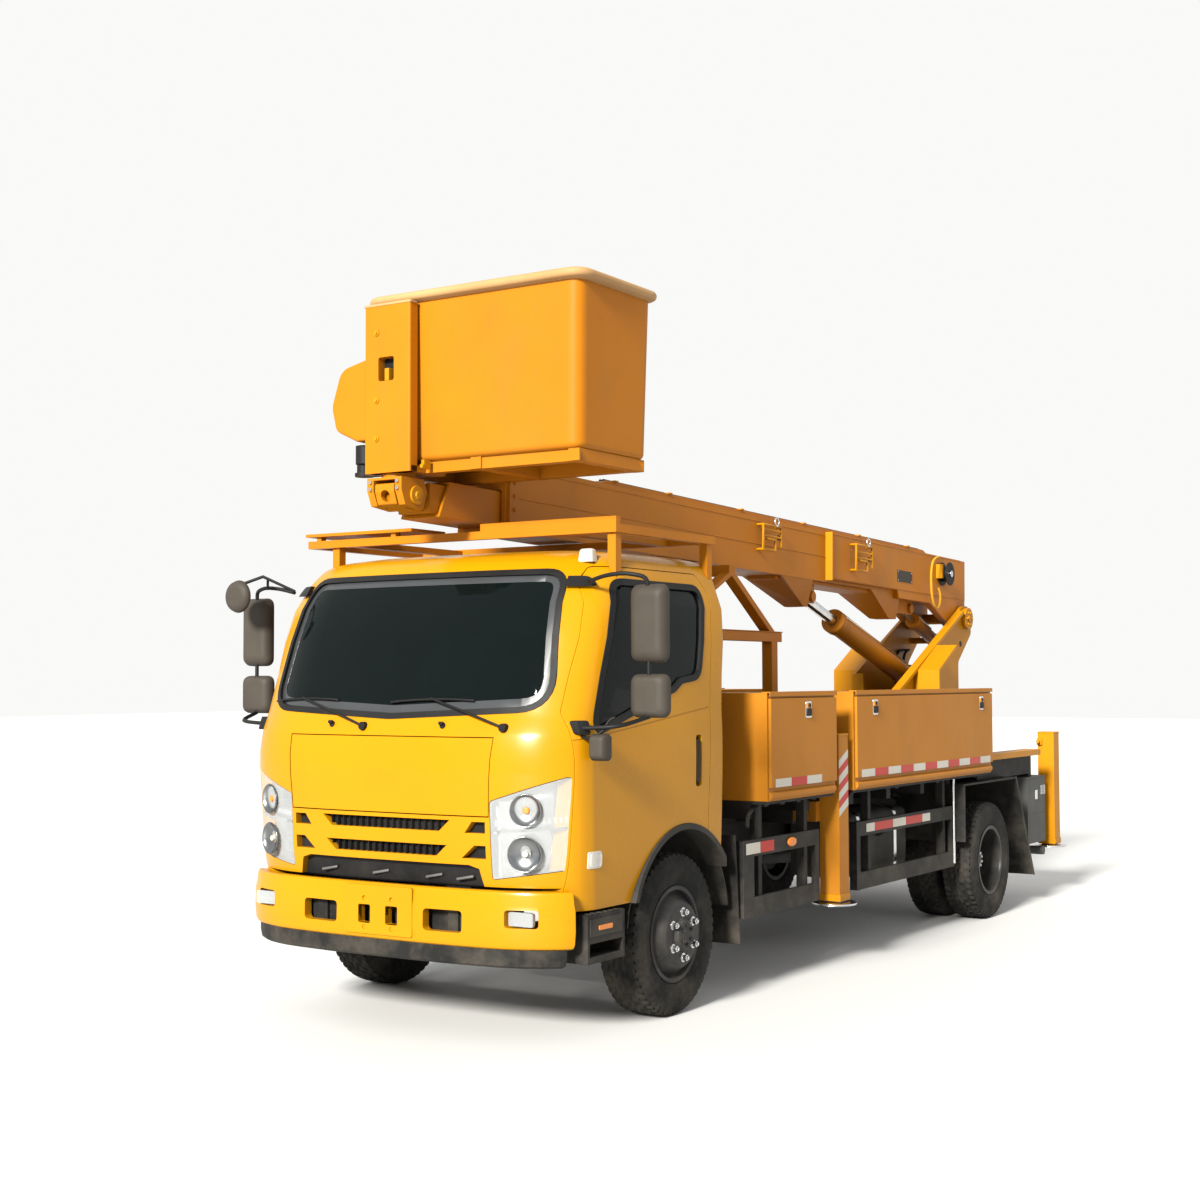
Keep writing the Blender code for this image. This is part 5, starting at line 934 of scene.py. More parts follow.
bumper_levels = [(0.440, -3.562, 0.985), (0.446, -3.570, 0.992), (0.462, -3.576, 0.997), (0.520, -3.580, 1.0),
                 (0.612, -3.578, 1.0), (0.640, -3.572, 0.996), (0.680, -3.569, 0.994), (0.694, -3.565, 0.990),
                 (0.700, -3.556, 0.984)]
holes = []
for x0, x1 in ((-0.470, -0.255), (0.265, 0.480)):
    holes.append(prism("y", rounded(rect(x0, 0.503, x1, 0.603), 0.022, 4), -3.7, -3.40))
for x0, x1 in ((-0.845, -0.695), (0.695, 0.845)):
    holes.append(prism("y", rounded(rect(x0, 0.538, x1, 0.618), 0.016, 4), -3.7, -3.38))
for x in (-0.082, 0.082):
    holes.append(prism("y", rounded(rect(x - 0.036, 0.512, x + 0.036, 0.598), 0.008, 3), -3.7, -3.40))
bumper = cut(strip_solid(bumper_levels, HINGE_Y - 0.012, 0.045), *holes)
piece("bumper_skin", bumper, "cab_yellow", "chassis", ["bumper"], 0.004, 3)
apron_levels = [(0.355, -3.546, 0.965), (0.365, -3.556, 0.975), (0.400, -3.560, 0.980),
                (0.4395, -3.560, 0.980)]
piece("bumper_apron", strip_solid(apron_levels, HINGE_Y - 0.022, 0.028), "chassis_black", bevel=0.003)
brackets = [sided(box((0.365, -3.52, 0.500), (0.425, -3.30, 0.5995)), side) for side in (-1, 1)]
piece("bumper_brackets", fuse(*brackets, box((-0.60, -3.50, 0.47), (0.60, -3.44, 0.63))), "chassis_black",
      bevel=0.003)
raised = cut(prism("y", rounded(rect(-0.205, 0.462, 0.205, 0.690), 0.012, 3), -3.583, -3.555), *holes[4:],
             *[bar((x, -3.6, z), (x, -3.5, z), 0.011, 14) for x in (-0.082, 0.082) for z in (0.492, 0.628)])
piece("bumper_plate", raised, "cab_yellow", bevel=0.0025)
for side, tag in ((1, "left"), (-1, "right")):
    dish = prism("y", rounded(rect(0.703, 0.546, 0.837, 0.610), 0.012, 3), -3.500, -3.492)
    piece(f"fog_lamp_back_{tag}", sided(dish, side), "chrome", bevel=0.001)
    lens_part = prism("y", rounded(rect(0.703, 0.546, 0.837, 0.610), 0.012, 3), -3.516, -3.506)
    piece(f"fog_lamp_{tag}", sided(lens_part, side), "lamp_clear", "chassis", (), 0.004, 3)

# Cab inside: floor, dash, wheel and cushioned seats
piece("cab_floor_mat", box((-0.850, -3.290, 0.986), (0.850, -2.120, 1.006)), "rubber", "chassis",
      ["cab_interior"], 0.004)
dash = [(-3.400, 1.270), (-3.350, 1.395), (-3.240, 1.432), (-3.100, 1.425), (-3.045, 1.370), (-3.060, 1.250),
        (-3.140, 1.110),
        (-3.250, 1.010), (-3.300, 1.010)]
dash_shape = prism("x", rounded(dash, 0.03, 4), -0.840, 0.840)
hood = loft([[(0.49 + dx * s, y, 1.42 + dz * s) for dx,
              dz in ((-0.20, 0), (0.20, 0), (0.19, 0.075), (0.12, 0.10), (-0.12, 0.10), (-0.19, 0.075))]
             for y, s in ((-3.29, 0.8), (-3.22, 1.0), (-3.06, 1.0))])
piece("dash", common(fuse(dash_shape, hood), cab_solid(CAB_WALL + 0.004, low=0.99)), "seat_grey", "chassis",
      (), 0.008, 3)
dials = [bar((x, -3.063, 1.468), (x, -3.054, 1.468), 0.040, 28) for x in (0.41, 0.50, 0.59)]
piece("dash_dials", fuse(*dials), "black")
column, hub = Vector((0.490, -3.120, 1.250)), Vector((0.490, -2.930, 1.520))
lean = (hub - column).normalized()
across, rise = Vector((1, 0, 0)), lean.cross(Vector((1, 0, 0)))
loops = []
for a in [2 * math.pi * i / 56 for i in range(56)]:
    out = across * math.cos(a) + rise * math.sin(a)
    loops.append([hub + out * 0.19 + (out * math.cos(b) + lean * math.sin(b)) * 0.013
                  for b in [2 * math.pi * k / 12 for k in range(12)]])
piece("steering_wheel", loft(loops, closed=True), "black", bevel=0)
spokes = [pipe([hub - lean * 0.03, hub - lean * 0.02 + (across * math.cos(a) + rise * math.sin(a)) * 0.08,
                hub + (across * math.cos(a) + rise * math.sin(a)) * 0.185], 0.011, 10)
          for a in (0.1, math.pi - 0.1, -math.pi / 2)]
piece("steering_column", fuse(bar(column, hub - lean * 0.02, 0.030, 18),
                              bar(hub - lean * 0.045, hub - lean * 0.002, 0.055, 24), *spokes),
      "black")


def cushion(name, low, high, lean_back=0.0, crown=0.022, seams=1):
    """A stuffed pad: crowned faces, sides that draw in between the corners, and stitched seams."""
    size = [h - l for l, h in zip(low, high)]
    grid = bmesh.new()
    bmesh.ops.create_cube(grid, size=1.0)
    bmesh.ops.subdivide_edges(grid, edges=grid.edges, cuts=17, use_grid_fill=True)
    for vertex in grid.verts:
        u, v, w = (2 * c for c in vertex.co)
        power = 3.2
        length = (abs(u) ** (2 * power) + abs(v) ** (2 * power) + abs(w) ** (2 * power)) ** (1 / (2 * power))
        u, v, w = u / length, v / length, w / length
        bulge = (1 - u * u) * (1 - v * v)
        along_x = u * (1 - 0.030 * (1 - v * v) * (1 - abs(w)) - 0.02 * (1 - v * v))
        along_y = v * (1 - 0.030 * (1 - u * u) * (1 - abs(w)) - 0.02 * (1 - u * u))
        up = w * (1 - 0.10) + (0.10 if w > 0 else -0.10) * bulge * (1.0 if abs(w) > 0.3 else abs(w) / 0.3)
        for line in ([-0.34, 0.34] if seams else []):
            up -= (0.10 if w > 0 else -0.0) * math.exp(-((u - line) / 0.035) ** 2) * (1 if w > 0.3 else 0)
        ripple = 0.010 * math.sin(9 * u + 4 * v) * math.sin(7 * v - 3 * u) * (1 if w > 0.3 else 0)
        x = (low[0] + high[0]) / 2 + along_x * size[0] / 2
        y = (low[1] + high[1]) / 2 + along_y * size[1] / 2
        z = (low[2] + high[2]) / 2 + (up + ripple) * size[2] / 2
        vertex.co = (x, y, z)
    if lean_back:
        pivot = Vector(((low[0] + high[0]) / 2, (low[1] + high[1]) / 2, low[2]))
        bmesh.ops.rotate(grid, verts=grid.verts, cent=pivot, matrix=Matrix.Rotation(lean_back, 3, "X"))
    mesh = bpy.data.meshes.new(name)
    grid.to_mesh(mesh)
    grid.free()
    obj = piece(name, mesh, "seat_grey", bevel=0)
    return obj


for tag, x0, x1 in (("driver", 0.230, 0.760), ("passenger", -0.780, 0.080)):
    piece(f"seat_base_{tag}", box((x0 + 0.03, -2.760, 1.007), (x1 - 0.03, -2.310, 1.150)), "black",
          bevel=0.008)
    cushion(f"seat_cushion_{tag}", (x0, -2.800, 1.140), (x1, -2.300, 1.300))
    back = cushion(f"seat_back_{tag}", (x0 + 0.02, -2.290, 1.230), (x1 - 0.02, -2.165, 1.900))


# Wheels: tyres with cut tread, and turned rims with their nuts

CYLINDER_PIN_RADIUS = 0.025
AXLE_Z, FLANGE, BEAD = 0.3985, 0.237, 0.222


def tyre(x, y, lug):
    """A tyre as one grid: sidewalls with ribs, and a tread cut by zigzag grooves and shoulder slots."""
    half = 0.1125
    section = [(0.080, BEAD + 0.001), (0.090, BEAD + 0.006), (0.097, FLANGE + 0.004), (0.103, 0.252),
               (0.1075, 0.262),
               (0.1065, 0.268), (0.1100, 0.276), (half, 0.300), (half, 0.318), (0.1105, 0.322),
               (half - 0.001, 0.332),
               (0.1095, 0.345), (0.1070, 0.358), (0.1045, 0.366)]
    rows = section + [(0.0985, 0.380), (0.0960, 0.3875)]
    tread_half = 0.0960
    across = [tread_half * t for t in (1.0, 0.94, 0.86, 0.74, 0.62, 0.585, 0.52, 0.485, 0.40, 0.26, 0.215,
                                       0.15, 0.115, 0.04)]
    profile = [(a, r, False) for a, r in rows] + [(a, 0.3985 - 0.008 * (a / tread_half) ** 4, True)
                                                  for a in across]
    profile += [(-a, r, t) for a, r, t in reversed(profile)]
    profile += [(-0.070, BEAD - 0.0, False), (0.070, BEAD - 0.0, False)]
    steps = 216
    points, faces = [], []
    for i in range(steps):
        angle = 2 * math.pi * i / steps
        phase = i % 4
        zig = 0.045 * (1 if (i // 3) % 2 else -1)
        for a, r, tread in profile:
            if tread:
                u = abs(a) / tread_half
                side = 1 if a > 0 else -1
                ring = min(abs(u - (0.55 + zig * side)), abs(u - (0.18 - zig * side)))
                if ring < 0.045:
                    r -= 0.011
                elif u > 0.62 and phase == (0 if side > 0 else 2):
                    r -= 0.012 if lug else 0.009
                elif lug and 0.24 < u < 0.50 and phase == 1:
                    r -= 0.008
            elif r > 0.36 and phase == (0 if a > 0 else 2):
                a -= 0.0035 * (1 if a > 0 else -1)
            points.append((x + a, y + r * math.cos(angle), AXLE_Z + r * math.sin(angle)))
    count = len(profile)
    for i in range(steps):
        a, b = i * count, (i + 1) % steps * count
        faces += [(a + j, a + (j + 1) % count, b + (j + 1) % count, b + j) for j in range(count)]
    return closed_mesh(points, faces)


FRONT_RIM = [(-0.101, FLANGE), (-0.094, FLANGE + 0.001), (-0.088, BEAD), (0.088, BEAD),
             (0.094, FLANGE + 0.001), (0.101, FLANGE),
             (0.103, 0.232), (0.101, 0.216), (0.090, 0.210), (0.078, 0.206), (0.084, 0.196), (0.096, 0.184),
             (0.118, 0.172),
             (0.137, 0.158), (0.143, 0.148), (0.143, 0.084), (0.150, 0.078), (0.162, 0.072), (0.168, 0.062),
             (0.170, 0.040),
             (0.170, 0.0), (0.154, 0.0), (0.154, 0.034), (-0.015, 0.034), (-0.015, 0.072), (0.131, 0.080),
             (0.131, 0.145),
             (0.066, 0.196), (-0.101, 0.210)]
REAR_RIM = [(-0.235, FLANGE), (-0.222, BEAD), (-0.046, BEAD), (-0.033, FLANGE), (-0.033, 0.212),
            (-0.014, 0.165), (0.014, 0.165),
            (0.033, 0.212), (0.033, FLANGE), (0.046, BEAD), (0.222, BEAD), (0.229, FLANGE + 0.001),
            (0.235, FLANGE),
            (0.237, 0.230), (0.235, 0.212), (0.222, 0.207), (0.120, 0.205), (0.070, 0.198), (0.046, 0.180),
            (0.034, 0.155),
            (0.030, 0.120), (0.030, 0.082), (0.040, 0.078), (0.120, 0.076), (0.140, 0.070), (0.150, 0.058),
            (0.152, 0.030),
            (0.152, 0.0), (0.020, 0.0), (0.020, 0.051), (-0.090, 0.051), (-0.090, 0.080), (-0.030, 0.085),
            (-0.030, 0.150),
            (-0.070, 0.200), (-0.235, 0.210)]


def nuts(x, y, side, plane, radius, count, size=0.016, long=0.024):
    shapes = []
    for i in range(count):
        a = 2 * math.pi * (i + 0.5) / count
        place = (y + radius * math.cos(a), AXLE_Z + radius * math.sin(a))
        ring = [(place[0] + size * math.cos(b), place[1] + size * math.sin(b))
                for b in [math.pi / 3 * k for k in range(6)]]
        shapes.append(prism("x", ring, x + side * (plane - 0.004), x + side * (plane + long)))
        shapes.append(bar((x + side * (plane + long - 0.002), *place),
                          (x + side * (plane + long + 0.008), *place), 0.009, 14))
        shapes.append(bar((x + side * (plane - 0.003), *place), (x + side * (plane + 0.003), *place),
                          size + 0.007, 20))
    return fuse(*shapes)


for side, tag in ((1, "left"), (-1, "right")):
    for name, x, y, profile, track, body, cad, lug in (
            ("front", 0.855, -2.46, FRONT_RIM, 0, f"wheel_front_{tag}", f"rim_front_{tag}", False),
            ("rear", 0.824, 1.67, REAR_RIM, 0.134, f"wheels_rear_{tag}", f"rims_rear_{tag}", True)):
        rim = turned("x", (side * x, y, AXLE_Z), [(side * a, r) for a, r in profile], 72)
        if name == "front":
            piece(f"rim_{name}_{tag}_turned", rim, "rim_black", body, [cad], 0.0015)
            piece(f"nuts_{name}_{tag}", nuts(side * x, y, side, 0.143, 0.111, 6), "steel", body, bevel=0.0015)
            piece(f"hub_bolts_{name}_{tag}", nuts(side * x, y, side, 0.166, 0.048, 6, 0.007, 0.006),
                  "rim_black", body, bevel=0)
            piece(f"tyre_{name}_{tag}_tread", tyre(side * x, y, lug), "rubber", body, [f"tyre_front_{tag}"],
                  0)
        else:
            slots_at = [math.pi / 5 * 2 * i for i in range(5)]
            windows = [bar((side * (x + 0.0), y + 0.158 * math.cos(a), AXLE_Z + 0.158 * math.sin(a)),
                           (side * (x + 0.12), y + 0.158 * math.cos(a), AXLE_Z + 0.158 * math.sin(a)), 0.026,
                           20) for a in slots_at]
            piece(f"rim_{name}_{tag}_turned", cut(rim, *windows), "rim_black", body, [cad], 0.0015)
            piece(f"nuts_{name}_{tag}", nuts(side * x, y, side, 0.030, 0.111, 6), "steel", body, bevel=0.0015)
            piece(f"hub_bolts_{name}_{tag}", nuts(side * x, y, side, 0.149, 0.044, 8, 0.007, 0.006), "steel",
                  body, bevel=0)
            for row, offset in (("outer", 0.134), ("inner", -0.134)):
                piece(f"tyre_rear_{row}_{tag}_tread", tyre(side * (x + offset), y, lug), "rubber", body,
                      [f"tyre_rear_{row}_{tag}"], 0)

# Lockers: tape, latches, hinge knuckles, gutters and clips

SPANS = {"front": (-1.670, -0.830), "rear": (-0.575, 1.700)}
for side, tag in ((1, "left"), (-1, "right")):
    for row, (front, back) in SPANS.items():
        body = f"locker_door_{row}_{tag}"
        latches = [front + (back - front) * t for t in ((0.55,) if row == "front" else (0.12, 0.90))]
        for number, y in enumerate(latches):
            frame_ring = prism("x", rounded(rect(y - 0.036, 1.435, y + 0.036, 1.527), 0.012, 4),
                               1.0795, 1.0835)
            paddle = prism("x", rounded(rect(y - 0.026, 1.446, y + 0.026, 1.488), 0.008, 4),
                           1.081, 1.0905)
            key = bar((1.081, y, 1.505), (1.0925, y, 1.505), 0.011, 20)
            piece(f"latch_frame_{row}_{tag}_{number}", sided(frame_ring, side), "steel", body, bevel=0.0015)
            piece(f"latch_paddle_{row}_{tag}_{number}", sided(fuse(paddle, key), side), "black", body)
        colours = {"white": [], "red": []}
        start, end = (front + 0.060, back - 0.210) if row == "front" else (front + 0.070, back - 0.060)
        count = 3 if row == "front" else 11
        step = (end - start) / count
        for i in range(count):
            colours["red" if i % 2 else "white"].append(
                box((1.0795, start + i * step, 1.073), (1.0808, start + (i + 1) * step - 0.003, 1.118)))
        for colour, shapes in colours.items():
            piece(f"tape_{colour}_{row}_{tag}", sided(fuse(*shapes), side), colour, body, bevel=0)
        hinges = [bar((1.064, y - 0.035, 1.028), (1.064, y + 0.035, 1.028), 0.013, 16)
                  for y in [front + (back - front) * t
                            for t in ((0.12, 0.88) if row == "front" else (0.06, 0.5, 0.94))]]
        piece(f"hinge_sleeves_{row}_{tag}", sided(fuse(*hinges), side), "locker_orange")
        gutter = box((1.030, front + 0.004, 1.5752), (1.0795, back - 0.004, 1.5815))
        lip = box((1.0745, front + 0.004, 1.556), (1.0795, back - 0.004, 1.5815))
        piece(f"gutter_{row}_{tag}", sided(fuse(gutter, lip), side), "locker_orange", bevel=0.0015)
        clips = [box((0.93, y, 0.965), (0.99, y + 0.05, 0.9995)) for y in
                 [front + 0.1 + i * (back - front - 0.25) / 3 for i in range(4)]]
        piece(f"locker_clips_{row}_{tag}", sided(fuse(*clips), side), "chassis_black")
    # Mid jack: warning stripes, wear pads, foot ball
    # Jacks: warning stripes on the mid jack; foot plates, collars and caps on the mid and rear jacks; the
    # rear jack's valve
    jx, jy = 1.002, -0.725
    for number in range(7):
        z = 0.860 + number * 0.046
        stripe = [(jy - 0.0620, z), (jy + 0.0620, z + 0.062), (jy + 0.0620, z + 0.108),
                  (jy - 0.0620, z + 0.046)]
        piece(f"jack_stripe_{number}_{tag}", sided(prism("x", stripe, jx + 0.0622, jx + 0.0634), side),
              "red" if number % 2 else "white", f"outrigger_{tag}", bevel=0)
    for name, y, x, top, leg in (("mid", jy, jx, 1.330, f"jack_leg_mid_{tag}"),
                                 ("rear", 3.270, 0.950, 1.232, f"jack_leg_rear_{tag}")):
        foot = turned("z", (side * x, y, 0), [(0.357, 0), (0.357, 0.118), (0.361, 0.130), (0.368, 0.130),
                                              (0.3715, 0.118), (0.3715, 0)], 48)
        body = f"jack_leg_{name}_{tag}"
        piece(f"jack_foot_{name}_{tag}", foot, "steel", body, bevel=0.0015)
        owner = f"outrigger_{tag}" if name == "mid" else "chassis"
        shoulder = cut(box((x - 0.068, y - 0.068, 0.380), (x + 0.068, y + 0.068, 0.420)),
                       box((x - 0.0623, y - 0.0623, 0.3), (x + 0.0623, y + 0.0623, 0.5)))
        cap = box((x - 0.066, y - 0.066, top - 0.006), (x + 0.066, y + 0.066, top + 0.004))
        piece(f"jack_collar_{name}_{tag}", sided(shoulder, side), "turret_yellow", owner)
        piece(f"jack_cap_{name}_{tag}", sided(cap, side), "turret_yellow", owner, bevel=0.003)
    fitting = fuse(box((0.885, 3.188, 1.135), (0.925, 3.209, 1.185)),
                   bar((0.905, 3.150, 1.160), (0.905, 3.195, 1.160), 0.012, 12))
    piece(f"rear_jack_valve_{tag}", sided(fitting, side), "turret_yellow")
    # Side guards: reflectors, lamp and pipe
    bits = [box((1.0002, -1.800, 0.728), (1.0018, -1.640, 0.786)),
            box((1.0002, -0.270, 0.733), (1.0018, -0.150, 0.783)),
            box((1.0002, 0.130, 0.733), (1.0018, 0.330, 0.783)),
            box((1.0002, 0.600, 0.733), (1.0018, 0.730, 0.783))]
    reds = [box((1.0002, -1.637, 0.728), (1.0018, -1.480, 0.786)),
            box((1.0002, -0.148, 0.733), (1.0018, 0.127, 0.783)),
            box((1.0002, 0.333, 0.733), (1.0018, 0.597, 0.783))]
    piece(f"guard_reflectors_white_{tag}", sided(fuse(*bits), side), "white", bevel=0)
    piece(f"guard_reflectors_red_{tag}", sided(fuse(*reds), side), "red", bevel=0)
    lamp = [[(1.0002 + d, -1.270 + 0.055 * s * math.cos(a), 0.757 + 0.027 * s * math.sin(a)) for a in
             [2 * math.pi * k / 28 for k in range(28)]] for d,
            s in ((0, 1.0), (0.008, 0.95), (0.013, 0.7), (0.015, 0.3))]
    piece(f"side_marker_{tag}", sided(loft(lamp), side), "amber", bevel=0)
    for number, (front, back, wide) in enumerate(((-1.830, -0.920, 0.120), (-0.410, 1.150, 0.050))):
        shapes = [box((0.9985, front - 0.001, 0.398), (1.0012, front + wide, 0.802))]
        for low, high in ((0.400, 0.500), (0.715, 0.800)):
            shapes.append(box((0.9985, front + 0.02, low - 0.0005), (1.0002, back + 0.001, high + 0.0005)))
        shapes.append(box((0.9985, back - 0.05, 0.3995), (1.0007, back + 0.001, 0.8005)))
        piece(f"guard_face_{number}_{tag}", sided(fuse(*shapes), side), "guard_grey", bevel=0.0006)
    stay = pipe(smooth([(0.955, -1.705, 0.860), (0.960, -1.700, 0.925), (0.955, -1.640, 0.955),
                        (0.900, -1.540, 0.958),
                        (0.860, -1.480, 0.930), (0.855, -1.460, 0.870)], 4), 0.012, 12)
    piece(f"guard_pipe_{tag}", sided(stay, side), "guard_grey", bevel=0)
    post = bar((1.000, 1.145, 0.420), (1.000, 1.145, 0.983), 0.010, 12)
    piece(f"guard_bar_{tag}", sided(post, side), "steel", bevel=0)
    # Mudguard edge, side box and tail lamp
    front, back, top = 1.170, 2.180, 0.944
    edge = [(back - 0.012, top + 0.004), (back + 0.008, top + 0.004), (back + 0.374, 0.213),
            (back + 0.352, 0.213)]
    piece(f"mudguard_edge_{tag}", sided(prism("x", edge, 1.0655, 1.0730), side), "guard_grey", bevel=0.001)
    lid = box((0.696, 2.666, 0.8995), (0.989, 3.064, 0.912))
    seam = box((0.9855, 2.676, 0.640), (0.9885, 3.054, 0.647))
    catch = box((0.9855, 2.82, 0.742), (0.995, 2.87, 0.812))
    face = box((0.6985, 2.6685, 0.4185), (0.9865, 3.0615, 0.8985))
    piece(f"rear_box_trim_{tag}", sided(fuse(lid, seam, face), side), "grey")
    piece(f"rear_box_catch_{tag}", sided(catch, side), "steel")
    tail = box((0.9867, 2.955, 0.772), (1.000, 3.035, 0.842))
    piece(f"tail_marker_{tag}", sided(tail, side), "lamp_clear", bevel=0.003)
    # Tail lamps behind the bumper tube
    for name, x0, x1, look in (("stop", 0.560, 0.650, "red"), ("turn", 0.655, 0.725, "amber"),
                               ("reverse", 0.490, 0.555, "lamp_clear")):
        piece(f"tail_{name}_{tag}", sided(box((x0, 3.2715, 0.672), (x1, 3.292, 0.762)), side), look,
              bevel=0.004)
    # Amber-brown edge box on the rear deck
    deck_box = box((0.900, 1.760, 1.0755), (1.028, 2.855, 1.1180))
    piece(f"deck_edge_{tag}", sided(deck_box, side), "turret_yellow", bevel=0.003)

tube = [bar((-0.983, 3.030, 0.345), (0.983, 3.030, 0.345), 0.0315, 28)]
tube += [sided(box((0.2985, 2.9985, 0.3185), (0.3415, 3.1495, 0.6815)), side) for side in (-1, 1)]
piece("underride_tube", fuse(*tube), "grey", bevel=0.001)

# Tank straps and cap, hydraulic tank ribs and cap
straps = [cut(prism("y", rounded(rect(0.476, 0.436, 0.864, 0.834), 0.064, 5), y, y + 0.04),
              prism("y", rounded(rect(0.481, 0.441, 0.859, 0.829), 0.06, 5), y - 0.1, y + 0.1))
          for y in (-0.10, 0.46)]
piece("fuel_straps", fuse(*straps), "steel", bevel=0.001)
piece("fuel_cap", bar((0.855, 0.20, 0.70), (0.893, 0.20, 0.715), 0.038, 28), "black", bevel=0.004)
ribs = [box((-0.254, y, 1.02), (0.284, y + 0.018, 1.757)) for y in (-1.30, -1.17, -1.04)]
ribs += [box((x, -1.454, 1.02), (x + 0.018, -0.896, 1.757)) for x in (-0.10, 0.10)]
piece("tank_ribs", fuse(*ribs), "tank_rust", bevel=0.003)
piece("tank_cap", fuse(bar((0.1, -1.1, 1.788), (0.1, -1.1, 1.835), 0.040, 28),
                       bar((-0.12, -1.25, 1.788), (-0.12, -1.25, 1.815), 0.055, 28)),
      "black", bevel=0.004)

# Roof rack: front bar with a raised rail on the left, a board on the right
RACK_TOP, RACK_HALF, T, RF, RB = 2.384, 0.965, 0.040, -3.010, -2.050
shapes = [box((-RACK_HALF, RF, RACK_TOP - T), (RACK_HALF, RF + T, RACK_TOP)),
          box((-RACK_HALF, RB - T, RACK_TOP - T), (RACK_HALF, RB, RACK_TOP)),
          box((0.170, RF, RACK_TOP - T), (RACK_HALF, RF + T, RACK_TOP + 0.036)),
          box((-RACK_HALF, RF - 0.02, RACK_TOP + 0.020), (-0.250, RF + 0.26, RACK_TOP + 0.036))]
for x in (-RACK_HALF + 0.06, -0.40):
    shapes.append(box((x, RF, RACK_TOP - T), (x + 0.03, RF + T, RACK_TOP + 0.024)))
for side, post in ((1, 0.905), (-1, 0.765)):
    shapes.append(sided(box((RACK_HALF - T, RF, RACK_TOP - T), (RACK_HALF, RB, RACK_TOP)), side))
    shapes.append(sided(box((0.640, RF, RACK_TOP - T), (0.700, RB, RACK_TOP - 0.008)), side))
    for y in (RF + 0.020, RB - T - 0.020):
        shapes.append(sided(box((post, y, 2.10), (post + 0.045, y + 0.050, RACK_TOP - T + 0.01)), side))
piece("roof_rack_bars", cut(fuse(*shapes), cab_solid(0.0)), "boom_orange", "chassis", ["roof_rack"], 0.003)

# Boom: tapered brackets, stiffener, step plate and the fittings along its side

BASE_HALF, BASE_REAR, BASE_H, BASE_S, STEP_S = 0.150, 0.190, (0.130, 0.480), (-0.085, 6.220), 2.440
MID_HALF, MID_H = 0.120, (0.150, 0.330)
LEVEL_S, LEVEL_H = 6.880, 0.238
LIFT_PIN, LEVEL_PIN = (2.790, 1.650), (3.340, 1.955)


def on_boom(x, s, h):
    y, z = boom_point(s, h)
    return (x, y, z)


def bracket(top, tip, tip_h, tip_half, eye, slot, reach):
    """A bracket under the boom that narrows to its tip, with a slot for a rod's eye and pin heads."""
    loops = []
    for (a, b), half, h in ((top, BASE_HALF - 0.002, BASE_H[0] + 0.006), (tip, tip_half, tip_h)):
        loops.append([on_boom(x, s, h) for x, s in ((-half, a), (half, a), (half, b), (-half, b))])
    cheeks = boom_box(tip_half, (eye[0] - reach, tip[0]), (eye[1] - 0.045, BASE_H[0] + 0.006))
    room = boom_box(slot, (tip[1] - 0.4, eye[0] + 0.055), (tip_h - 0.1, 0.105))
    y, z = boom_point(*eye)
    heads = [bar((side * (slot + 0.010), y, z), (side * (tip_half + 0.022), y, z), 0.036, 24)
             for side in (-1, 1)]
    return fuse(cut(fuse(loft(loops), cheeks), room), *heads)


low, high = BASE_H
shell = cut(boom_box(BASE_HALF, BASE_S, BASE_H),
            boom_box(BASE_HALF - 0.012, (0.60, BASE_S[1] - 0.03), (low + 0.012, high - 0.012)),
            boom_box(MID_HALF + 0.006, (BASE_S[1] - 0.2, BASE_S[1] + 0.1),
                     (MID_H[0] - 0.0004, MID_H[1] + 0.006)))
collar = cut(boom_box(BASE_HALF + 0.016, (BASE_S[1] - 0.10, BASE_S[1] - 0.02), (low - 0.012, high + 0.004)),
             boom_box(BASE_HALF - 0.002, (BASE_S[1] - 0.2, BASE_S[1] + 0.1), (low + 0.002, high - 0.002)))
shapes = [shell, collar, boom_box(0.105, (0.950, 3.120), (0.106, low + 0.004)),
          bracket((3.130, 2.640), (2.640, 2.580), -0.048, 0.073, (2.520, 0.026), 0.055, 0.050),
          bracket((1.690, 1.150), (1.200, 1.060), -0.055, 0.078, (0.800, 0.040), 0.050, 0.050),
          prism("x", boom_outline([(0.5, high - 0.004), (5.3, high - 0.004), (5.2, high + 0.030),
                                   (0.6, high + 0.030)]), 0.030, 0.110)]
ear = rounded([(1.300, 0.160, 0), (1.240, 0.090, 0), (0.660, 0.090, 0), (0.190, -0.085), (-0.084, -0.085),
               (-0.084, 0.160, 0)], 0.07, 6)
for side in (-1, 1):
    doubler = boom_outline(rect(BASE_S[0], low + 0.02, STEP_S, high - 0.012))
    shapes.append(sided(prism("x", doubler, BASE_HALF - 0.004, BASE_REAR), side))
    shapes.append(sided(prism("x", boom_outline(ear), BASE_HALF - 0.02, BASE_REAR - 0.002), side))
bore = bar((-0.3, PIVOT_Y, PIVOT_Z), (0.3, PIVOT_Y, PIVOT_Z), 0.0426, 48)
piece("boom_base", cut(fuse(*shapes), bore), "boom_orange", "base_boom", ["base_boom"], 0.003)
for side, tag in ((1, "left"), (-1, "right")):
    step = prism("x", boom_outline(rect(STEP_S, low + 0.010, STEP_S + 0.012, high - 0.004)),
                 BASE_HALF - 0.002, BASE_REAR + 0.012)
    piece(f"boom_step_plate_{tag}", sided(step, side), "turret_yellow", "base_boom")
    welds = [pipe([on_boom(BASE_HALF + 0.0005, s, h) for s in (2.47, 6.10)], 0.0028, 6)
             for h in (0.452, 0.305)]
    welds += [pipe([on_boom(BASE_REAR + 0.0005, s, h) for s in (0.02, 2.43)], 0.0028, 6)
              for h in (0.462, 0.158)]
    piece(f"boom_welds_{tag}", sided(fuse(*welds), side), "boom_orange", "base_boom", bevel=0)
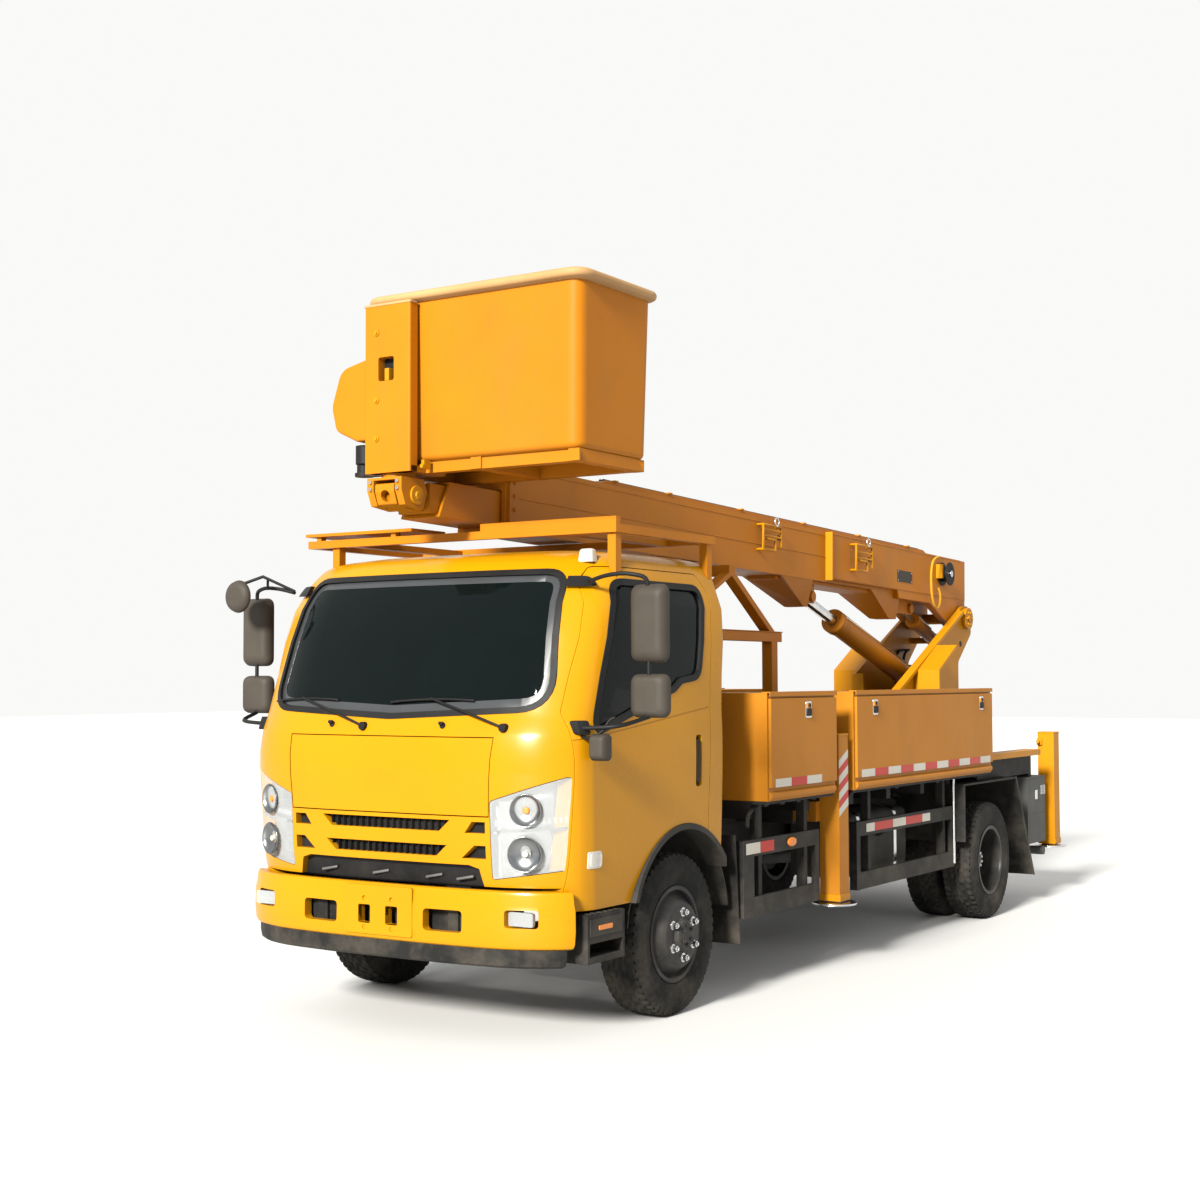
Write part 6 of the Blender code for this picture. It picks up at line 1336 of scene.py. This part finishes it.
for name, s0, s1, h0, h1, half in (("a", 1.86, 2.13, 0.235, 0.415, BASE_REAR),
                                   ("b", 3.22, 3.47, 0.270, 0.430, BASE_HALF)):
    wire = [on_boom(half + 0.045, s, h) for s, h in ((s0, h0 + 0.03), (s0, h1), (s1, h1), (s1, h0),
            (s0 + 0.08, h0), (s0 + 0.08, h0 + 0.07), (s1 - 0.05, h0 + 0.07))]
    legs = [pipe([on_boom(half - 0.002, s, h), on_boom(half + 0.045, s, h)], 0.008, 8) for s,
            h in ((s0, h1), (s1, h1), (s1, h0))]
    rungs = [pipe([on_boom(half + 0.045, s0, h), on_boom(half + 0.045, s1, h)], 0.006, 8)
             for h in (h0 + 0.09, h0 + 0.13)]
    piece(f"boom_bracket_{name}", fuse(pipe(wire, 0.008, 8), *legs, *rungs), "turret_yellow", "base_boom",
          bevel=0)
    ring_mid = on_boom(half + 0.05, s0 + 0.07, h1 + 0.028)
    ring = [[Vector(ring_mid) + Vector((0, math.cos(a), math.sin(a))) * (0.026 + 0.006 * math.cos(b))
             + Vector((0.006 * math.sin(b), 0, 0))
             for b in [2 * math.pi * k / 8 for k in range(8)]]
            for a in [2 * math.pi * i / 28 for i in range(28)]]
    piece(f"boom_ring_{name}", loft(ring, closed=True), "steel", "base_boom", bevel=0)
    piece(f"boom_port_{name}", bar(on_boom(half - 0.001, s0 - 0.05, h0 + 0.10),
                                   on_boom(half + 0.003, s0 - 0.05, h0 + 0.10), 0.019, 24),
          "black", "base_boom", bevel=0.001)
piece("boom_blank_plate", boom_box(BASE_REAR + 0.0035, (1.02, 1.30), (0.215, 0.300)), "mirror_plastic",
      "base_boom", bevel=0.001)

piece("boom_blank_plate_rivets", fuse(*[bar(on_boom(BASE_REAR + 0.002, s, h),
                                            on_boom(BASE_REAR + 0.0055, s, h), 0.005, 12)
                                        for s in (1.035, 1.285) for h in (0.225, 0.290)]), "steel",
      "base_boom", bevel=0)
reel_mid = (0.42, 0.330)
reel_start, reel_end = on_boom(BASE_REAR - 0.001, *reel_mid), on_boom(BASE_REAR + 0.075, *reel_mid)
piece("boom_reel_drum", bar(reel_start, reel_end, 0.060, 40), "black", "base_boom", bevel=0.003)
piece("boom_reel_rims", fuse(bar(on_boom(BASE_REAR + 0.006, *reel_mid), on_boom(BASE_REAR + 0.014, *reel_mid),
                                 0.092, 40),
                             bar(on_boom(BASE_REAR + 0.068, *reel_mid), on_boom(BASE_REAR + 0.076, *reel_mid),
                                 0.092, 40)),
      "black", "base_boom")
piece("boom_reel_hub", bar(on_boom(BASE_REAR + 0.074, *reel_mid), on_boom(BASE_REAR + 0.090, *reel_mid),
                           0.026, 24), "steel", "base_boom", bevel=0.003)
bracket_arm = boom_box(BASE_REAR + 0.050, (0.500, 0.530), (0.290, 0.400))
piece("boom_reel_arm", common(bracket_arm, box((BASE_REAR - 0.001, 0, 0), (1, 9, 9))), "turret_yellow",
      "base_boom")
hose_line = [on_boom(x, s, h) for x, s, h in
             ((0.200, 0.560, 0.440), (0.236, 0.590, 0.448), (0.246, 0.660, 0.440), (0.246, 0.735, 0.400),
              (0.244, 0.762, 0.320), (0.244, 0.764, 0.230),
              (0.244, 0.745, 0.130), (0.242, 0.690, 0.060), (0.238, 0.620, 0.050), (0.232, 0.560, 0.095),
              (0.222, 0.530, 0.170), (0.205, 0.520, 0.215))]
piece("boom_hose_pipe", pipe(smooth(hose_line, 4), 0.009, 12), "hose", "base_boom", bevel=0)
clips = [boom_box(0.125, (s, s + 0.035), (0.508, 0.517)) for s in (0.9, 1.8, 2.7, 3.6, 4.5, 5.1)]
piece("boom_strip_clips", common(fuse(*clips), box((0.015, -9, 0), (0.125, 9, 9))), "turret_yellow",
      "base_boom", bevel=0.001)
lines = [pipe([on_boom(x, 0.62, 0.514), on_boom(x, 5.18, 0.514)], 0.009, 10) for x in (0.050, 0.072)]
piece("boom_top_lines", fuse(*lines), "black", "base_boom", bevel=0)
bolts = [bar(on_boom(side * (BASE_HALF + 0.015), 6.16, h), on_boom(side * (BASE_HALF + 0.026), 6.16, h),
             0.011, 6)
         for side in (-1, 1) for h in (0.17, 0.24, 0.31, 0.38, 0.44)]
piece("boom_collar_bolts", fuse(*bolts), "boom_orange", "base_boom", bevel=0.001)

# Nose of the boom: pin caps, bolts and a rounded link casting
for side, tag in ((1, "left"), (-1, "right")):
    y, z = boom_point(LEVEL_S, LEVEL_H)
    cap = bar((side * 0.1045, y, z), (side * 0.116, y, z), 0.046, 32)
    piece(f"head_pin_cap_{tag}", fuse(cap, bar((side * 0.115, y, z), (side * 0.124, y, z), 0.020, 6)),
          "turret_yellow", "platform_head")
y0, z0 = boom_point(LEVEL_S, LEVEL_H)
casting = cut(prism("x", rounded([(y0 - 0.107, z0 + 0.015), (y0 - 0.085, z0 - 0.046),
                                  (y0 - 0.020, z0 - 0.062), (y0 + 0.020, z0 - 0.058),
                                  (y0 + 0.020, z0 - 0.020), (y0 - 0.060, z0 + 0.055),
                                  (y0 - 0.107, z0 + 0.055)], 0.016, 4), -0.058, 0.058),
              bar((0, y0 - 0.14, z0 - 0.006), (0, y0 - 0.02, z0 - 0.006), 0.028, 24))
casting = cut(casting, bar((-0.2, y0, z0), (0.2, y0, z0), 0.070, 32))
piece("head_casting", casting, "boom_orange", "platform_head", bevel=0.003)
head_bolts = [bar((x, y0 - 0.1105, z0 + dz), (x, y0 - 0.120, z0 + dz), 0.010, 6) for x in (-0.082, 0.082)
              for dz in (0.028, 0.062)]
piece("head_bolts", fuse(*head_bolts), "steel", "platform_head", bevel=0.001)

# Turret: bent wing plates, flanges, pivot bosses and hoses
SLEW_Y, BASE_LOW, INNER, OUTER = 2.640, 1.1104, 0.200, 0.225
foot = (1.980, 1.560)


def turret_plate(side):
    start = [(SLEW_Y - 0.340, 1.13), foot]
    if side < 0:
        start = [(SLEW_Y - 0.400, 1.13), (SLEW_Y - 0.400, 1.683)]
    outline = [(*p, 0.0) for p in start] + [(PIVOT_Y - 0.130, PIVOT_Z + 0.060, 0.03),
                                            (PIVOT_Y - 0.060, PIVOT_Z + 0.100, 0.06),
                                            (PIVOT_Y + 0.060, PIVOT_Z + 0.100, 0.06),
                                            (PIVOT_Y + 0.120, PIVOT_Z + 0.020, 0.05),
                                            (PIVOT_Y + 0.125, PIVOT_Z - 0.120, 0.05),
                                            (SLEW_Y + 0.640, 1.780, 0.06),
                                            (SLEW_Y + 0.640, 1.500, 0.06), (SLEW_Y + 0.34, 1.13, 0)]
    return sided(prism("x", rounded(outline, 0.03, 5), INNER, OUTER), side)


base = turned("z", (0, SLEW_Y, 0), [(BASE_LOW, 0), (BASE_LOW, 0.352), (BASE_LOW + 0.004, 0.360),
                                    (BASE_LOW + 0.030, 0.360),
                                    (BASE_LOW + 0.035, 0.354), (BASE_LOW + 0.035, 0)], 72)
shapes = [base]
top = (PIVOT_Y - 0.130, PIVOT_Z + 0.060)
slope = (Vector(top) - Vector(foot)).normalized()
normal = Vector((slope.y, -slope.x)) * 0.025
shapes.append(prism("x", [tuple(Vector(foot) + normal), tuple(Vector(top) + normal), top, foot], INNER,
                    OUTER + 0.040))
shapes.append(box((-INNER - 0.004, SLEW_Y - 0.400, BASE_LOW + 0.02), (-INNER + 0.065, SLEW_Y - 0.378, 1.690)))
wing = [(SLEW_Y - 0.285, BASE_LOW + 0.02), (SLEW_Y - 0.285, 1.715), (SLEW_Y + 0.080, 1.905),
        (SLEW_Y + 0.095, 1.882),
        (SLEW_Y - 0.260, 1.697), (SLEW_Y - 0.260, BASE_LOW + 0.02)]
for side in (-1, 1):
    shapes.append(turret_plate(side))
    shapes.append(sided(prism("x", wing, OUTER - 0.004, 0.430), side))
    shapes.append(sided(bar((INNER, PIVOT_Y, PIVOT_Z), (OUTER + 0.035, PIVOT_Y, PIVOT_Z), 0.085, 40), side))
shapes.append(box((-INNER - 0.01, SLEW_Y + 0.600, 1.300), (INNER + 0.01, SLEW_Y + 0.630, 1.760)))
shapes.append(box((-INNER - 0.01, SLEW_Y - 0.30, BASE_LOW + 0.02), (INNER + 0.01, SLEW_Y - 0.27, 1.350)))
ear = [(LIFT_PIN[0] - 0.10, BASE_LOW + 0.02, 0), (LIFT_PIN[0] - 0.06, LIFT_PIN[1] + 0.05, 0.03),
       (LIFT_PIN[0] + 0.06, LIFT_PIN[1] + 0.05, 0.03),
       (LIFT_PIN[0] + 0.14, BASE_LOW + 0.02, 0)]
for side in (-1, 1):
    shapes.append(sided(prism("x", rounded(ear, 0.03, 5), 0.084, 0.109), side))
shapes.append(bar((-0.098, *LIFT_PIN), (0.098, *LIFT_PIN), CYLINDER_PIN_RADIUS, 32))
shapes.append(bar((-0.21, *LEVEL_PIN), (0.21, *LEVEL_PIN), CYLINDER_PIN_RADIUS, 32))
shapes.append(bar((-0.22, PIVOT_Y, PIVOT_Z), (0.22, PIVOT_Y, PIVOT_Z), 0.042, 40))
piece("turret_plates", fuse(*shapes), "turret_yellow", "turret", ["turret"], 0.003)
for side, tag in ((1, "left"), (-1, "right")):
    ribs = [bar((side * (OUTER + 0.034), PIVOT_Y + 0.052 * math.cos(a), PIVOT_Z + 0.052 * math.sin(a)),
                (side * (OUTER + 0.046), PIVOT_Y + 0.052 * math.cos(a), PIVOT_Z + 0.052 * math.sin(a)), 0.010,
                6)
            for a in [2 * math.pi * k / 6 for k in range(6)]]
    cap = bar((side * (OUTER + 0.034), PIVOT_Y, PIVOT_Z), (side * (OUTER + 0.044), PIVOT_Y, PIVOT_Z), 0.026,
              32)
    piece(f"pivot_bolts_{tag}", fuse(cap, *ribs), "turret_yellow", "turret", bevel=0.0015)
slew_bolts = [bar((0.327 * math.cos(a), SLEW_Y + 0.327 * math.sin(a), BASE_LOW + 0.033),
                  (0.327 * math.cos(a), SLEW_Y + 0.327 * math.sin(a), BASE_LOW + 0.050), 0.012, 6)
              for a in [2 * math.pi * k / 18 for k in range(18)]]
piece("slew_bolts", fuse(*slew_bolts), "steel", "turret", bevel=0.001)
port = bar((OUTER - 0.001, 3.330, 1.925), (OUTER + 0.003, 3.330, 1.925), 0.022, 24)
piece("turret_port", port, "black", "turret", bevel=0.001)
for name, x, y1, bend in (("a", 0.150, 2.85, 0.10), ("b", 0.165, 2.92, 0.14), ("c", -0.150, 2.88, 0.12),
                          ("d", -0.168, 2.80, 0.09)):
    points = [(x, y1, 1.150), (x, y1 + 0.01, 1.300), (x * 0.95, y1 + bend, 1.450),
              (x * 0.9, y1 + bend + 0.10, 1.560),
              (x * 0.95, y1 + bend + 0.12, 1.680), (x, y1 + bend + 0.06, 1.770),
              (x * 1.05, y1 + bend + 0.10, 1.840), (x * 1.1, 3.215, 1.880)]
    piece(f"turret_pipe_{name}", pipe(smooth(points, 4), 0.011, 12), "black", "turret", bevel=0)
block = fuse(box((-0.10, 3.130, 1.500), (0.10, 3.238, 1.620)),
             *[bar((x, 3.10, 1.56), (x, 3.135, 1.56), 0.018, 12) for x in (-0.06, 0, 0.06)])
piece("turret_valve_block", block, "engine_grey", "turret", bevel=0.003)

# Cylinder fittings
for name, pin, eye, bore, barrel, body in (("lift", LIFT_PIN, (2.520, 0.026), 0.078, 1.420, "lift_barrel"),
                                           ("level", LEVEL_PIN, (0.800, 0.040), 0.048, 0.460,
                                            "level_barrel")):
    start, end = Vector((0, *pin)), Vector((0, *boom_point(*eye)))
    along = (end - start).normalized()
    gland = turned("x", (0, 0, 0), [(barrel - 0.062, 0), (barrel - 0.062, bore + 0.006),
                                    (barrel - 0.056, bore + 0.011), (barrel + 0.006, bore + 0.011),
                                    (barrel + 0.0125, bore + 0.005), (barrel + 0.0125, bore * 0.62),
                                    (barrel + 0.02, bore * 0.60), (barrel + 0.02, 0)], 40)
    rod = 0.038 if name == "lift" else 0.022
    gland = cut(gland, bar((barrel - 0.2, 0, 0), (barrel + 0.1, 0, 0), rod + 0.0006, 40))
    turn = Vector((1, 0, 0)).rotation_difference(along).to_matrix().to_4x4()
    gland.transform(Matrix.Translation(start) @ turn)
    piece(f"{name}_gland", gland, "boom_orange", body, bevel=0.001)
    tube = turned("x", (0, 0, 0), [(0.035, 0.02), (0.035, bore - 0.004), (0.045, bore + 0.0006),
                                   (barrel - 0.055, bore + 0.0006), (barrel - 0.055, bore - 0.003),
                                   (barrel - 0.06, 0.02)], 40)
    tube = cut(tube, bar((0, 0, 0), (barrel, 0, 0), bore - 0.004, 40))
    tube.transform(Matrix.Translation(start) @ turn)
    piece(f"{name}_tube", tube, "boom_orange", body, bevel=0)
    up = along.cross(Vector((1, 0, 0))).normalized()
    if up.z < 0:
        up = -up
    runs = [start + along * 0.10 + up * (bore - 0.004), start + along * 0.10 + up * (bore + 0.022),
            start + along * (barrel - 0.10) + up * (bore + 0.022),
            start + along * (barrel - 0.04) + up * (bore - 0.004)]
    piece(f"{name}_pipe", pipe(runs, 0.008, 10), "steel", body, bevel=0)

# Bucket: moulded tub with a rolled rim, its mast, housing and motor

SWING_Y = -3.430
BX, BY, UNDER, FLOOR, BTOP = (-0.140, 1.060), (-3.460, -2.820), 2.635, 2.690, 3.500
MX, MY, MAST_TOP, WINDOW = (-0.130, 0.148), (-3.535, -3.480), 3.440, (3.075, 3.190)


def tub_loop(z, grow, at=None):
    t = (BTOP - (at or z)) / (BTOP - FLOOR)
    inset = 0.020 * t - grow
    x0, x1, y0, y1 = BX[0] + inset, BX[1] - inset, BY[0] + inset, BY[1] - inset
    return [(x, y, z) for x, y in rounded(rect(x0, y0, x1, y1), 0.070 + grow, 8)]


bottom = [(FLOOR, -0.026), (FLOOR + 0.002, -0.017), (FLOOR + 0.008, -0.008), (FLOOR + 0.017, -0.002),
          (FLOOR + 0.028, 0.0)]
outer = loft([tub_loop(z, g) for z, g in bottom] + [tub_loop(z, 0)
        for z in (2.9, 3.2, 3.40)] + [tub_loop(BTOP - 0.008, 0), tub_loop(BTOP - 0.002, -0.004),
                                      tub_loop(BTOP, -0.009)])
room = loft([tub_loop(FLOOR + 0.012, -0.045), tub_loop(FLOOR + 0.018, -0.026),
             tub_loop(FLOOR + 0.035, -0.014), tub_loop(FLOOR + 0.05, -0.012),
             tub_loop(3.2, -0.012), tub_loop(BTOP + 0.05, -0.012)])
piece("bucket_tub", cut(outer, room), "boom_orange", "bucket", ["bucket"], 0.002, 2, 40)
rim_rows = [(BTOP - 0.050, 0.0005), (BTOP - 0.048, 0.010), (BTOP - 0.042, 0.026), (BTOP - 0.036, 0.034),
            (BTOP - 0.026, 0.038), (BTOP - 0.014, 0.037),
            (BTOP - 0.005, 0.031), (BTOP, 0.020)]
rim = cut(loft([tub_loop(z, g, BTOP) for z, g in rim_rows]),
          loft([tub_loop(BTOP - 0.2, 0.0003, BTOP - 0.03), tub_loop(BTOP + 0.05, 0.0003, BTOP - 0.03)]))
piece("bucket_rim", rim, "pale", "bucket", bevel=0.0015)
shapes = []
for x in (BX[0] + 0.03, 0.42, BX[1] - 0.09):
    shapes.append(box((x, BY[0] + 0.04, UNDER), (x + 0.06, BY[1] - 0.04, FLOOR + 0.001)))
for y in (BY[0] + 0.05, BY[1] - 0.11):
    shapes.append(box((BX[0] + 0.03, y, UNDER), (BX[1] - 0.03, y + 0.06, FLOOR + 0.001)))
shapes.append(box((BX[0] + 0.03, MY[0] + 0.01, UNDER), (0.148, BY[0] + 0.2, UNDER + 0.03)))
piece("bucket_underframe", fuse(*shapes), "boom_orange", "bucket", bevel=0.003)
mast = cut(prism("z", rounded([(MX[0], MY[0], 0.012), (MX[1], MY[0], 0.012), (MX[1], MY[1] + 0.006, 0.004),
                               (MX[0], MY[1] + 0.006, 0.004)], 0.01, 5), UNDER, MAST_TOP),
           prism("y", rounded(rect(MX[0] + 0.085, WINDOW[0], MX[0] + 0.180, WINDOW[1]), 0.012, 4),
                 MY[0] - 0.1, MY[1] - 0.006))
back_plate = box((MX[0] + 0.03, MY[1], FLOOR + 0.06), (MX[1] - 0.03, BY[0] + 0.03, MAST_TOP - 0.06))
tub_cut = loft([tub_loop(z, 0.0005) for z in (FLOOR, 3.2, BTOP + 0.02)])
mast_shape = cut(fuse(mast, back_plate), tub_cut)
piece("bucket_mast", mast_shape, "boom_orange", "bucket", bevel=0.003)
liner_back = box((MX[0] + 0.086, MY[1] - 0.008, WINDOW[0] + 0.001),
                 (MX[0] + 0.179, MY[1] - 0.0055, WINDOW[1] - 0.001))
piece("mast_window_back", liner_back, "black", "bucket", bevel=0)
piece("mast_peg", box((MX[0] + 0.120, MY[0] + 0.004, WINDOW[0]),
                      (MX[0] + 0.146, MY[1] - 0.010, WINDOW[0] + 0.062)), "turret_yellow", "bucket",
      bevel=0.003)
mast_bolts = [fuse(bar((MX[0] + 0.075, MY[0] - 0.001, z), (MX[0] + 0.075, MY[0] - 0.005, z), 0.016, 28),
                   bar((MX[0] + 0.075, MY[0] - 0.004, z), (MX[0] + 0.075, MY[0] - 0.012, z), 0.010, 6))
              for z in (2.800, 2.985, 3.310)]
piece("mast_bolts", fuse(*mast_bolts), "turret_yellow", "bucket", bevel=0.001)
cap = prism("z", rounded(rect(MX[0] - 0.004, MY[0] - 0.003, MX[1] + 0.004, MY[1] + 0.004), 0.012, 4),
            MAST_TOP - 0.002, MAST_TOP + 0.010)
piece("mast_cap", cut(cap, tub_cut), "pale", "bucket")
profile = rounded([(0.51, -0.125, 0.0), (0.47, -0.30, 0.09), (0.29, -0.36, 0.10), (0.17, -0.33, 0.05),
                   (0.11, -0.20, 0.05), (0.11, -0.125, 0)], 0.05, 7)
housing = loft([[(x + c, y, FLOOR + z + d) for z, x, c, d in [(p[0], p[1], 0, 0) for p in grown(profile, g)]]
                for y, g in ((SWING_Y - 0.088, -0.014), (SWING_Y - 0.082, -0.004), (SWING_Y - 0.070, 0.0),
                             (SWING_Y + 0.074, 0.0), (SWING_Y + 0.086, -0.004), (SWING_Y + 0.092, -0.014))])
piece("bucket_housing", housing, "boom_orange", "bucket", (), 0.002, 2, 40)
split = cut(loft([[(x, y, FLOOR + z) for z, x in grown(profile, 0.0012)]
                  for y in (SWING_Y - 0.030, SWING_Y - 0.026)]), box((-0.131, -4, 2), (1, 0, 4)))
piece("housing_seam", split, "black", "bucket", bevel=0)
piece("bucket_motor", fuse(bar((-0.215, SWING_Y + 0.01, 2.700), (-0.215, SWING_Y + 0.01, 2.790), 0.052, 32),
                           bar((-0.225, SWING_Y + 0.01, 2.655), (-0.225, SWING_Y + 0.01, 2.702), 0.038, 32),
                           bar((-0.225, SWING_Y + 0.01, 2.640), (-0.225, SWING_Y + 0.01, 2.658), 0.048, 32),
                           box((-0.190, SWING_Y - 0.03, 2.640), (-0.10, SWING_Y + 0.05, 2.668))),
      "black", "bucket", bevel=0.003)
knob = fuse(box((0.175, BY[0] - 0.020, 2.648), (0.192, BY[0] + 0.03, 2.690)),
            bar((0.183, BY[0] - 0.03, 2.660), (0.183, BY[0] - 0.01, 2.660), 0.010, 14))
piece("bucket_latch", knob, "turret_yellow", "bucket")
box_inside = fuse(box((0.30, -3.420, 3.320), (0.62, -3.330, 3.460)),
                  *[bar((x, -3.375, 3.455), (x, -3.375, 3.500), 0.010, 14) for x in (0.36, 0.42, 0.48, 0.54)])
piece("bucket_controls", box_inside, "grey", "bucket", bevel=0.004)

# Rest: caps and foot plates; side underbody pipes, air tank and battery cover
for side, tag in ((1, "left"), (-1, "right")):
    cap = box((0.309, -1.596, 1.9395), (0.391, -0.140, 1.9445))
    piece(f"rest_cap_{tag}", sided(cap, side), "boom_orange", bevel=0.0015)
    foot_plates = [box((0.285, y - 0.06, 1.0005), (0.415, y + 0.06, 1.012)) for y in (-0.244, -1.560)]
    piece(f"rest_feet_{tag}", sided(fuse(*foot_plates), side), "boom_orange")
pipes = []
for x, z in ((0.60, 0.90), (0.64, 0.91), (-0.62, 0.90)):
    pipes.append(pipe(smooth([(x, -0.60, z - 0.10), (x, -0.45, z), (x, 0.20, z + 0.01), (x, 0.80, z),
                              (x, 1.10, z - 0.06)], 4), 0.010, 10))
piece("underbody_pipes", fuse(*pipes), "steel", bevel=0)
air_tank = [turned("y", (-0.640, 0.640, 0.640), [(-0.26, 0), (-0.25, 0.07), (-0.225, 0.105), (0.225, 0.105),
                                                 (0.25, 0.07), (0.26, 0)], 40),
            box((-0.66, 0.50, 0.70), (-0.425, 0.54, 0.75)), box((-0.66, 0.74, 0.70), (-0.425, 0.78, 0.75))]
piece("air_tank", fuse(*air_tank), "chassis_black")
cover = [box((-0.861, -0.252, 0.688), (-0.518, 0.302, 0.700)),
         *[box((-0.8625, y, 0.45), (-0.8595, y + 0.012, 0.68)) for y in (-0.16, -0.02, 0.12)]]
piece("battery_cover", fuse(*cover), "guard_grey")


for name, obj in nodes.items():
    look = "locker_orange" if name.startswith("outrigger_beam") else slots[name]
    dress(obj, look, 0.003)

low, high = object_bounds()
